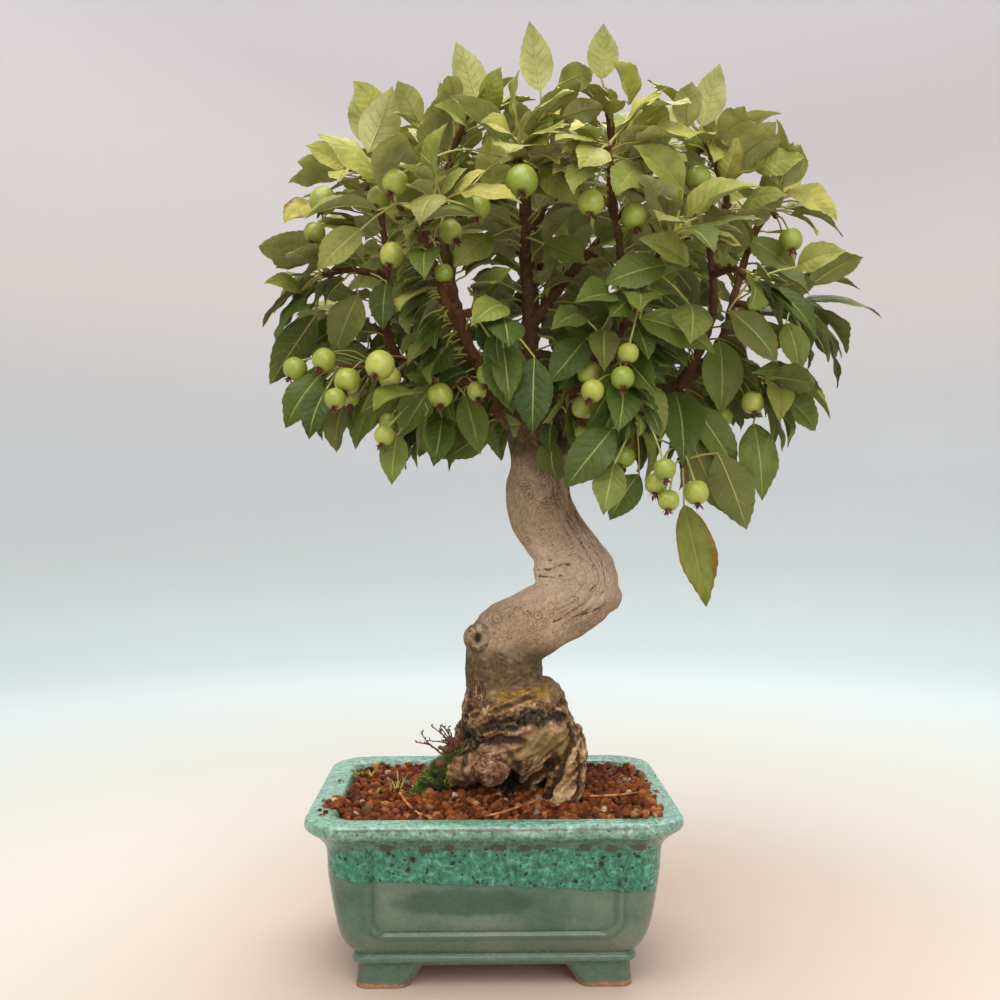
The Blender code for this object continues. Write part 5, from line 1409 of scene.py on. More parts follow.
def extra_bunches(planner, paths):
    """Single fruits that only the looks need, each moved along its line of sight to a free place."""
    found = []
    for x, y, z, diameter in EXTRA_FRUITS:
        best = None
        for step_back in SIGHT_STEPS:
            far = 1 + step_back / (y - CAMERA_PLACE[1])
            centre = Vector(CAMERA_PLACE).lerp(Vector((x, y, z)), far)
            fruit = (*centre, diameter)
            ball_mesh = ball(centre, diameter / 2 + 0.4, Vector((0, 0, 1)), 8, 6)
            if not planner.space.clear(*ball_mesh):
                continue
            spots = []
            for name, path in paths.items():
                for place in np.linspace(0.1, 0.95, 12):
                    point, _ = path_place(path, place)
                    if point.z > centre.z + 6:
                        spots.append(((point - centre).length, name, place))
            _, name, place = min(spots)
            discs = [np.array([v]) for v in (*seen_from_front([centre]), diameter / 2)]
            discs = (discs[0], discs[1], discs[3] / discs[2], discs[2])
            cover = sum(hides(leaf, discs) for leaves in planner.leaves.values() for leaf in leaves)
            if best is None or cover < best[0]:
                best = (cover, name, place, fruit, ball_mesh)
        if best:
            _, name, place, fruit, ball_mesh = best
            planner.space.add("fruit", *ball_mesh)
            found.append((name, place, fruit))
    return found


def dress_bunch(heap, path, place, fruits, spur, rng):
    """The fruits of a bunch on their stalks, and the spur that they hang from."""
    hub, way, hung = bunch_points(path, place, fruits)
    for centre, half, arrive, stalk in hung:
        dress_fruit(heap, centre, half, arrive, stalk, rng)
    line = [hub - way * (HUB_RADIUS + 1.2), hub - way * 0.8, hub + way * 0.6, hub + way * 1.5]
    heap.add(*rod(line, spur, SPUR_SIDES), 3, place=0.0, tone=0.5)


def make_extra_fruits(found, paths, materials):
    """The fruits that only the looks need, each on its stalk and spur."""
    rng = random.Random(SEED + 10)
    heap = Heap()
    for name, place, fruit in found:
        dress_bunch(heap, paths[name], place, [fruit], SLIM_SPUR, rng)
    piece = heap.piece("more_fruits", materials)


def make_fruits(paths, materials):
    """A piece for each bunch, with the spur that it hangs from."""
    rng = random.Random(SEED + 5)
    for name, (place, fruits) in BUNCHES.items():
        heap = Heap()
        dress_bunch(heap, paths[name], place, fruits, SPUR, rng)
        piece = heap.piece("fruit_bunch_" + name, materials)
        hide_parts("fruits_" + name)


def line_distance(x, z, points):
    """Distance in the X-Z plane from each place to a line through points."""
    best = np.full(len(x), 1e9)
    for (ax, az), (bx, bz) in zip(points, points[1:]):
        span = (bx - ax) ** 2 + (bz - az) ** 2
        t = np.clip(((x - ax) * (bx - ax) + (z - az) * (bz - az)) / span, 0, 1)
        best = np.minimum(best, np.hypot(x - ax - t * (bx - ax), z - az - t * (bz - az)))
    return best


def step(value, low, high):
    """Smooth step from 0 at low to 1 at high, or down when low is the higher."""
    t = np.clip((value - low) / (high - low), 0, 1)
    return t * t * (3 - 2 * t)


def grain_of(points):
    """Place of each point along its trunk or root, and two places around it, in millimetres."""
    best = np.full(len(points), 1e9)
    grain = np.zeros((len(points), 3))
    for number, line in enumerate([TRUNK, BASE] + ROOTS):
        path = np.array(smooth_path(line, 3))
        frames = path_frames(path)
        run = 0.0
        for i, (tangent, side, up) in enumerate(frames):
            if i:
                run += np.linalg.norm(path[i, :3] - path[i - 1, :3])
            off = points - path[i, :3]
            away = np.linalg.norm(off, axis=1) / path[i, 3] * (1.0 if number == 0 else 1.25)
            near = away < best
            best[near] = away[near]
            inner = off[near]
            grain[near, 0] = number * 400 + run + inner @ np.array(tangent)
            grain[near, 1] = inner @ np.array(side)
            grain[near, 2] = inner @ np.array(up)
    return grain


def patch_of(x, z, spots, ragged):
    """Share, 0 to 1, of the nearest of some ragged oval patches, each (x, z, half width, half height)."""
    best = np.zeros(len(x))
    for sx, sz, half_x, half_z in spots:
        away = np.hypot((x - sx) / half_x, (z - sz) / half_z) + ragged
        best = np.maximum(best, step(away, 1.15, 0.75))
    return best


def carve_knots(x, z, normals, fine):
    """Knots in the fine relief, with their holes and each point's place in its nearest knot."""
    hole = np.zeros(len(x))
    knot = np.zeros((len(x), 3))
    knot[:, 0] = 9.0
    nearest = np.full(len(x), 9.0)
    for sign, kx, kz, half_x, half_z, depth, rim in KNOTS:
        front = step(normals[:, 1] * sign, *FRONT_FACING)
        u, v = (x - kx) / half_x, (z - kz) / half_z
        e = np.hypot(u, v)
        fade = step(e, 2.0, 1.2) * front
        fine = fine * (1 - fade) + hump(e - 1, 0.32) * front * rim
        fine -= step(e, 0.85, 0.3) * front * depth
        hole = np.maximum(hole, step(e, 0.8, 0.4) * front * (depth > 1.0))
        near = (e < nearest) & (front > 0.2)
        nearest[near] = e[near]
        knot[near] = np.stack([u, v, front * min(1.0, 0.55 + depth / 3)], 1)[near]
    return fine, hole, knot


def carve_lines(points, normals, fine, streak, base, facing):
    """Folds and cracks in the fine relief, with the distance from the nearest crack."""
    x, _, z = points.T
    for sign, wx, wz, radius, (dx, dz), pitch, depth in WRINKLES:
        front = step(normals[:, 1] * sign, 0.0, 0.4)
        reach = np.exp(-((np.hypot(x - wx, z - wz) / radius) ** 4)) * front
        run = (x * dx + z * dz) / pitch + 0.9 * field(points, 0.13, 20.0 + wx)
        fine += reach * depth * np.sin(math.tau * run) * (0.4 + 1.2 * abs(streak))
    crack = np.full(len(points), 9.0)
    for line, width, depth in CRACKS:
        gap = line_distance(x, z, line) + (0.7 + 0.5 * base) * field(points, 0.3, 30.0)
        gap = abs(gap) / width + 9.0 * (1 - facing)
        fine -= depth * np.exp(-(gap**2))
        crack = np.minimum(crack, gap)
    return fine, crack


def sculpt(points, normals):
    """How far the skin stands out at each point, with what its material reads there."""
    x, y, z = points.T
    grain = grain_of(points)
    facing = step(-normals[:, 1], *FRONT_FACING)
    base = step(z + 5 * field(points, 0.09, 33.0), *BASE_TOP)
    flow = step(line_distance(x, z, FLOW_LINE) + 3 * field(points, 0.1, 35.0), 12.0, 5.0)
    streak = field(grain, (0.03, 0.42, 0.42))
    height = 0.8 * field(points, 0.055) + 0.4 * field(points, 0.14, 5.0)
    long_root = hump(line_distance(x, z, LONG_ROOT), 8.5)
    gully = hump(line_distance(x, z, GULLY), 3.0)
    height += base * facing * (2.8 * long_root - 2.0 * gully)
    fine = (0.15 + 0.75 * flow) * streak + 0.16 * field(points, 0.6, 12.0)
    slant = np.stack([0.9 * x + 0.43 * z, y, 0.9 * z - 0.43 * x], 1)
    steep = np.stack([0.7 * x + 0.7 * z, y, 0.7 * z - 0.7 * x], 1)
    lobe = step(x, 16.0, 26.0)
    folds = (1 - lobe) * field(slant, (0.04, 0.13, 0.36), 200.0)
    folds += lobe * field(steep, (0.04, 0.12, 0.3), 210.0)
    ridge = 1 - 2.6 * abs(folds)
    crag = 1 - 2.2 * abs(field(points, 0.2, 40.0))
    small = 1 - 2.2 * abs(field(points, 0.5, 45.0))
    craggy = 0.9 * (ridge - 0.55) + 0.55 * (crag - 0.55) + 0.45 * (small - 0.55)
    craggy += 0.3 * field(points, 0.9, 50.0)
    fine += base * (1 - 0.45 * long_root * facing) * craggy

    fine, hole, knot = carve_knots(x, z, normals, fine)
    fine, crack = carve_lines(points, normals, fine, streak, base, facing)

    crumbs = patch_of(x, z, CRUMBS, 0.8 * field(points, 0.14, 60.0)) * facing
    fine += crumbs * (1.4 * field(points, 0.42, 70.0) + 1.0 * field(points, 0.9, 72.0) + 0.6)
    slot = patch_of(x, z, [SLOT], 0.5 * field(points, 0.2, 65.0)) * facing
    fine += slot * (0.9 * np.sin(x * 2.1 + 3 * field(points, 0.15, 66.0)) - 1.6)
    ochre = step(line_distance(x, z, OCHRE_BAND) + 4 * field(points, 0.2, 80.0), 5.0, 1.5) * facing
    olive = step(line_distance(x, z, OLIVE) + 4 * field(points, 0.15, 82.0), 9.0, 3.0) * facing
    burl = np.linalg.norm(points - PALE_BURL, axis=1)
    pale = step(burl + 3 * field(points, 0.2, 90.0), 13.5, 9.0)
    worm = np.sin(math.tau * (0.42 * burl + 2.2 * field(points, 0.26, 92.0)))
    fine = fine * (1 - 0.4 * pale) + pale * (0.4 * worm + 0.5 * field(points, 0.22, 93.0) - 0.5)
    hollow = patch_of(x, z, HOLLOWS, 0.6 * field(points, 0.16, 94.0)) * facing
    fine -= 2.4 * hollow * (1 - pale)
    # rim: a ring round the pale burl, painted dark later as painted shade where the burl meets the trunk.
    rim = step(burl, 12.0, 13.5) * step(burl, 17.0, 14.5) * facing
    # hole: knot holes and hollows, painted near black later as painted shade.
    hole = np.maximum(hole, hollow * (1 - pale))
    # upper: the top of the trunk from about 258 mm up, painted dark later as painted shade under the canopy.
    upper = step(z + 8 * field(points, 0.1, 95.0), *SHADED_TOP)
    neck = step(abs(z - NECK) + 6 * field(points, 0.12, 97.0), 20.0, 6.0) * (1 - 0.5 * base)
    return height + fine, {
        "grain": grain,
        # Ochre; the dark crumbs together with painted shade round the burl; the pale burl.
        "stains_and_shade": np.stack([ochre, np.maximum(crumbs, 0.8 * rim * (1 - pale)), pale], 1),
        "mark": np.stack([hole, neck, upper], 1),
        "zones": np.stack([base, slot, olive], 1),
        "lines": np.stack([crack, flow, fine], 1),
        "knot": knot,
        # The long root's own paler skin; the right lobe painted paler, partly its own colour and partly
        # painted light where it falls in shade; facing.
        "pale_and_lit": np.stack([base * long_root * facing, base * lobe * facing * step(z, 122.0, 116.0), facing],
                          1),
    }


def make_wood(bark):
    """Trunk with its roots, burls, stub and the flared starts of its limbs, as one skin."""
    verts, faces = [], []
    meshes = wood_tubes(SHOULDER) + [tube(smooth_path(STUB, 4), 12)]
    for name in TRUNK_LIMBS:
        first, second = (np.array(p, dtype=float) for p in BRANCHES[name][:2])
        middle = first[:3] * 0.4 + second[:3] * 0.6
        flare = [np.append(first[:3], first[3] * 1.6), np.append(middle, second[3] * 1.12)]
        meshes.append(tube(flare, 10))
    for v, f in meshes:
        count = len(verts)
        verts.extend(v)
        faces.extend(tuple(i + count for i in face) for face in f)
    mesh = bpy.data.meshes.new("wood")
    mesh.from_pydata([tuple(c * MM for c in v) for v in verts], [], faces)
    obj = add_object("trunk_wood", mesh)
    blend = obj.modifiers.new("blend", "REMESH")
    blend.mode = "VOXEL"
    blend.voxel_size = WOOD_VOXEL * MM
    smooth = obj.modifiers.new("smooth", "SMOOTH")
    smooth.iterations = WOOD_SMOOTHS
    smooth.factor = 0.5
    graph = bpy.context.evaluated_depsgraph_get()
    skin_mesh = bpy.data.meshes.new_from_object(obj.evaluated_get(graph))
    bpy.data.objects.remove(obj)
    points, normals = point_array(skin_mesh, "co") / MM, point_array(skin_mesh, "normal")
    height, values = sculpt(points, normals)
    height *= step(points[:, 2], *BURIED)
    points = points + normals * height[:, None]
    place_points(skin_mesh, points)
    for key, array in values.items():
        add_value(skin_mesh, key, array)
    add_value(skin_mesh, "age", np.ones(len(points)))
    piece = dress("trunk_wood", skin_mesh, [bark], 80.0)
    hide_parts("trunk")
    corners = [tuple(p) for p in points]
    return BVHTree.FromPolygons(corners, [tuple(p.vertices) for p in skin_mesh.polygons])


def spread(low, high, pitch, fine, places, reach):
    """Places from low to high, a pitch apart, and finer near the given places."""
    spots = [low]
    while spots[-1] < high:
        near = any(abs(spots[-1] - p) < reach for p in places)
        spots.append(spots[-1] + (fine if near else pitch))
    return np.array(spots[:-1])


def fine_outline(offset):
    """Outline of the pot at an offset, as points and outward directions, finer near the frames."""
    corner = max(POT_CORNER_LEAST, POT_CORNER + offset * POT_CORNER_SHARE)
    half = (POT_HALF_X + offset, POT_HALF_Y + offset)
    spans = {}
    for i, panel in ((0, PANEL_HALF["front"]), (1, PANEL_HALF["side"])):
        flat = (POT_HALF_X, POT_HALF_Y)[i] - POT_CORNER
        places = spread(-flat, flat, 2.6, 0.6, (-panel, panel), 3.0)
        spans[i] = places / flat * (half[i] - corner)
    points, outward = [], []
    for quarter in range(4):
        angle = math.pi / 2 * (quarter + np.arange(11) / 10)
        sx, sy = ((1, 1), (-1, 1), (-1, -1), (1, -1))[quarter]
        arc = np.stack([np.cos(angle), np.sin(angle)], 1)
        points.append(np.array([sx * (half[0] - corner), sy * (half[1] - corner)]) + corner * arc)
        outward.append(arc)
        i = quarter % 2
        run = -spans[i][1:] if quarter in (0, 1) else spans[i][1:]
        if i == 0:
            line = np.stack([run, np.full(len(run), sy * half[1])], 1)
            way = (0.0, float(sy))
        else:
            line = np.stack([np.full(len(run), sx * half[0]), run], 1)
            way = (float(sx), 0.0)
        points.append(line)
        outward.append(np.broadcast_to(way, line.shape))
    return np.concatenate(points), np.concatenate(outward)


def rounded_distance(x, y, half_x, half_y, corner):
    """Distance of places outside a rectangle with round corners, negative inside."""
    qx, qy = abs(x) - (half_x - corner), abs(y) - (half_y - corner)
    return np.hypot(np.maximum(qx, 0), np.maximum(qy, 0)) + np.minimum(np.maximum(qx, qy), 0) - corner


def outline_distance(x, y):
    """Distance of places outside the pot's body outline, from above."""
    return rounded_distance(x, y, POT_HALF_X, POT_HALF_Y, POT_CORNER)


def panel_distance(u, z, half):
    """Distance of places on a wall outside its frame's edge line."""
    mid, tall = (PANEL_BOTTOM + PANEL_TOP) / 2, (PANEL_TOP - PANEL_BOTTOM) / 2
    return rounded_distance(u, z - mid, half, tall, PANEL_CORNER)


def pot_rings():
    """Rings of the pot from its underside over the rim to its floor, with the raised frame on each wall."""
    profile = POT_INSIDE + POT_RIM + POT_BODY + POT_ROLL
    profile = smooth_path([(a, b, 0) for a, b in profile[::-1]], 5)
    rings = []
    for offset, height, _ in profile:
        flat, _ = fine_outline(offset)
        rings.append(np.column_stack([flat, np.full(len(flat), height)]))
    rings = np.array(rings)
    lip = max(range(len(profile)), key=lambda i: profile[i][0])
    _, outward = fine_outline(0.0)
    for i in range(lip):
        x, y, z = rings[i].T
        front = abs(outward[:, 1]) > 0.999
        side = abs(outward[:, 0]) > 0.999
        distance = np.full(len(x), 30.0)
        distance[front] = panel_distance(x[front], z[front], PANEL_HALF["front"])
        distance[side] = panel_distance(y[side], z[side], PANEL_HALF["side"])
        relief = 0.9 * hump(distance, 1.1) - 0.8 * hump(distance + GROOVE_INSIDE, 1.0)
        relief = relief - 0.5 * hump(distance - GROOVE_OUTSIDE, 0.8)
        relief = relief * step(z, *FRAME_FADES) * step(z, 22.0, 24.0)
        relief = relief + 0.22 * field(rings[i], 0.06) * step(z, 18.0, 26.0)
        rings[i, :, :2] += outward * relief[:, None]
    return rings


def pot_marks(points):
    """Shares of bare patches, worn edges, grooves and outer wall at each point."""
    x, y, z = points.T
    patch = np.zeros(len(points))
    for px, pz, size in PATCHES:
        for u in (np.where(y < 0, x, -x), np.where(x < 0, y * 1.35, -y * 1.35)):
            patch = np.maximum(patch, np.exp(-(((u - px) / size) ** 2) - ((z - pz) / 2.8) ** 2))
    offset = outline_distance(x, y)
    edge = hump(offset - 11.3, 1.3) * hump(z - 86.8, 1.4)
    edge = np.maximum(edge, 0.9 * hump(offset + 2.4, 0.9) * step(z, 85.0, 86.5))
    front = abs(y) > abs(x) - (POT_HALF_X - POT_HALF_Y)
    distance = np.where(front, panel_distance(x, z, PANEL_HALF["front"]),
                        panel_distance(y, z, PANEL_HALF["side"]))
    frame_lines = hump(distance + GROOVE_INSIDE, 0.9) + 0.8 * hump(distance - GROOVE_OUTSIDE, 0.8)
    groove = frame_lines * step(z, *FRAME_FADES) * step(z, 21.0, 25.0)
    groove = np.maximum(groove, hump(z - 17.5, 0.8))
    body = sorted((height, out) for out, height in POT_BODY + POT_RIM[-2:])
    outer_offset = np.interp(z, [b[0] for b in body], [b[1] for b in body])
    wall = 1.0 - step(outer_offset - offset, 3.0, 4.0) * (z > POT_FLOOR - 0.1)
    return patch, edge, groove, wall


def make_pot(glaze):
    """Pot with a low raised frame on each wall, four feet and two drainage holes."""
    rings = pot_rings()
    low, high = np.array([0, 0, POT_UNDERSIDE]), np.array([0, 0, POT_FLOOR])
    pot = solid("pot_glazed", skin(rings, low, high))
    tools = []
    for sx in (-1, 1):
        for sy in (-1, 1):
            tools.append((solid("foot", fine_foot(sx, sy)), "UNION"))
        drill = [(sx * DRAIN_X, 0, z) for z in (POT_UNDERSIDE - 6, POT_FLOOR + 6)]
        tools.append((solid("drill", rod(drill, DRAIN_RADIUS, 40)), "DIFFERENCE"))
    for tool, operation in tools:
        cut = pot.modifiers.new(operation.lower(), "BOOLEAN")
        cut.operation = operation
        cut.object = tool
    graph = bpy.context.evaluated_depsgraph_get()
    mesh = bpy.data.meshes.new_from_object(pot.evaluated_get(graph))
    for tool, _ in tools:
        bpy.data.objects.remove(tool)
    bpy.data.objects.remove(pot)
    points = point_array(mesh, "co") / MM
    place_points(mesh, points)
    patch, edge, groove, wall = pot_marks(points)
    add_value(mesh, "finish", np.stack([patch, edge, groove], 1))
    add_value(mesh, "plan", points)
    add_value(mesh, "outside", wall)
    piece = dress("pot_glazed", mesh, [glaze], 50.0)
    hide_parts("pot")


def solid(name, parts):
    """Closed helper object from points and faces in millimetres."""
    verts, arrays = parts
    mesh = bpy.data.meshes.new(name)
    faces = [tuple(face) for array in arrays for face in array.tolist()]
    mesh.from_pydata([tuple(v) for v in (verts * MM)], [], faces)
    return add_object(name, mesh)


def fine_foot(sign_x, sign_y):
    """Corner foot, flared where it meets the pot."""
    rings = []
    for t in np.concatenate([[0.0, 0.02], np.linspace(0.06, 1.0, 14)]):
        ease = t**FOOT_FLARE
        size = [FOOT_SIZE[i] + (FOOT_TOP_SIZE[i] - FOOT_SIZE[i]) * ease for i in (0, 1)]
        centre = [sign * (FOOT_OUTER[i] - FOOT_WAIST * math.sin(math.pi * t) - size[i] / 2)
                  for i, sign in ((0, sign_x), (1, sign_y))]
        corner = FOOT_CORNER
        angle = math.tau * (np.arange(FOOT_SIDES) + 0.5) / FOOT_SIDES
        cx, cy = size[0] / 2 - corner, size[1] / 2 - corner
        shrink = 0.6 if t == 0 else 0.0
        px = np.sign(np.cos(angle)) * cx + (corner - shrink) * np.cos(angle)
        py = np.sign(np.sin(angle)) * cy + (corner - shrink) * np.sin(angle)
        rings.append(np.column_stack([centre[0] + px, centre[1] + py, np.full(FOOT_SIDES, FOOT_TOP * t)]))
    start, end = rings[0].mean(axis=0), rings[-1].mean(axis=0)
    return skin(rings, start, end)


def soil_height(x, y):
    """Height of the mounded soil, as in the source."""
    reach = min(1.0, math.hypot(x / POT_HALF_X, y / POT_HALF_Y))
    mound = SOIL_MOUND * (1 - reach**2)
    grain = noise.noise(Vector((x * SOIL_GRAIN_SCALE, y * SOIL_GRAIN_SCALE, 3.0)))
    return SOIL_EDGE + mound + SOIL_GRAIN * grain


def lump_shapes(count, seed, level=2):
    """Angular closed lumps about one across, as (points, triangles)."""
    rng = random.Random(seed)
    shapes = []
    for _ in range(count):
        bm = bmesh.new()
        bmesh.ops.create_icosphere(bm, subdivisions=level, radius=0.5)
        shift = Vector((rng.uniform(0, 90), rng.uniform(0, 90), rng.uniform(0, 90)))
        for vert in bm.verts:
            way = vert.co.normalized()
            vert.co *= 1 + 0.34 * noise.noise(way * 1.3 + shift) + 0.2 * noise.noise(way * 3.1 + shift)
            vert.co.z *= 0.8
        bm.verts.ensure_lookup_table()
        points = np.array([tuple(v.co) for v in bm.verts])
        faces = np.array([[v.index for v in f.verts] for f in bm.faces])
        bm.free()
        shapes.append((points, faces))
    return shapes


def turned(points, rng):
    """Points turned to a random way."""
    matrix = np.linalg.qr(np.array([[rng.gauss(0, 1) for _ in range(3)] for _ in range(3)]))[0]
    if np.linalg.det(matrix) < 0:
        matrix[0] = -matrix[0]
    return points @ matrix


def inside_pot(x, y, offset):
    """True inside the pot's outline at an offset from its half sizes."""
    corner = max(POT_CORNER_LEAST, POT_CORNER + offset * POT_CORNER_SHARE)
    return rounded_distance(x, y, POT_HALF_X + offset, POT_HALF_Y + offset, corner) < 0


def granule_spots(rng):
    """Places and sizes of the granules in layers, in heaps at the sides, and of crumbs on the rim."""
    spots = []
    for pitch, low, high, sink in GRANULE_LAYERS:
        for i in range(-GRANULE_ROWS, GRANULE_ROWS + 1):
            for j in range(-GRANULE_COLUMNS, GRANULE_COLUMNS + 1):
                x = i * pitch + rng.uniform(-0.5, 0.5) * pitch
                y = j * pitch + rng.uniform(-0.5, 0.5) * pitch
                size = rng.uniform(low, high)
                if inside_pot(x, y, WALL_GAP - size / 3):
                    spots.append((x, y, granule_height(x, y) - sink + rng.uniform(-0.7, 0.8), size))
    for hx, hy, radius, rise in SOIL_HEAPS:
        for _ in range(HEAP_GRAINS):
            turn, out = rng.uniform(0, math.tau), radius * math.sqrt(rng.random())
            x, y, size = hx + out * math.cos(turn), hy + out * math.sin(turn), rng.uniform(2.4, 4.8)
            if inside_pot(x, y, rng.uniform(-6.0, 3.0)):
                z = granule_height(x, y) + rise * (1 - out / radius) * rng.uniform(0.4, 1.0)
                if not inside_pot(x, y, RIM_INSIDE):
                    z = max(z, RIM_TOP + size * 0.25)
                spots.append((x, y, z, size))
    for x, y, size in RIM_CRUMBS:
        spots.append((x, y, RIM_TOP + size * 0.2, size))
    for x, y, size in RIM_CRUMBS:
        for _ in range(CRUMBS_ABOUT):
            away = (x + rng.gauss(0, 2.5), y + rng.gauss(0, 2.5))
            crumb = size * rng.uniform(0.3, 0.6)
            spots.append((*away, RIM_TOP + crumb * 0.2, crumb))
    return spots


def make_granules(wood, soil_paint):
    """Fired clay granules over the soil, clear of the roots."""
    rng = random.Random(SEED + 6)
    fine_shapes, plain_shapes = lump_shapes(8, SEED), lump_shapes(8, SEED + 1, 1)
    heap = Heap()
    spots = granule_spots(rng)
    for x, y, z, size in spots:
        place, normal, _, _ = wood.find_nearest(Vector((x, y, z)))
        gap = (Vector((x, y, z)) - place).dot(normal)
        if gap < size * 0.1:
            continue
        points, faces = rng.choice(fine_shapes if size > FINE_GRANULE and z > SOIL_EDGE else plain_shapes)
        on_rim = z > RIM_TOP - 1
        tone = rng.uniform(0.75, 0.98) if on_rim and rng.random() < 0.6 else rng.random()
        heap.add(turned(points, rng) * size + (x, y, z), [faces], 0, tone=tone)
    piece = heap.piece("soil_granules", [soil_paint], 40.0)


def granule_height(x, y):
    """Height of the top layer of granules, which climbs to the rim at the wall."""
    wall = float(outline_distance(x, y)) - POT_INSIDE[-1][0]
    return soil_height(x, y) + 0.5 + 1.9 * hump(wall, 6.0)


def on_soil(x, y, above):
    """A point that far above the granules."""
    return np.array([x, y, granule_height(x, y) + above])


def make_litter(leaf_paints, stalk_paint):
    """Fallen stalks, a few grass blades and small weeds on the soil."""
    rng = random.Random(SEED + 7)
    heap = Heap()
    green = {"blade": (0.0, 0.5, 1.0), "tone": (0.4, 0.5, 0.3)}
    for line, radius in FALLEN_STALKS:
        points = [on_soil(x, y, above) for x, y, above in line]
        run = np.array(smooth_path(points, 6))
        radii = np.full(len(run), radius)
        radii[-2:] = radius * 1.7
        heap.add(*rod(run, radii, 6), 3, **green)
    for _ in range(GRASS_BLADES):
        x, y = rng.gauss(GRASS_X, 2.5), rng.gauss(0, 3)
        lean = np.array([rng.gauss(0, 2.2), rng.gauss(-1, 2), rng.uniform(6, 12)])
        start = on_soil(x, y, -1.0)
        blade = [start, start + lean * 0.5 + (0, 0, 0.8), start + lean]
        heap.add(*rod(blade, (0.45, 0.4, 0.1), 4), 2, **green)
    for x, y, count, reach in WEEDS:
        start = on_soil(x, y, 0.0)
        for _ in range(count):
            turn = rng.uniform(0, math.tau)
            out = np.array([math.cos(turn), math.sin(turn), 0])
            base = start + out * reach * 0.5 + (0, 0, rng.uniform(1.0, 4.5))
            tip = base + out * rng.uniform(0.7, 1.2) * reach + (0, 0, rng.uniform(-0.5, 1.5))
            dress_leaf(heap, start, base, tip, (0, 0, 1), rng, 0.6, WEED_ROWS)
    piece = heap.piece("soil_litter", leaf_paints + [stalk_paint])


def make_moss(wood, paint):
    """Moss in short pointed shoots, over cushions at the left root and over the wood near them."""
    rng = random.Random(SEED + 8)
    heap = Heap()
    shapes = lump_shapes(4, SEED + 8)
    shoots = []
    for x, y, z, radius in MOSS_CUSHIONS:
        centre = np.array([x, y, z])
        points, faces = rng.choice(shapes)
        heap.add(turned(points, rng) * radius * 2.1 + centre, [faces], 0, tone=0.0)
        for _ in range(int(MOSS_DENSITY * radius**2)):
            way = unit([rng.gauss(0, 1), rng.gauss(0, 1), abs(rng.gauss(0, 1))])
            shoots.append((centre + way * radius * 0.92, way))
    for x, y, z, radius, count in MOSS:
        for _ in range(count):
            way = unit([rng.gauss(0, 1) for _ in range(3)])
            spot = np.array([x, y, z]) + way * radius * rng.random() ** 0.5
            place, normal, _, _ = wood.find_nearest(Vector(spot))
            if np.linalg.norm(np.array(place) - (x, y, z)) < radius and place[2] > SOIL_EDGE:
                shoots.append((np.array(place), np.array(normal)))
    for place, normal in shoots:
        out = unit(normal + np.array([rng.gauss(0, 0.4), rng.gauss(0, 0.4), rng.gauss(0.4, 0.4)]))
        tall = rng.uniform(1.0, 2.6)
        shoot = [place - normal * 0.4, place + out * tall]
        heap.add(*rod(shoot, (rng.uniform(0.35, 0.6), 0.1), 4), 0, tone=rng.random())
    piece = heap.piece("moss", [paint])


def make_dead_wood(bark):
    """A tuft of dead twigs and the broken stubs at the left of the base."""
    rng = random.Random(SEED + 9)
    heap = Heap()
    for start, end, radius in DEAD_STUBS:
        middle = np.array(start) * 0.5 + np.array(end) * 0.5 + (0, 0, 0.6)
        line = [(*start, radius), (*middle, radius * 0.9), (*end, radius * 0.8)]
        knobby_rod(heap, np.array(smooth_path(line, 6)), 9, rng, 0.5, 0.0)
    for _ in range(DEAD_TWIGS):
        start = np.array(TUFT) + (rng.gauss(0, 2.5), rng.gauss(0, 2.5), rng.gauss(0, 2))
        end = start + (rng.uniform(-15, 1), rng.uniform(-6, 4), rng.uniform(4, 15))
        middle = (start + end) / 2 + (rng.gauss(0, 1.5), rng.gauss(0, 1.5), rng.gauss(0, 1.5))
        line = np.array(smooth_path([(*start, 0.55), (*middle, 0.4), (*end, 0.25)], 4))
        heap.add(*rod(line, line[:, 3], 5), 0, age=0.0, **YOUNG_SKIN)
        for point in line[3:]:
            side = point[:3] + (rng.gauss(0, 1.2), rng.gauss(0, 1.2), rng.uniform(0.2, 1.8))
            bud = [point[:3], (point[:3] + side) / 2, side]
            heap.add(*rod(bud, (0.3, 0.5, 0.2), 4), 0, age=0.0, **YOUNG_SKIN)
    piece = heap.piece("dead_wood", [bark])


def moss_green():
    """Bright moss, each shoot of its own green."""
    p = Paint("moss_green", 0.9)
    colour = p.ramp(p.value("tone"), [(0.0, (40, 48, 12)), (0.5, (92, 112, 26)), (1.0, (150, 162, 48))])
    colour = p.mix(p.remap(p.noise(300, 3), 0.4, 0.7), colour, (64, 78, 20))
    return p.finish(colour, p.relief(p.noise(1500, 3), 0.0002))


def glaze_body(p, x, z, fine):
    """Grey-green glaze of the body, darker in the panel's middle, the foot edge and the feet."""
    cloud = p.noise(17, 5, 0.6)
    body = p.ramp(p.plus(cloud, p.times(p.minus(fine, 0.5), 0.14)),
                  [(0.36, (50, 82, 66)), (0.47, (72, 98, 82)), (0.57, (92, 110, 92)),
                   (0.68, (110, 122, 104))])
    body = p.mix(p.remap(p.noise(1100, 4, 0.7), 0.5, 0.7, 0, 0.22), body, (128, 138, 118))
    low = p.remap(z, 40, 22)
    body = p.tint(body, (108, 118, 100), low, 0.45)
    shade_x, shade_z = p.times(p.plus(x, 12.0), 0.028), p.times(p.minus(z, 47.0), 0.13)
    shade = p.reach(shade_x, shade_z)
    shade = p.plus(shade, p.wobble(1.2, 50, 3))
    body = p.mix(p.remap(shade, 1.15, 0.7, 0, 0.75), body, (40, 74, 58))
    pool = p.times(p.remap(z, 18.2, 16.6), p.remap(z, 11.6, 12.6))
    body = p.tint(body, p.mix(fine, (50, 84, 66), (96, 128, 104)), pool, 0.8)
    foot = p.mix(fine, (48, 76, 60), (92, 112, 92))
    body = p.mix(p.remap(z, 12.6, 11.4), body, foot)
    return body


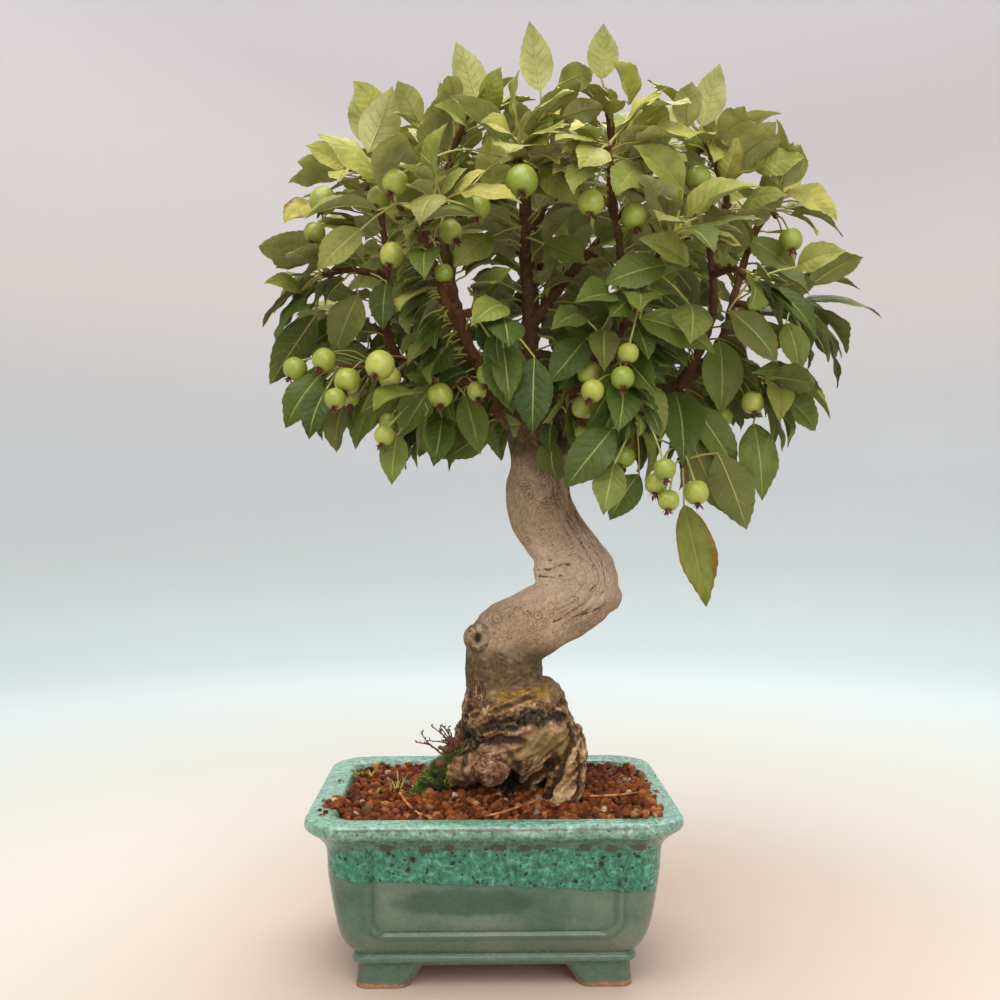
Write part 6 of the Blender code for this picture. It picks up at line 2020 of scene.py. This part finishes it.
def glaze_band(p, z, fine, blotch):
    """Turquoise band with crackle and pale drips, and the streaks that the drips follow."""
    crackle = p.cells(430, feature="DISTANCE_TO_EDGE")
    band = p.ramp(fine, [(0.36, (8, 50, 36)), (0.44, (30, 98, 76)), (0.54, (52, 126, 102)),
                         (0.64, (104, 166, 144))])
    band = p.mix(p.remap(blotch, 0.42, 0.62, 0, 0.4), band, (36, 106, 84))
    band = p.mix(p.remap(crackle, 0.06, 0.0, 0, 0.25), band, (108, 160, 136))
    drip = p.noise(1.0, 5, 0.7, p.scaled(p.place, 460, 460, 120))
    drips = p.times(p.remap(drip, 0.52, 0.66, 0, 0.55), p.remap(z, 60.0, 76.0))
    band = p.mix(drips, band, (132, 170, 150))
    return band, drip


def glaze_pits(p, over):
    """Dark pits of the band, large and small, and the noise that roughens their edges."""
    rough_edge = p.times(p.noise(620, 3, 0.65), 0.5)
    pits = p.remap(p.plus(p.cells(150), rough_edge), 0.46, 0.38)
    pits = p.times(pits, p.remap(p.noise(75, 2), 0.4, 0.46))
    small_pits = p.remap(p.plus(p.cells(330), rough_edge), 0.48, 0.38)
    small_pits = p.times(small_pits, p.remap(p.noise(90, 3), 0.34, 0.42))
    pits = p.times(p.most(pits, small_pits), over)
    return rough_edge, pits


def clay_shares(p, x, y, z):
    """Bare clay under the feet and the pot's underside, as its colour and its share."""
    normal = p.split(p.node("NewGeometry").outputs["Normal"])
    clay_line = p.plus(z, p.wobble(2.4, 160, 3))
    clay = p.ramp(p.noise(700, 3), [(0.3, (124, 76, 54)), (0.7, (172, 114, 86))])
    below = p.remap(clay_line, 2.3, 1.5)
    underside = p.times(p.remap(z, POT_UNDERSIDE + 0.9, POT_UNDERSIDE + 0.2),
                        p.remap(normal["Z"], -0.5, -0.8))
    away = p.plus(p.times(x, normal["X"]), p.times(y, normal["Y"]))
    slope = p.times(p.remap(away, -2.0, -8.0), p.remap(z, POT_UNDERSIDE + 0.4, POT_UNDERSIDE - 0.4))
    bare_clay = p.most(below, p.most(underside, slope))
    return clay, bare_clay


def pot_glaze():
    """Turquoise band over a grey-green glaze, mottled, brown where it thins, with bare clay below."""
    p = Paint("pot_glaze", 0.24, Specular_IOR_Level=0.4, Coat_Weight=0.35, Coat_Roughness=0.1)
    plan = p.parts("plan")
    x, y, z = plan["X"], plan["Y"], plan["Z"]
    finish = p.parts("finish")
    patch, edge, groove = finish["X"], finish["Y"], finish["Z"]
    wall = p.value("outside")
    blotch = p.noise(75, 5, 0.7)
    fine = p.noise(290, 6, 0.75)
    mottle = p.noise(900, 3, 0.7)

    body = glaze_body(p, x, z, fine)

    band, drip = glaze_band(p, z, fine, blotch)
    rim = p.ramp(fine, [(0.34, (56, 84, 66)), (0.45, (100, 134, 114)), (0.56, (126, 158, 138)),
                        (0.7, (170, 194, 178))])
    rim_top = p.ramp(fine, [(0.34, (74, 118, 96)), (0.5, (112, 164, 142)), (0.68, (160, 200, 182))])

    wavy = p.wobble(6.0, 1.0, 4, 0.55, p.scaled(p.place, 80, 80, 30))
    line = p.plus(p.minus(z, p.times(x, -0.048)), wavy)
    over = p.remap(line, 55.0, 56.2)
    colour = p.mix(over, body, band)
    halo = p.times(p.remap(line, 49.0, 55.2), p.minus(1.0, over))
    colour = p.tint(colour, (70, 102, 82), halo, 0.5)
    rough_edge, pits = glaze_pits(p, over)
    colour = p.tint(colour, (6, 16, 10), pits, 0.95)
    ragged = p.plus(patch, p.wobble(1.3, 260, 4, 0.65))
    bare = p.remap(ragged, 0.42, 0.56)
    under = p.times(p.remap(z, 74.4, 76.0), p.remap(z, 81.5, 79.2))
    colour = p.tint(colour, p.mix(drip, (52, 70, 54), (124, 142, 122)), under, 0.6)
    colour = p.tint(colour, p.mix(fine, (34, 34, 24), (88, 80, 64)), bare, 0.9)
    colour = p.mix(p.remap(z, 80.4, 82.2), colour, rim)
    colour = p.mix(p.remap(p.normal_z(), 0.6, 0.9), colour, p.mix(p.remap(z, 84.0, 86.0), colour, rim_top))
    rim_specks = p.times(p.remap(p.plus(p.cells(360), rough_edge), 0.5, 0.4), p.remap(z, 81, 82))
    rim_specks = p.times(rim_specks, p.remap(p.noise(110, 3), 0.42, 0.54))
    colour = p.tint(colour, (34, 50, 36), rim_specks, 0.75)
    worn = p.remap(p.plus(edge, p.wobble(1.6, 240, 4, 0.65)), 0.6, 0.95)
    colour = p.tint(colour, (78, 72, 54), worn, 0.8)
    colour = p.tint(colour, (48, 78, 60), groove, 0.6)

    clay, bare_clay = clay_shares(p, x, y, z)
    colour = p.mix(bare_clay, colour, clay)
    inner = p.times(p.minus(1.0, wall), p.remap(z, 86.0, 85.0))
    colour = p.mix(inner, colour, clay)
    bump = p.relief(blotch, 0.0009)
    bump = p.relief(fine, 0.00022, bump)
    bump = p.relief(mottle, 0.00006, bump)
    bump = p.relief(p.minus(1.0, pits), 0.0004, bump)
    bump = p.relief(over, 0.0004, bump)
    rough = p.remap(fine, 0.3, 0.7, 0.14, 0.32)
    rough = p.plus(rough, p.times(p.most(bare_clay, p.times(bare, 0.6)), 0.45))
    return p.finish(colour, bump, rough)


def smooth_bark(p, height_up, across, flow, flow_zone):
    """Pale skin of the trunk with its flecks and flow lines, painted shade on the lower limb and a painted
    highlight on the bend.
    """
    broad = p.noise(38, 4, 0.55)
    skin_noise = p.noise(300, 5, 0.72)
    skin_tone = p.ramp(broad, [(0.25, (144, 114, 88)), (0.5, (184, 154, 126)), (0.75, (214, 188, 162))])
    skin_tone = p.mix(p.remap(height_up, 0.212, 0.235, 0, 0.5), skin_tone, (146, 120, 88))
    # Painted shade: the lower limb is darkened from about 208 mm down to 176 mm.
    skin_tone = p.mix(p.remap(height_up, 0.208, 0.176, 0, 0.42), skin_tone, (116, 88, 60))
    skin_tone = p.mix(p.remap(skin_noise, 0.48, 0.68, 0, 0.5), skin_tone, (134, 102, 72))
    skin_tone = p.mix(p.remap(skin_noise, 0.42, 0.3, 0, 0.35), skin_tone, (222, 204, 182))
    skin_tone = p.mix(p.remap(across, 0.52, 0.7, 0, 0.5), skin_tone, (112, 84, 58))
    streaks = p.times(p.remap(flow, 0.46, 0.62), p.plus(0.14, p.times(flow_zone, 0.72)))
    skin_tone = p.mix(streaks, skin_tone, (96, 72, 50))
    # Painted highlight: the bend is made lighter between about 186 mm and 235 mm.
    bend_painted_highlight = p.times(p.remap(height_up, 0.186, 0.196), p.remap(height_up, 0.235, 0.215))
    skin_tone = p.tint(skin_tone, (226, 200, 176), bend_painted_highlight, 0.3)
    mottle = p.noise(760, 4, 0.8)
    skin_tone = p.mix(p.remap(mottle, 0.52, 0.68, 0, 0.55), skin_tone, (106, 78, 52))
    skin_tone = p.mix(p.remap(mottle, 0.46, 0.34, 0, 0.35), skin_tone, (226, 208, 188))
    flecks = p.times(p.remap(p.cells(520), 0.26, 0.1), p.remap(p.noise(110, 3), 0.44, 0.58))
    skin_tone = p.tint(skin_tone, (74, 52, 32), flecks, 0.75)
    return skin_tone, flecks


def rugged_bark(p, skin_tone, depth, zones, pale_and_lit, stains_and_shade):
    """Craggy base over the smooth skin, with its ochre, olive, torn, dark and pale parts; painted shade in
    its hollows, painted highlight on its ridges.
    """
    rugged = p.plus(p.times(depth, 1.5), p.wobble(2.8, 260, 5, 0.75))
    rugged = p.plus(rugged, p.wobble(1.6, 760, 4, 0.7))
    # Painted shade and highlight: the ramps below colour the base, the bare roots, the ochre and the pale
    # burl by the relief's depth, dark in its low places and light on its high ones.
    shade = p.remap(rugged, -1.8, 1.8, smooth=False)
    base = p.ramp(shade, [
        (0.12, (32, 17, 6)), (0.35, (74, 48, 23)), (0.58, (124, 91, 55)), (0.85, (196, 166, 128)),
    ])
    skin_tone = p.tint(skin_tone, base, zones["X"], 0.95)
    barer = p.ramp(shade, [
        (0.1, (78, 50, 24)), (0.35, (140, 104, 66)), (0.6, (182, 148, 108)), (0.85, (220, 192, 156)),
    ])
    # Paler bare wood: the long root in its own colour, the right lobe partly as painted light against its
    # shade.
    share = p.most(p.times(pale_and_lit["X"], 0.85), p.times(pale_and_lit["Y"], 0.95))
    skin_tone = p.mix(share, skin_tone, barer)
    olive = p.mix(p.noise(260, 4, 0.7), (78, 66, 26), (134, 112, 56))
    skin_tone = p.tint(skin_tone, olive, zones["Z"], 0.65)
    ochre = p.ramp(p.remap(rugged, -1.5, 1.5, smooth=False), [
        (0.15, (66, 46, 12)), (0.5, (138, 102, 40)), (0.85, (190, 150, 74)),
    ])
    ochre_share = p.times(stains_and_shade["X"], p.remap(p.noise(150, 4, 0.7), 0.36, 0.52))
    skin_tone = p.tint(skin_tone, ochre, ochre_share, 0.85)
    splinter = p.noise(1.0, 3, 0.6, p.scaled(p.place, 900, 900, 110))
    torn = p.ramp(splinter, [(0.4, (42, 26, 14)), (0.55, (112, 78, 50)), (0.68, (192, 158, 124))])
    skin_tone = p.tint(skin_tone, torn, zones["Y"], 0.9)
    # Dark crumbly masses, and painted shade in the ring round the pale burl.
    dark_crumbs_and_burl_shade = p.mix(p.remap(p.noise(420, 4), 0.5, 0.66), (20, 16, 12), (104, 80, 50))
    skin_tone = p.tint(skin_tone, dark_crumbs_and_burl_shade, stains_and_shade["Y"], 0.92)
    worm = p.remap(rugged, -1.7, 1.5, smooth=False)
    pale = p.ramp(worm, [(0.1, (84, 46, 24)), (0.4, (146, 106, 80)), (0.85, (206, 176, 150))])
    skin_tone = p.tint(skin_tone, pale, stains_and_shade["Z"], 0.92)
    return skin_tone


def knot_marks(p, skin_tone, knot, crack, mark):
    """Rings and eyes of the knots and cracks over the skin, with painted shade in the knot holes and hollows.
    """
    ring_noise = p.wobble(1.3, 330, 4, 0.7)
    place = p.split(knot)
    out = p.reach(place["X"], place["Y"])
    out = p.plus(out, ring_noise)
    ring = p.times(p.remap(p.maths("ABSOLUTE", p.minus(out, 0.95)), 0.34, 0.04), place["Z"])
    ring = p.times(ring, p.remap(p.noise(190, 3), 0.36, 0.56, 0.2, 1.0))
    eye = p.times(p.remap(out, 0.5, 0.2), place["Z"])
    rim = p.times(p.remap(p.maths("ABSOLUTE", p.minus(out, 0.68)), 0.22, 0.05), place["Z"])
    skin_tone = p.tint(skin_tone, (206, 180, 144), rim, 0.4)
    skin_tone = p.tint(skin_tone, (72, 50, 30), ring, 0.7)
    skin_tone = p.tint(skin_tone, (74, 50, 28), eye, 0.7)
    cut = p.remap(p.plus(crack, p.wobble(1.2, 420, 3)), 0.75, 0.2)
    skin_tone = p.tint(skin_tone, (54, 36, 20), cut, 0.8)
    # Painted shade: near black in the knot holes and the hollows.
    skin_tone = p.tint(skin_tone, (34, 20, 12), mark["X"], 0.9)
    return skin_tone, ring, cut


def bark_paint():
    """Pale flecked bark with ringed knots, a craggy stained base, and red-brown young wood, with painted
    shade and highlights.
    """
    p = Paint("bark", 0.8, Specular_IOR_Level=0.3)
    grain = p.value("grain", "Vector")
    stains_and_shade = p.parts("stains_and_shade")
    mark = p.parts("mark")
    zones = p.parts("zones")
    pale_and_lit = p.parts("pale_and_lit")
    lines = p.parts("lines")
    knot = p.value("knot", "Vector")
    crack, flow_zone, depth = lines["X"], lines["Y"], lines["Z"]
    height_up = p.split(p.place)["Z"]
    across = p.noise(1.0, 4, 0.65, p.scaled(grain, 1.3, 0.4, 0.4))
    flow = p.noise(1.0, 5, 0.62, p.scaled(grain, 0.05, 0.9, 0.9))

    skin_tone, flecks = smooth_bark(p, height_up, across, flow, flow_zone)

    neck = p.ramp(p.noise(280, 5, 0.75), [(0.35, (44, 32, 10)), (0.55, (92, 72, 36)), (0.7, (140, 114, 72))])
    skin_tone = p.tint(skin_tone, neck, mark["Y"], 0.9)
    # Painted shade: the top of the trunk is darkened as if under the canopy.
    upper = p.ramp(p.noise(280, 5, 0.75), [(0.35, (44, 32, 12)), (0.55, (84, 66, 36)), (0.7, (132, 108, 74))])
    skin_tone = p.tint(skin_tone, upper, mark["Z"], 0.92)

    skin_tone = rugged_bark(p, skin_tone, depth, zones, pale_and_lit, stains_and_shade)

    skin_tone, ring, cut = knot_marks(p, skin_tone, knot, crack, mark)

    young = p.mix(p.noise(420, 4), (66, 38, 20), (124, 82, 52))
    young = p.tint(young, (150, 128, 92), flecks, 0.5)
    colour = p.mix(p.remap(p.value("age"), 0.25, 1.0), young, skin_tone)
    bump = p.relief(flow, 0.0004)
    bump = p.relief(across, 0.00035, bump)
    bump = p.relief(p.noise(640, 5, 0.72), 0.0006, bump)
    bump = p.relief(p.minus(1.0, p.most(flecks, p.most(ring, cut))), 0.0004, bump)
    rough = p.remap(p.noise(300, 3), 0.3, 0.7, 0.66, 0.9)
    return p.finish(colour, bump, rough)


def leaf_veins(p):
    """Place across a leaf, its tones, shares of side veins and midrib, swell between veins, and fine net."""
    blade = p.parts("blade")
    tone = p.parts("tone")
    wide = p.maths("ABSOLUTE", blade["X"])
    wander = p.wobble(1.1, 90, 2)
    run = p.minus(p.times(blade["Y"], 7.5), p.times(wide, 1.5))
    run = p.plus(p.plus(run, wander), tone["Y"])
    gap = p.times(p.maths("PINGPONG", run, 0.5), 2.0)
    vein = p.times(p.remap(gap, 0.14, 0.0), p.remap(wide, 0.95, 0.5))
    rib = p.remap(p.times(wide, blade["Z"]), 0.55, 0.2)
    net = p.cells(430, feature="DISTANCE_TO_EDGE")
    return wide, tone, vein, rib, gap, net


def leaf_top():
    """Upper face: green by age, with paler veins in shallow grooves."""
    p = Paint("leaf_top", 0.46, Specular_IOR_Level=0.35)
    wide, tone, vein, rib, gap, net = leaf_veins(p)
    mature = p.ramp(tone["Y"], [
        (0.0, (44, 65, 21)), (0.35, (64, 84, 27)), (0.7, (88, 104, 36)), (1.0, (132, 142, 62)),
    ])
    young = p.ramp(tone["Z"], [(0.0, (166, 172, 82)), (0.5, (194, 190, 96)), (1.0, (220, 206, 112))])
    colour = p.mix(tone["X"], mature, young)
    colour = p.mix(p.remap(p.noise(130, 4), 0.35, 0.7, 0, 0.4), colour, (74, 92, 24))
    colour = p.mix(p.remap(net, 0.0, 0.1, 0.14, 0), colour, (150, 160, 80))
    colour = p.tint(colour, (168, 176, 96), vein, 0.2)
    colour = p.tint(colour, (182, 184, 104), rib, 0.75)
    dry = p.times(p.remap(tone["Z"], 0.9, 1.0), p.remap(p.plus(wide, p.noise(90, 3)), 1.1, 1.5))
    colour = p.mix(dry, colour, (140, 98, 44))
    height = p.plus(p.maths("POWER", gap, 0.5), p.times(net, 0.8))
    bump = p.relief(height, 0.00022)
    bump = p.relief(p.noise(1500, 3), 0.00005, bump)
    rough = p.remap(p.noise(220, 3), 0.3, 0.7, 0.4, 0.56)
    p.let_light_through(0.36, p.mix(0.6, colour, (170, 186, 24)), bump)
    return p.finish(colour, bump, rough)


def leaf_under():
    """Under face: pale olive and downy, with raised veins."""
    p = Paint("leaf_under", 0.75, Specular_IOR_Level=0.25, Sheen_Weight=0.12, Sheen_Roughness=0.5)
    _, tone, vein, rib, _, net = leaf_veins(p)
    mature = p.ramp(tone["Y"], [(0.0, (80, 90, 35)), (0.5, (102, 110, 45)), (1.0, (128, 132, 60))])
    young = p.ramp(tone["Z"], [(0.0, (188, 188, 118)), (1.0, (214, 206, 148))])
    colour = p.mix(tone["X"], mature, young)
    colour = p.mix(p.remap(p.noise(150, 4), 0.35, 0.7, 0, 0.35), colour, (104, 108, 46))
    colour = p.mix(p.remap(net, 0.0, 0.1, 0.2, 0), colour, (158, 162, 96))
    colour = p.tint(colour, (180, 182, 112), vein, 0.4)
    colour = p.tint(colour, (192, 190, 120), rib, 0.75)
    height = p.minus(vein, p.times(net, 0.6))
    bump = p.relief(height, 0.00025)
    bump = p.relief(p.noise(1800, 4), 0.00008, bump)
    p.let_light_through(0.36, p.mix(0.6, colour, (164, 180, 30)), bump)
    return p.finish(colour, bump)


def leaf_stalk():
    """Pale yellow-green stalk, redder at its root."""
    p = Paint("leaf_stalk", 0.5)
    tone = p.parts("tone")
    colour = p.mix(p.noise(120, 2), (150, 152, 66), (184, 176, 92))
    colour = p.mix(p.remap(tone["Z"], 0.6, 0.95, 0, 0.5), colour, (156, 100, 60))
    return p.finish(colour, p.relief(p.noise(900, 3), 0.0001))


def fruit_skin():
    """Lime green skin with pale dots, a faint bloom and a browner lower end."""
    p = Paint("fruit_skin", 0.32, Subsurface_Weight=0.1, Subsurface_Scale=0.004)
    place, tone = p.value("place"), p.value("tone")
    colour = p.ramp(tone, [(0.0, (130, 144, 50)), (0.5, (156, 162, 64)), (1.0, (178, 176, 84))])
    colour = p.mix(p.remap(p.noise(110, 4), 0.4, 0.7, 0, 0.5), colour, (122, 136, 46))
    colour = p.mix(p.remap(place, 0.22, 0.0), colour, (156, 162, 84))
    dots = p.remap(p.cells(620), 0.17, 0.08, 0, 0.6)
    colour = p.mix(dots, colour, (206, 204, 134))
    end = p.remap(p.plus(place, p.times(p.noise(200, 3), 0.1)), 0.9, 1.02)
    colour = p.mix(end, colour, (104, 80, 40))
    rough = p.remap(p.noise(180, 3), 0.3, 0.7, 0.26, 0.42)
    return p.finish(colour, p.relief(p.noise(500, 3), 0.00012), rough)


def dry_sepal():
    """Dry red-brown sepals."""
    p = Paint("dry_sepal", 0.85)
    colour = p.ramp(p.noise(700, 4), [(0.3, (54, 26, 18)), (0.55, (104, 54, 36)), (0.8, (150, 104, 72))])
    return p.finish(colour, p.relief(p.noise(1500, 4), 0.0002))


def fruit_stalk():
    """Thin fruit stalk, green with a reddish side."""
    p = Paint("fruit_stalk", 0.5)
    colour = p.mix(p.remap(p.value("tone"), 0.6, 0.9), (136, 146, 70), (146, 96, 58))
    colour = p.mix(p.remap(p.noise(90, 2), 0.4, 0.6), colour, (160, 164, 92))
    return p.finish(colour, p.relief(p.noise(800, 3), 0.0001))


def granule_clay():
    """Orange-brown granules, each of its own shade, rough and pitted."""
    p = Paint("granule_clay", 0.95, Specular_IOR_Level=0.3)
    tone = p.value("tone")
    colour = p.ramp(tone, [(0.0, (58, 24, 8)), (0.3, (92, 42, 15)), (0.6, (120, 59, 24)),
                           (0.9, (150, 84, 42)), (0.955, (184, 122, 76)), (0.965, (206, 184, 148)),
                           (0.985, (52, 38, 28))])
    colour = p.mix(p.remap(p.noise(420, 5, 0.7), 0.35, 0.7, 0, 0.5), colour, (82, 38, 16))
    colour = p.mix(p.remap(p.noise(1100, 3), 0.6, 0.75, 0, 0.4), colour, (190, 122, 72))
    bump = p.relief(p.noise(900, 5, 0.75), 0.0005)
    bump = p.relief(p.cells(1500), 0.0002, bump)
    return p.finish(colour, bump)


def soil_base():
    """Darker fine clay between the granules."""
    p = Paint("soil_base", 0.95)
    colour = p.ramp(p.noise(500, 5, 0.7), [(0.3, (56, 24, 10)), (0.7, (108, 54, 24))])
    bump = p.relief(p.cells(420), 0.0012)
    bump = p.relief(p.noise(900, 4), 0.0005, bump)
    return p.finish(colour, bump)


def fallen_stalk():
    """Orange-brown dry stalk."""
    p = Paint("fallen_stalk", 0.7)
    colour = p.mix(p.remap(p.noise(160, 3), 0.4, 0.6), (150, 84, 34), (196, 140, 84))
    return p.finish(colour, p.relief(p.noise(900, 3), 0.0001))


def screen_plastic():
    """Moulded dark plastic."""
    p = Paint("screen_plastic", 0.5)
    colour = p.mix(p.noise(400, 3), (24, 24, 24), (44, 44, 42))
    return p.finish(colour, p.relief(p.noise(1200, 3), 0.00006))


def make_stage():
    """Pale floor that curves up into a cool backdrop all round."""
    profile = [(0.5, 0.0), (FLOOR_REACH, 0.0)]
    for k in range(1, COVE_STEPS + 1):
        angle = math.pi / 2 * k / COVE_STEPS
        profile.append((FLOOR_REACH + COVE * math.sin(angle), COVE * (1 - math.cos(angle))))
    profile.append((FLOOR_REACH + COVE, WALL_TOP))
    sides = STAGE_SIDES
    turn = math.tau * np.arange(sides) / sides
    rings = [np.column_stack([r * np.cos(turn), r * np.sin(turn), np.full(sides, z)]) for r, z in profile]
    verts = np.concatenate([np.concatenate(rings), [[0, 0, 0]]]) - (0, 0, FLOOR_DROP)
    around = np.arange(sides)
    faces = []
    for i in range(len(profile) - 1):
        a, b = i * sides + around, i * sides + (around + 1) % sides
        faces.extend(np.stack([b, a, a + sides, b + sides], 1).tolist())
    faces.extend([len(verts) - 1, k, (k + 1) % sides] for k in range(sides))
    mesh = bpy.data.meshes.new("backdrop")
    mesh.from_pydata(verts.tolist(), [], faces)
    mesh.shade_smooth()
    steps = [profile[0][0]] + [math.dist(a, b) for a, b in zip(profile, profile[1:])]
    run = np.cumsum(steps)
    add_value(mesh, "run", np.concatenate([np.repeat(run, sides), [0.0]]))
    p = Paint("backdrop", 0.9)
    colour = p.ramp(p.maths("DIVIDE", p.value("run"), RAMP_LENGTH),
                    [(at / RAMP_LENGTH, rgb) for at, rgb in BACKDROP])
    colour = p.mix(p.remap(p.noise(3, 3), 0.4, 0.8, 0, 0.05), colour, (200, 204, 206))
    mesh.materials.append(p.finish(colour, p.relief(p.noise(40, 2), 0.0002)))
    add_object("backdrop", mesh)


def add_light(name, place, aim, size, power, colour):
    """Soft square light aimed at a point, places in metres."""
    data = bpy.data.lights.new(name, "AREA")
    data.size = size
    data.energy = power
    data.color = colour
    light = add_object(name, data)
    light.location = place
    light.rotation_euler = (Vector(aim) - Vector(place)).to_track_quat("-Z", "Y").to_euler()


def make_studio():
    """Even sky light, a large soft key from above, a fill, a lamp behind and a faint one on the wall."""
    scene = bpy.context.scene
    world = bpy.data.worlds.new("studio")
    world.use_nodes = True
    sky = world.node_tree.nodes["Background"]
    sky.inputs["Color"].default_value = SKY_COLOUR
    sky.inputs["Strength"].default_value = SKY_STRENGTH
    scene.world = world
    for name, lamp in LAMPS.items():
        add_light(name, *lamp)
    scene.view_settings.view_transform = "Standard"
    scene.view_settings.look = "None"


def make_camera():
    """Camera at the photograph's height, distance and turn."""
    data = bpy.data.cameras.new("camera")
    data.sensor_width = SENSOR
    data.lens = SENSOR * CAMERA_FOCAL_PX / PHOTO_PIXELS
    data.clip_start = 0.01
    camera = add_object("camera", data)
    camera.location = Vector(CAMERA_PLACE) * MM + Vector(SLIDE)
    camera.rotation_euler = (math.pi / 2, 0, -CAMERA_TURN)
    bpy.context.scene.camera = camera


def plan_crown(paths):
    """The leaves of each stem and the extra fruits, clear of the wood, the shoots and the bunches."""
    space = Space()
    for mesh in wood_tubes() + branch_tubes():
        space.add("trunk", *mesh)
    for name, path in paths.items():
        space.add("shoot_" + name, *tube(path, SHOOT_SIDES))
    for name, bunch in BUNCHES.items():
        for mesh in bunch_meshes(paths[name], *bunch):
            space.add("fruits_" + name, *mesh)
    planner = Planner(space)
    for name, path in paths.items():
        planner.add_stem(name, "shoot_" + name, [tube(path, SHOOT_SIDES)])
    source_leaves(planner, paths)
    stems = dict(paths)
    for name, points in BRANCHES.items():
        stems["on_" + name] = points
        planner.add_stem("on_" + name, "trunk", wood_tubes() + branch_tubes())
    extras = extra_bunches(planner, paths)
    more_leaves(planner, stems, MORE_LEAVES, extras)
    return planner, extras


def main():
    """Place the leaves and fruits clear of the source's wood, then make every piece."""
    make_studio()
    make_camera()
    make_stage()
    bark = bark_paint()
    paths = {name: shoot_path(*shoot) for name, shoot in SHOOTS.items()}
    planner, extras = plan_crown(paths)
    leaf_paints = [leaf_top(), leaf_under(), leaf_stalk()]
    make_leaves(planner.leaves, leaf_paints)
    make_twigs(paths, bark)
    make_branches(bark)
    fruit_paints = [fruit_skin(), dry_sepal(), fruit_stalk(), bark]
    make_fruits(paths, fruit_paints)
    make_extra_fruits(extras, paths, fruit_paints)
    wood = make_wood(bark)
    make_pot(pot_glaze())
    make_granules(wood, granule_clay())
    make_litter(leaf_paints, fallen_stalk())
    make_moss(wood, moss_green())
    make_dead_wood(bark)
    screen = screen_plastic()
    finishes = {"soil": soil_base(), "drain_screen_left": screen, "drain_screen_right": screen}
    for node, material in finishes.items():
        materials = bpy.data.objects[node].data.materials
        materials.clear()
        materials.append(material)


main()
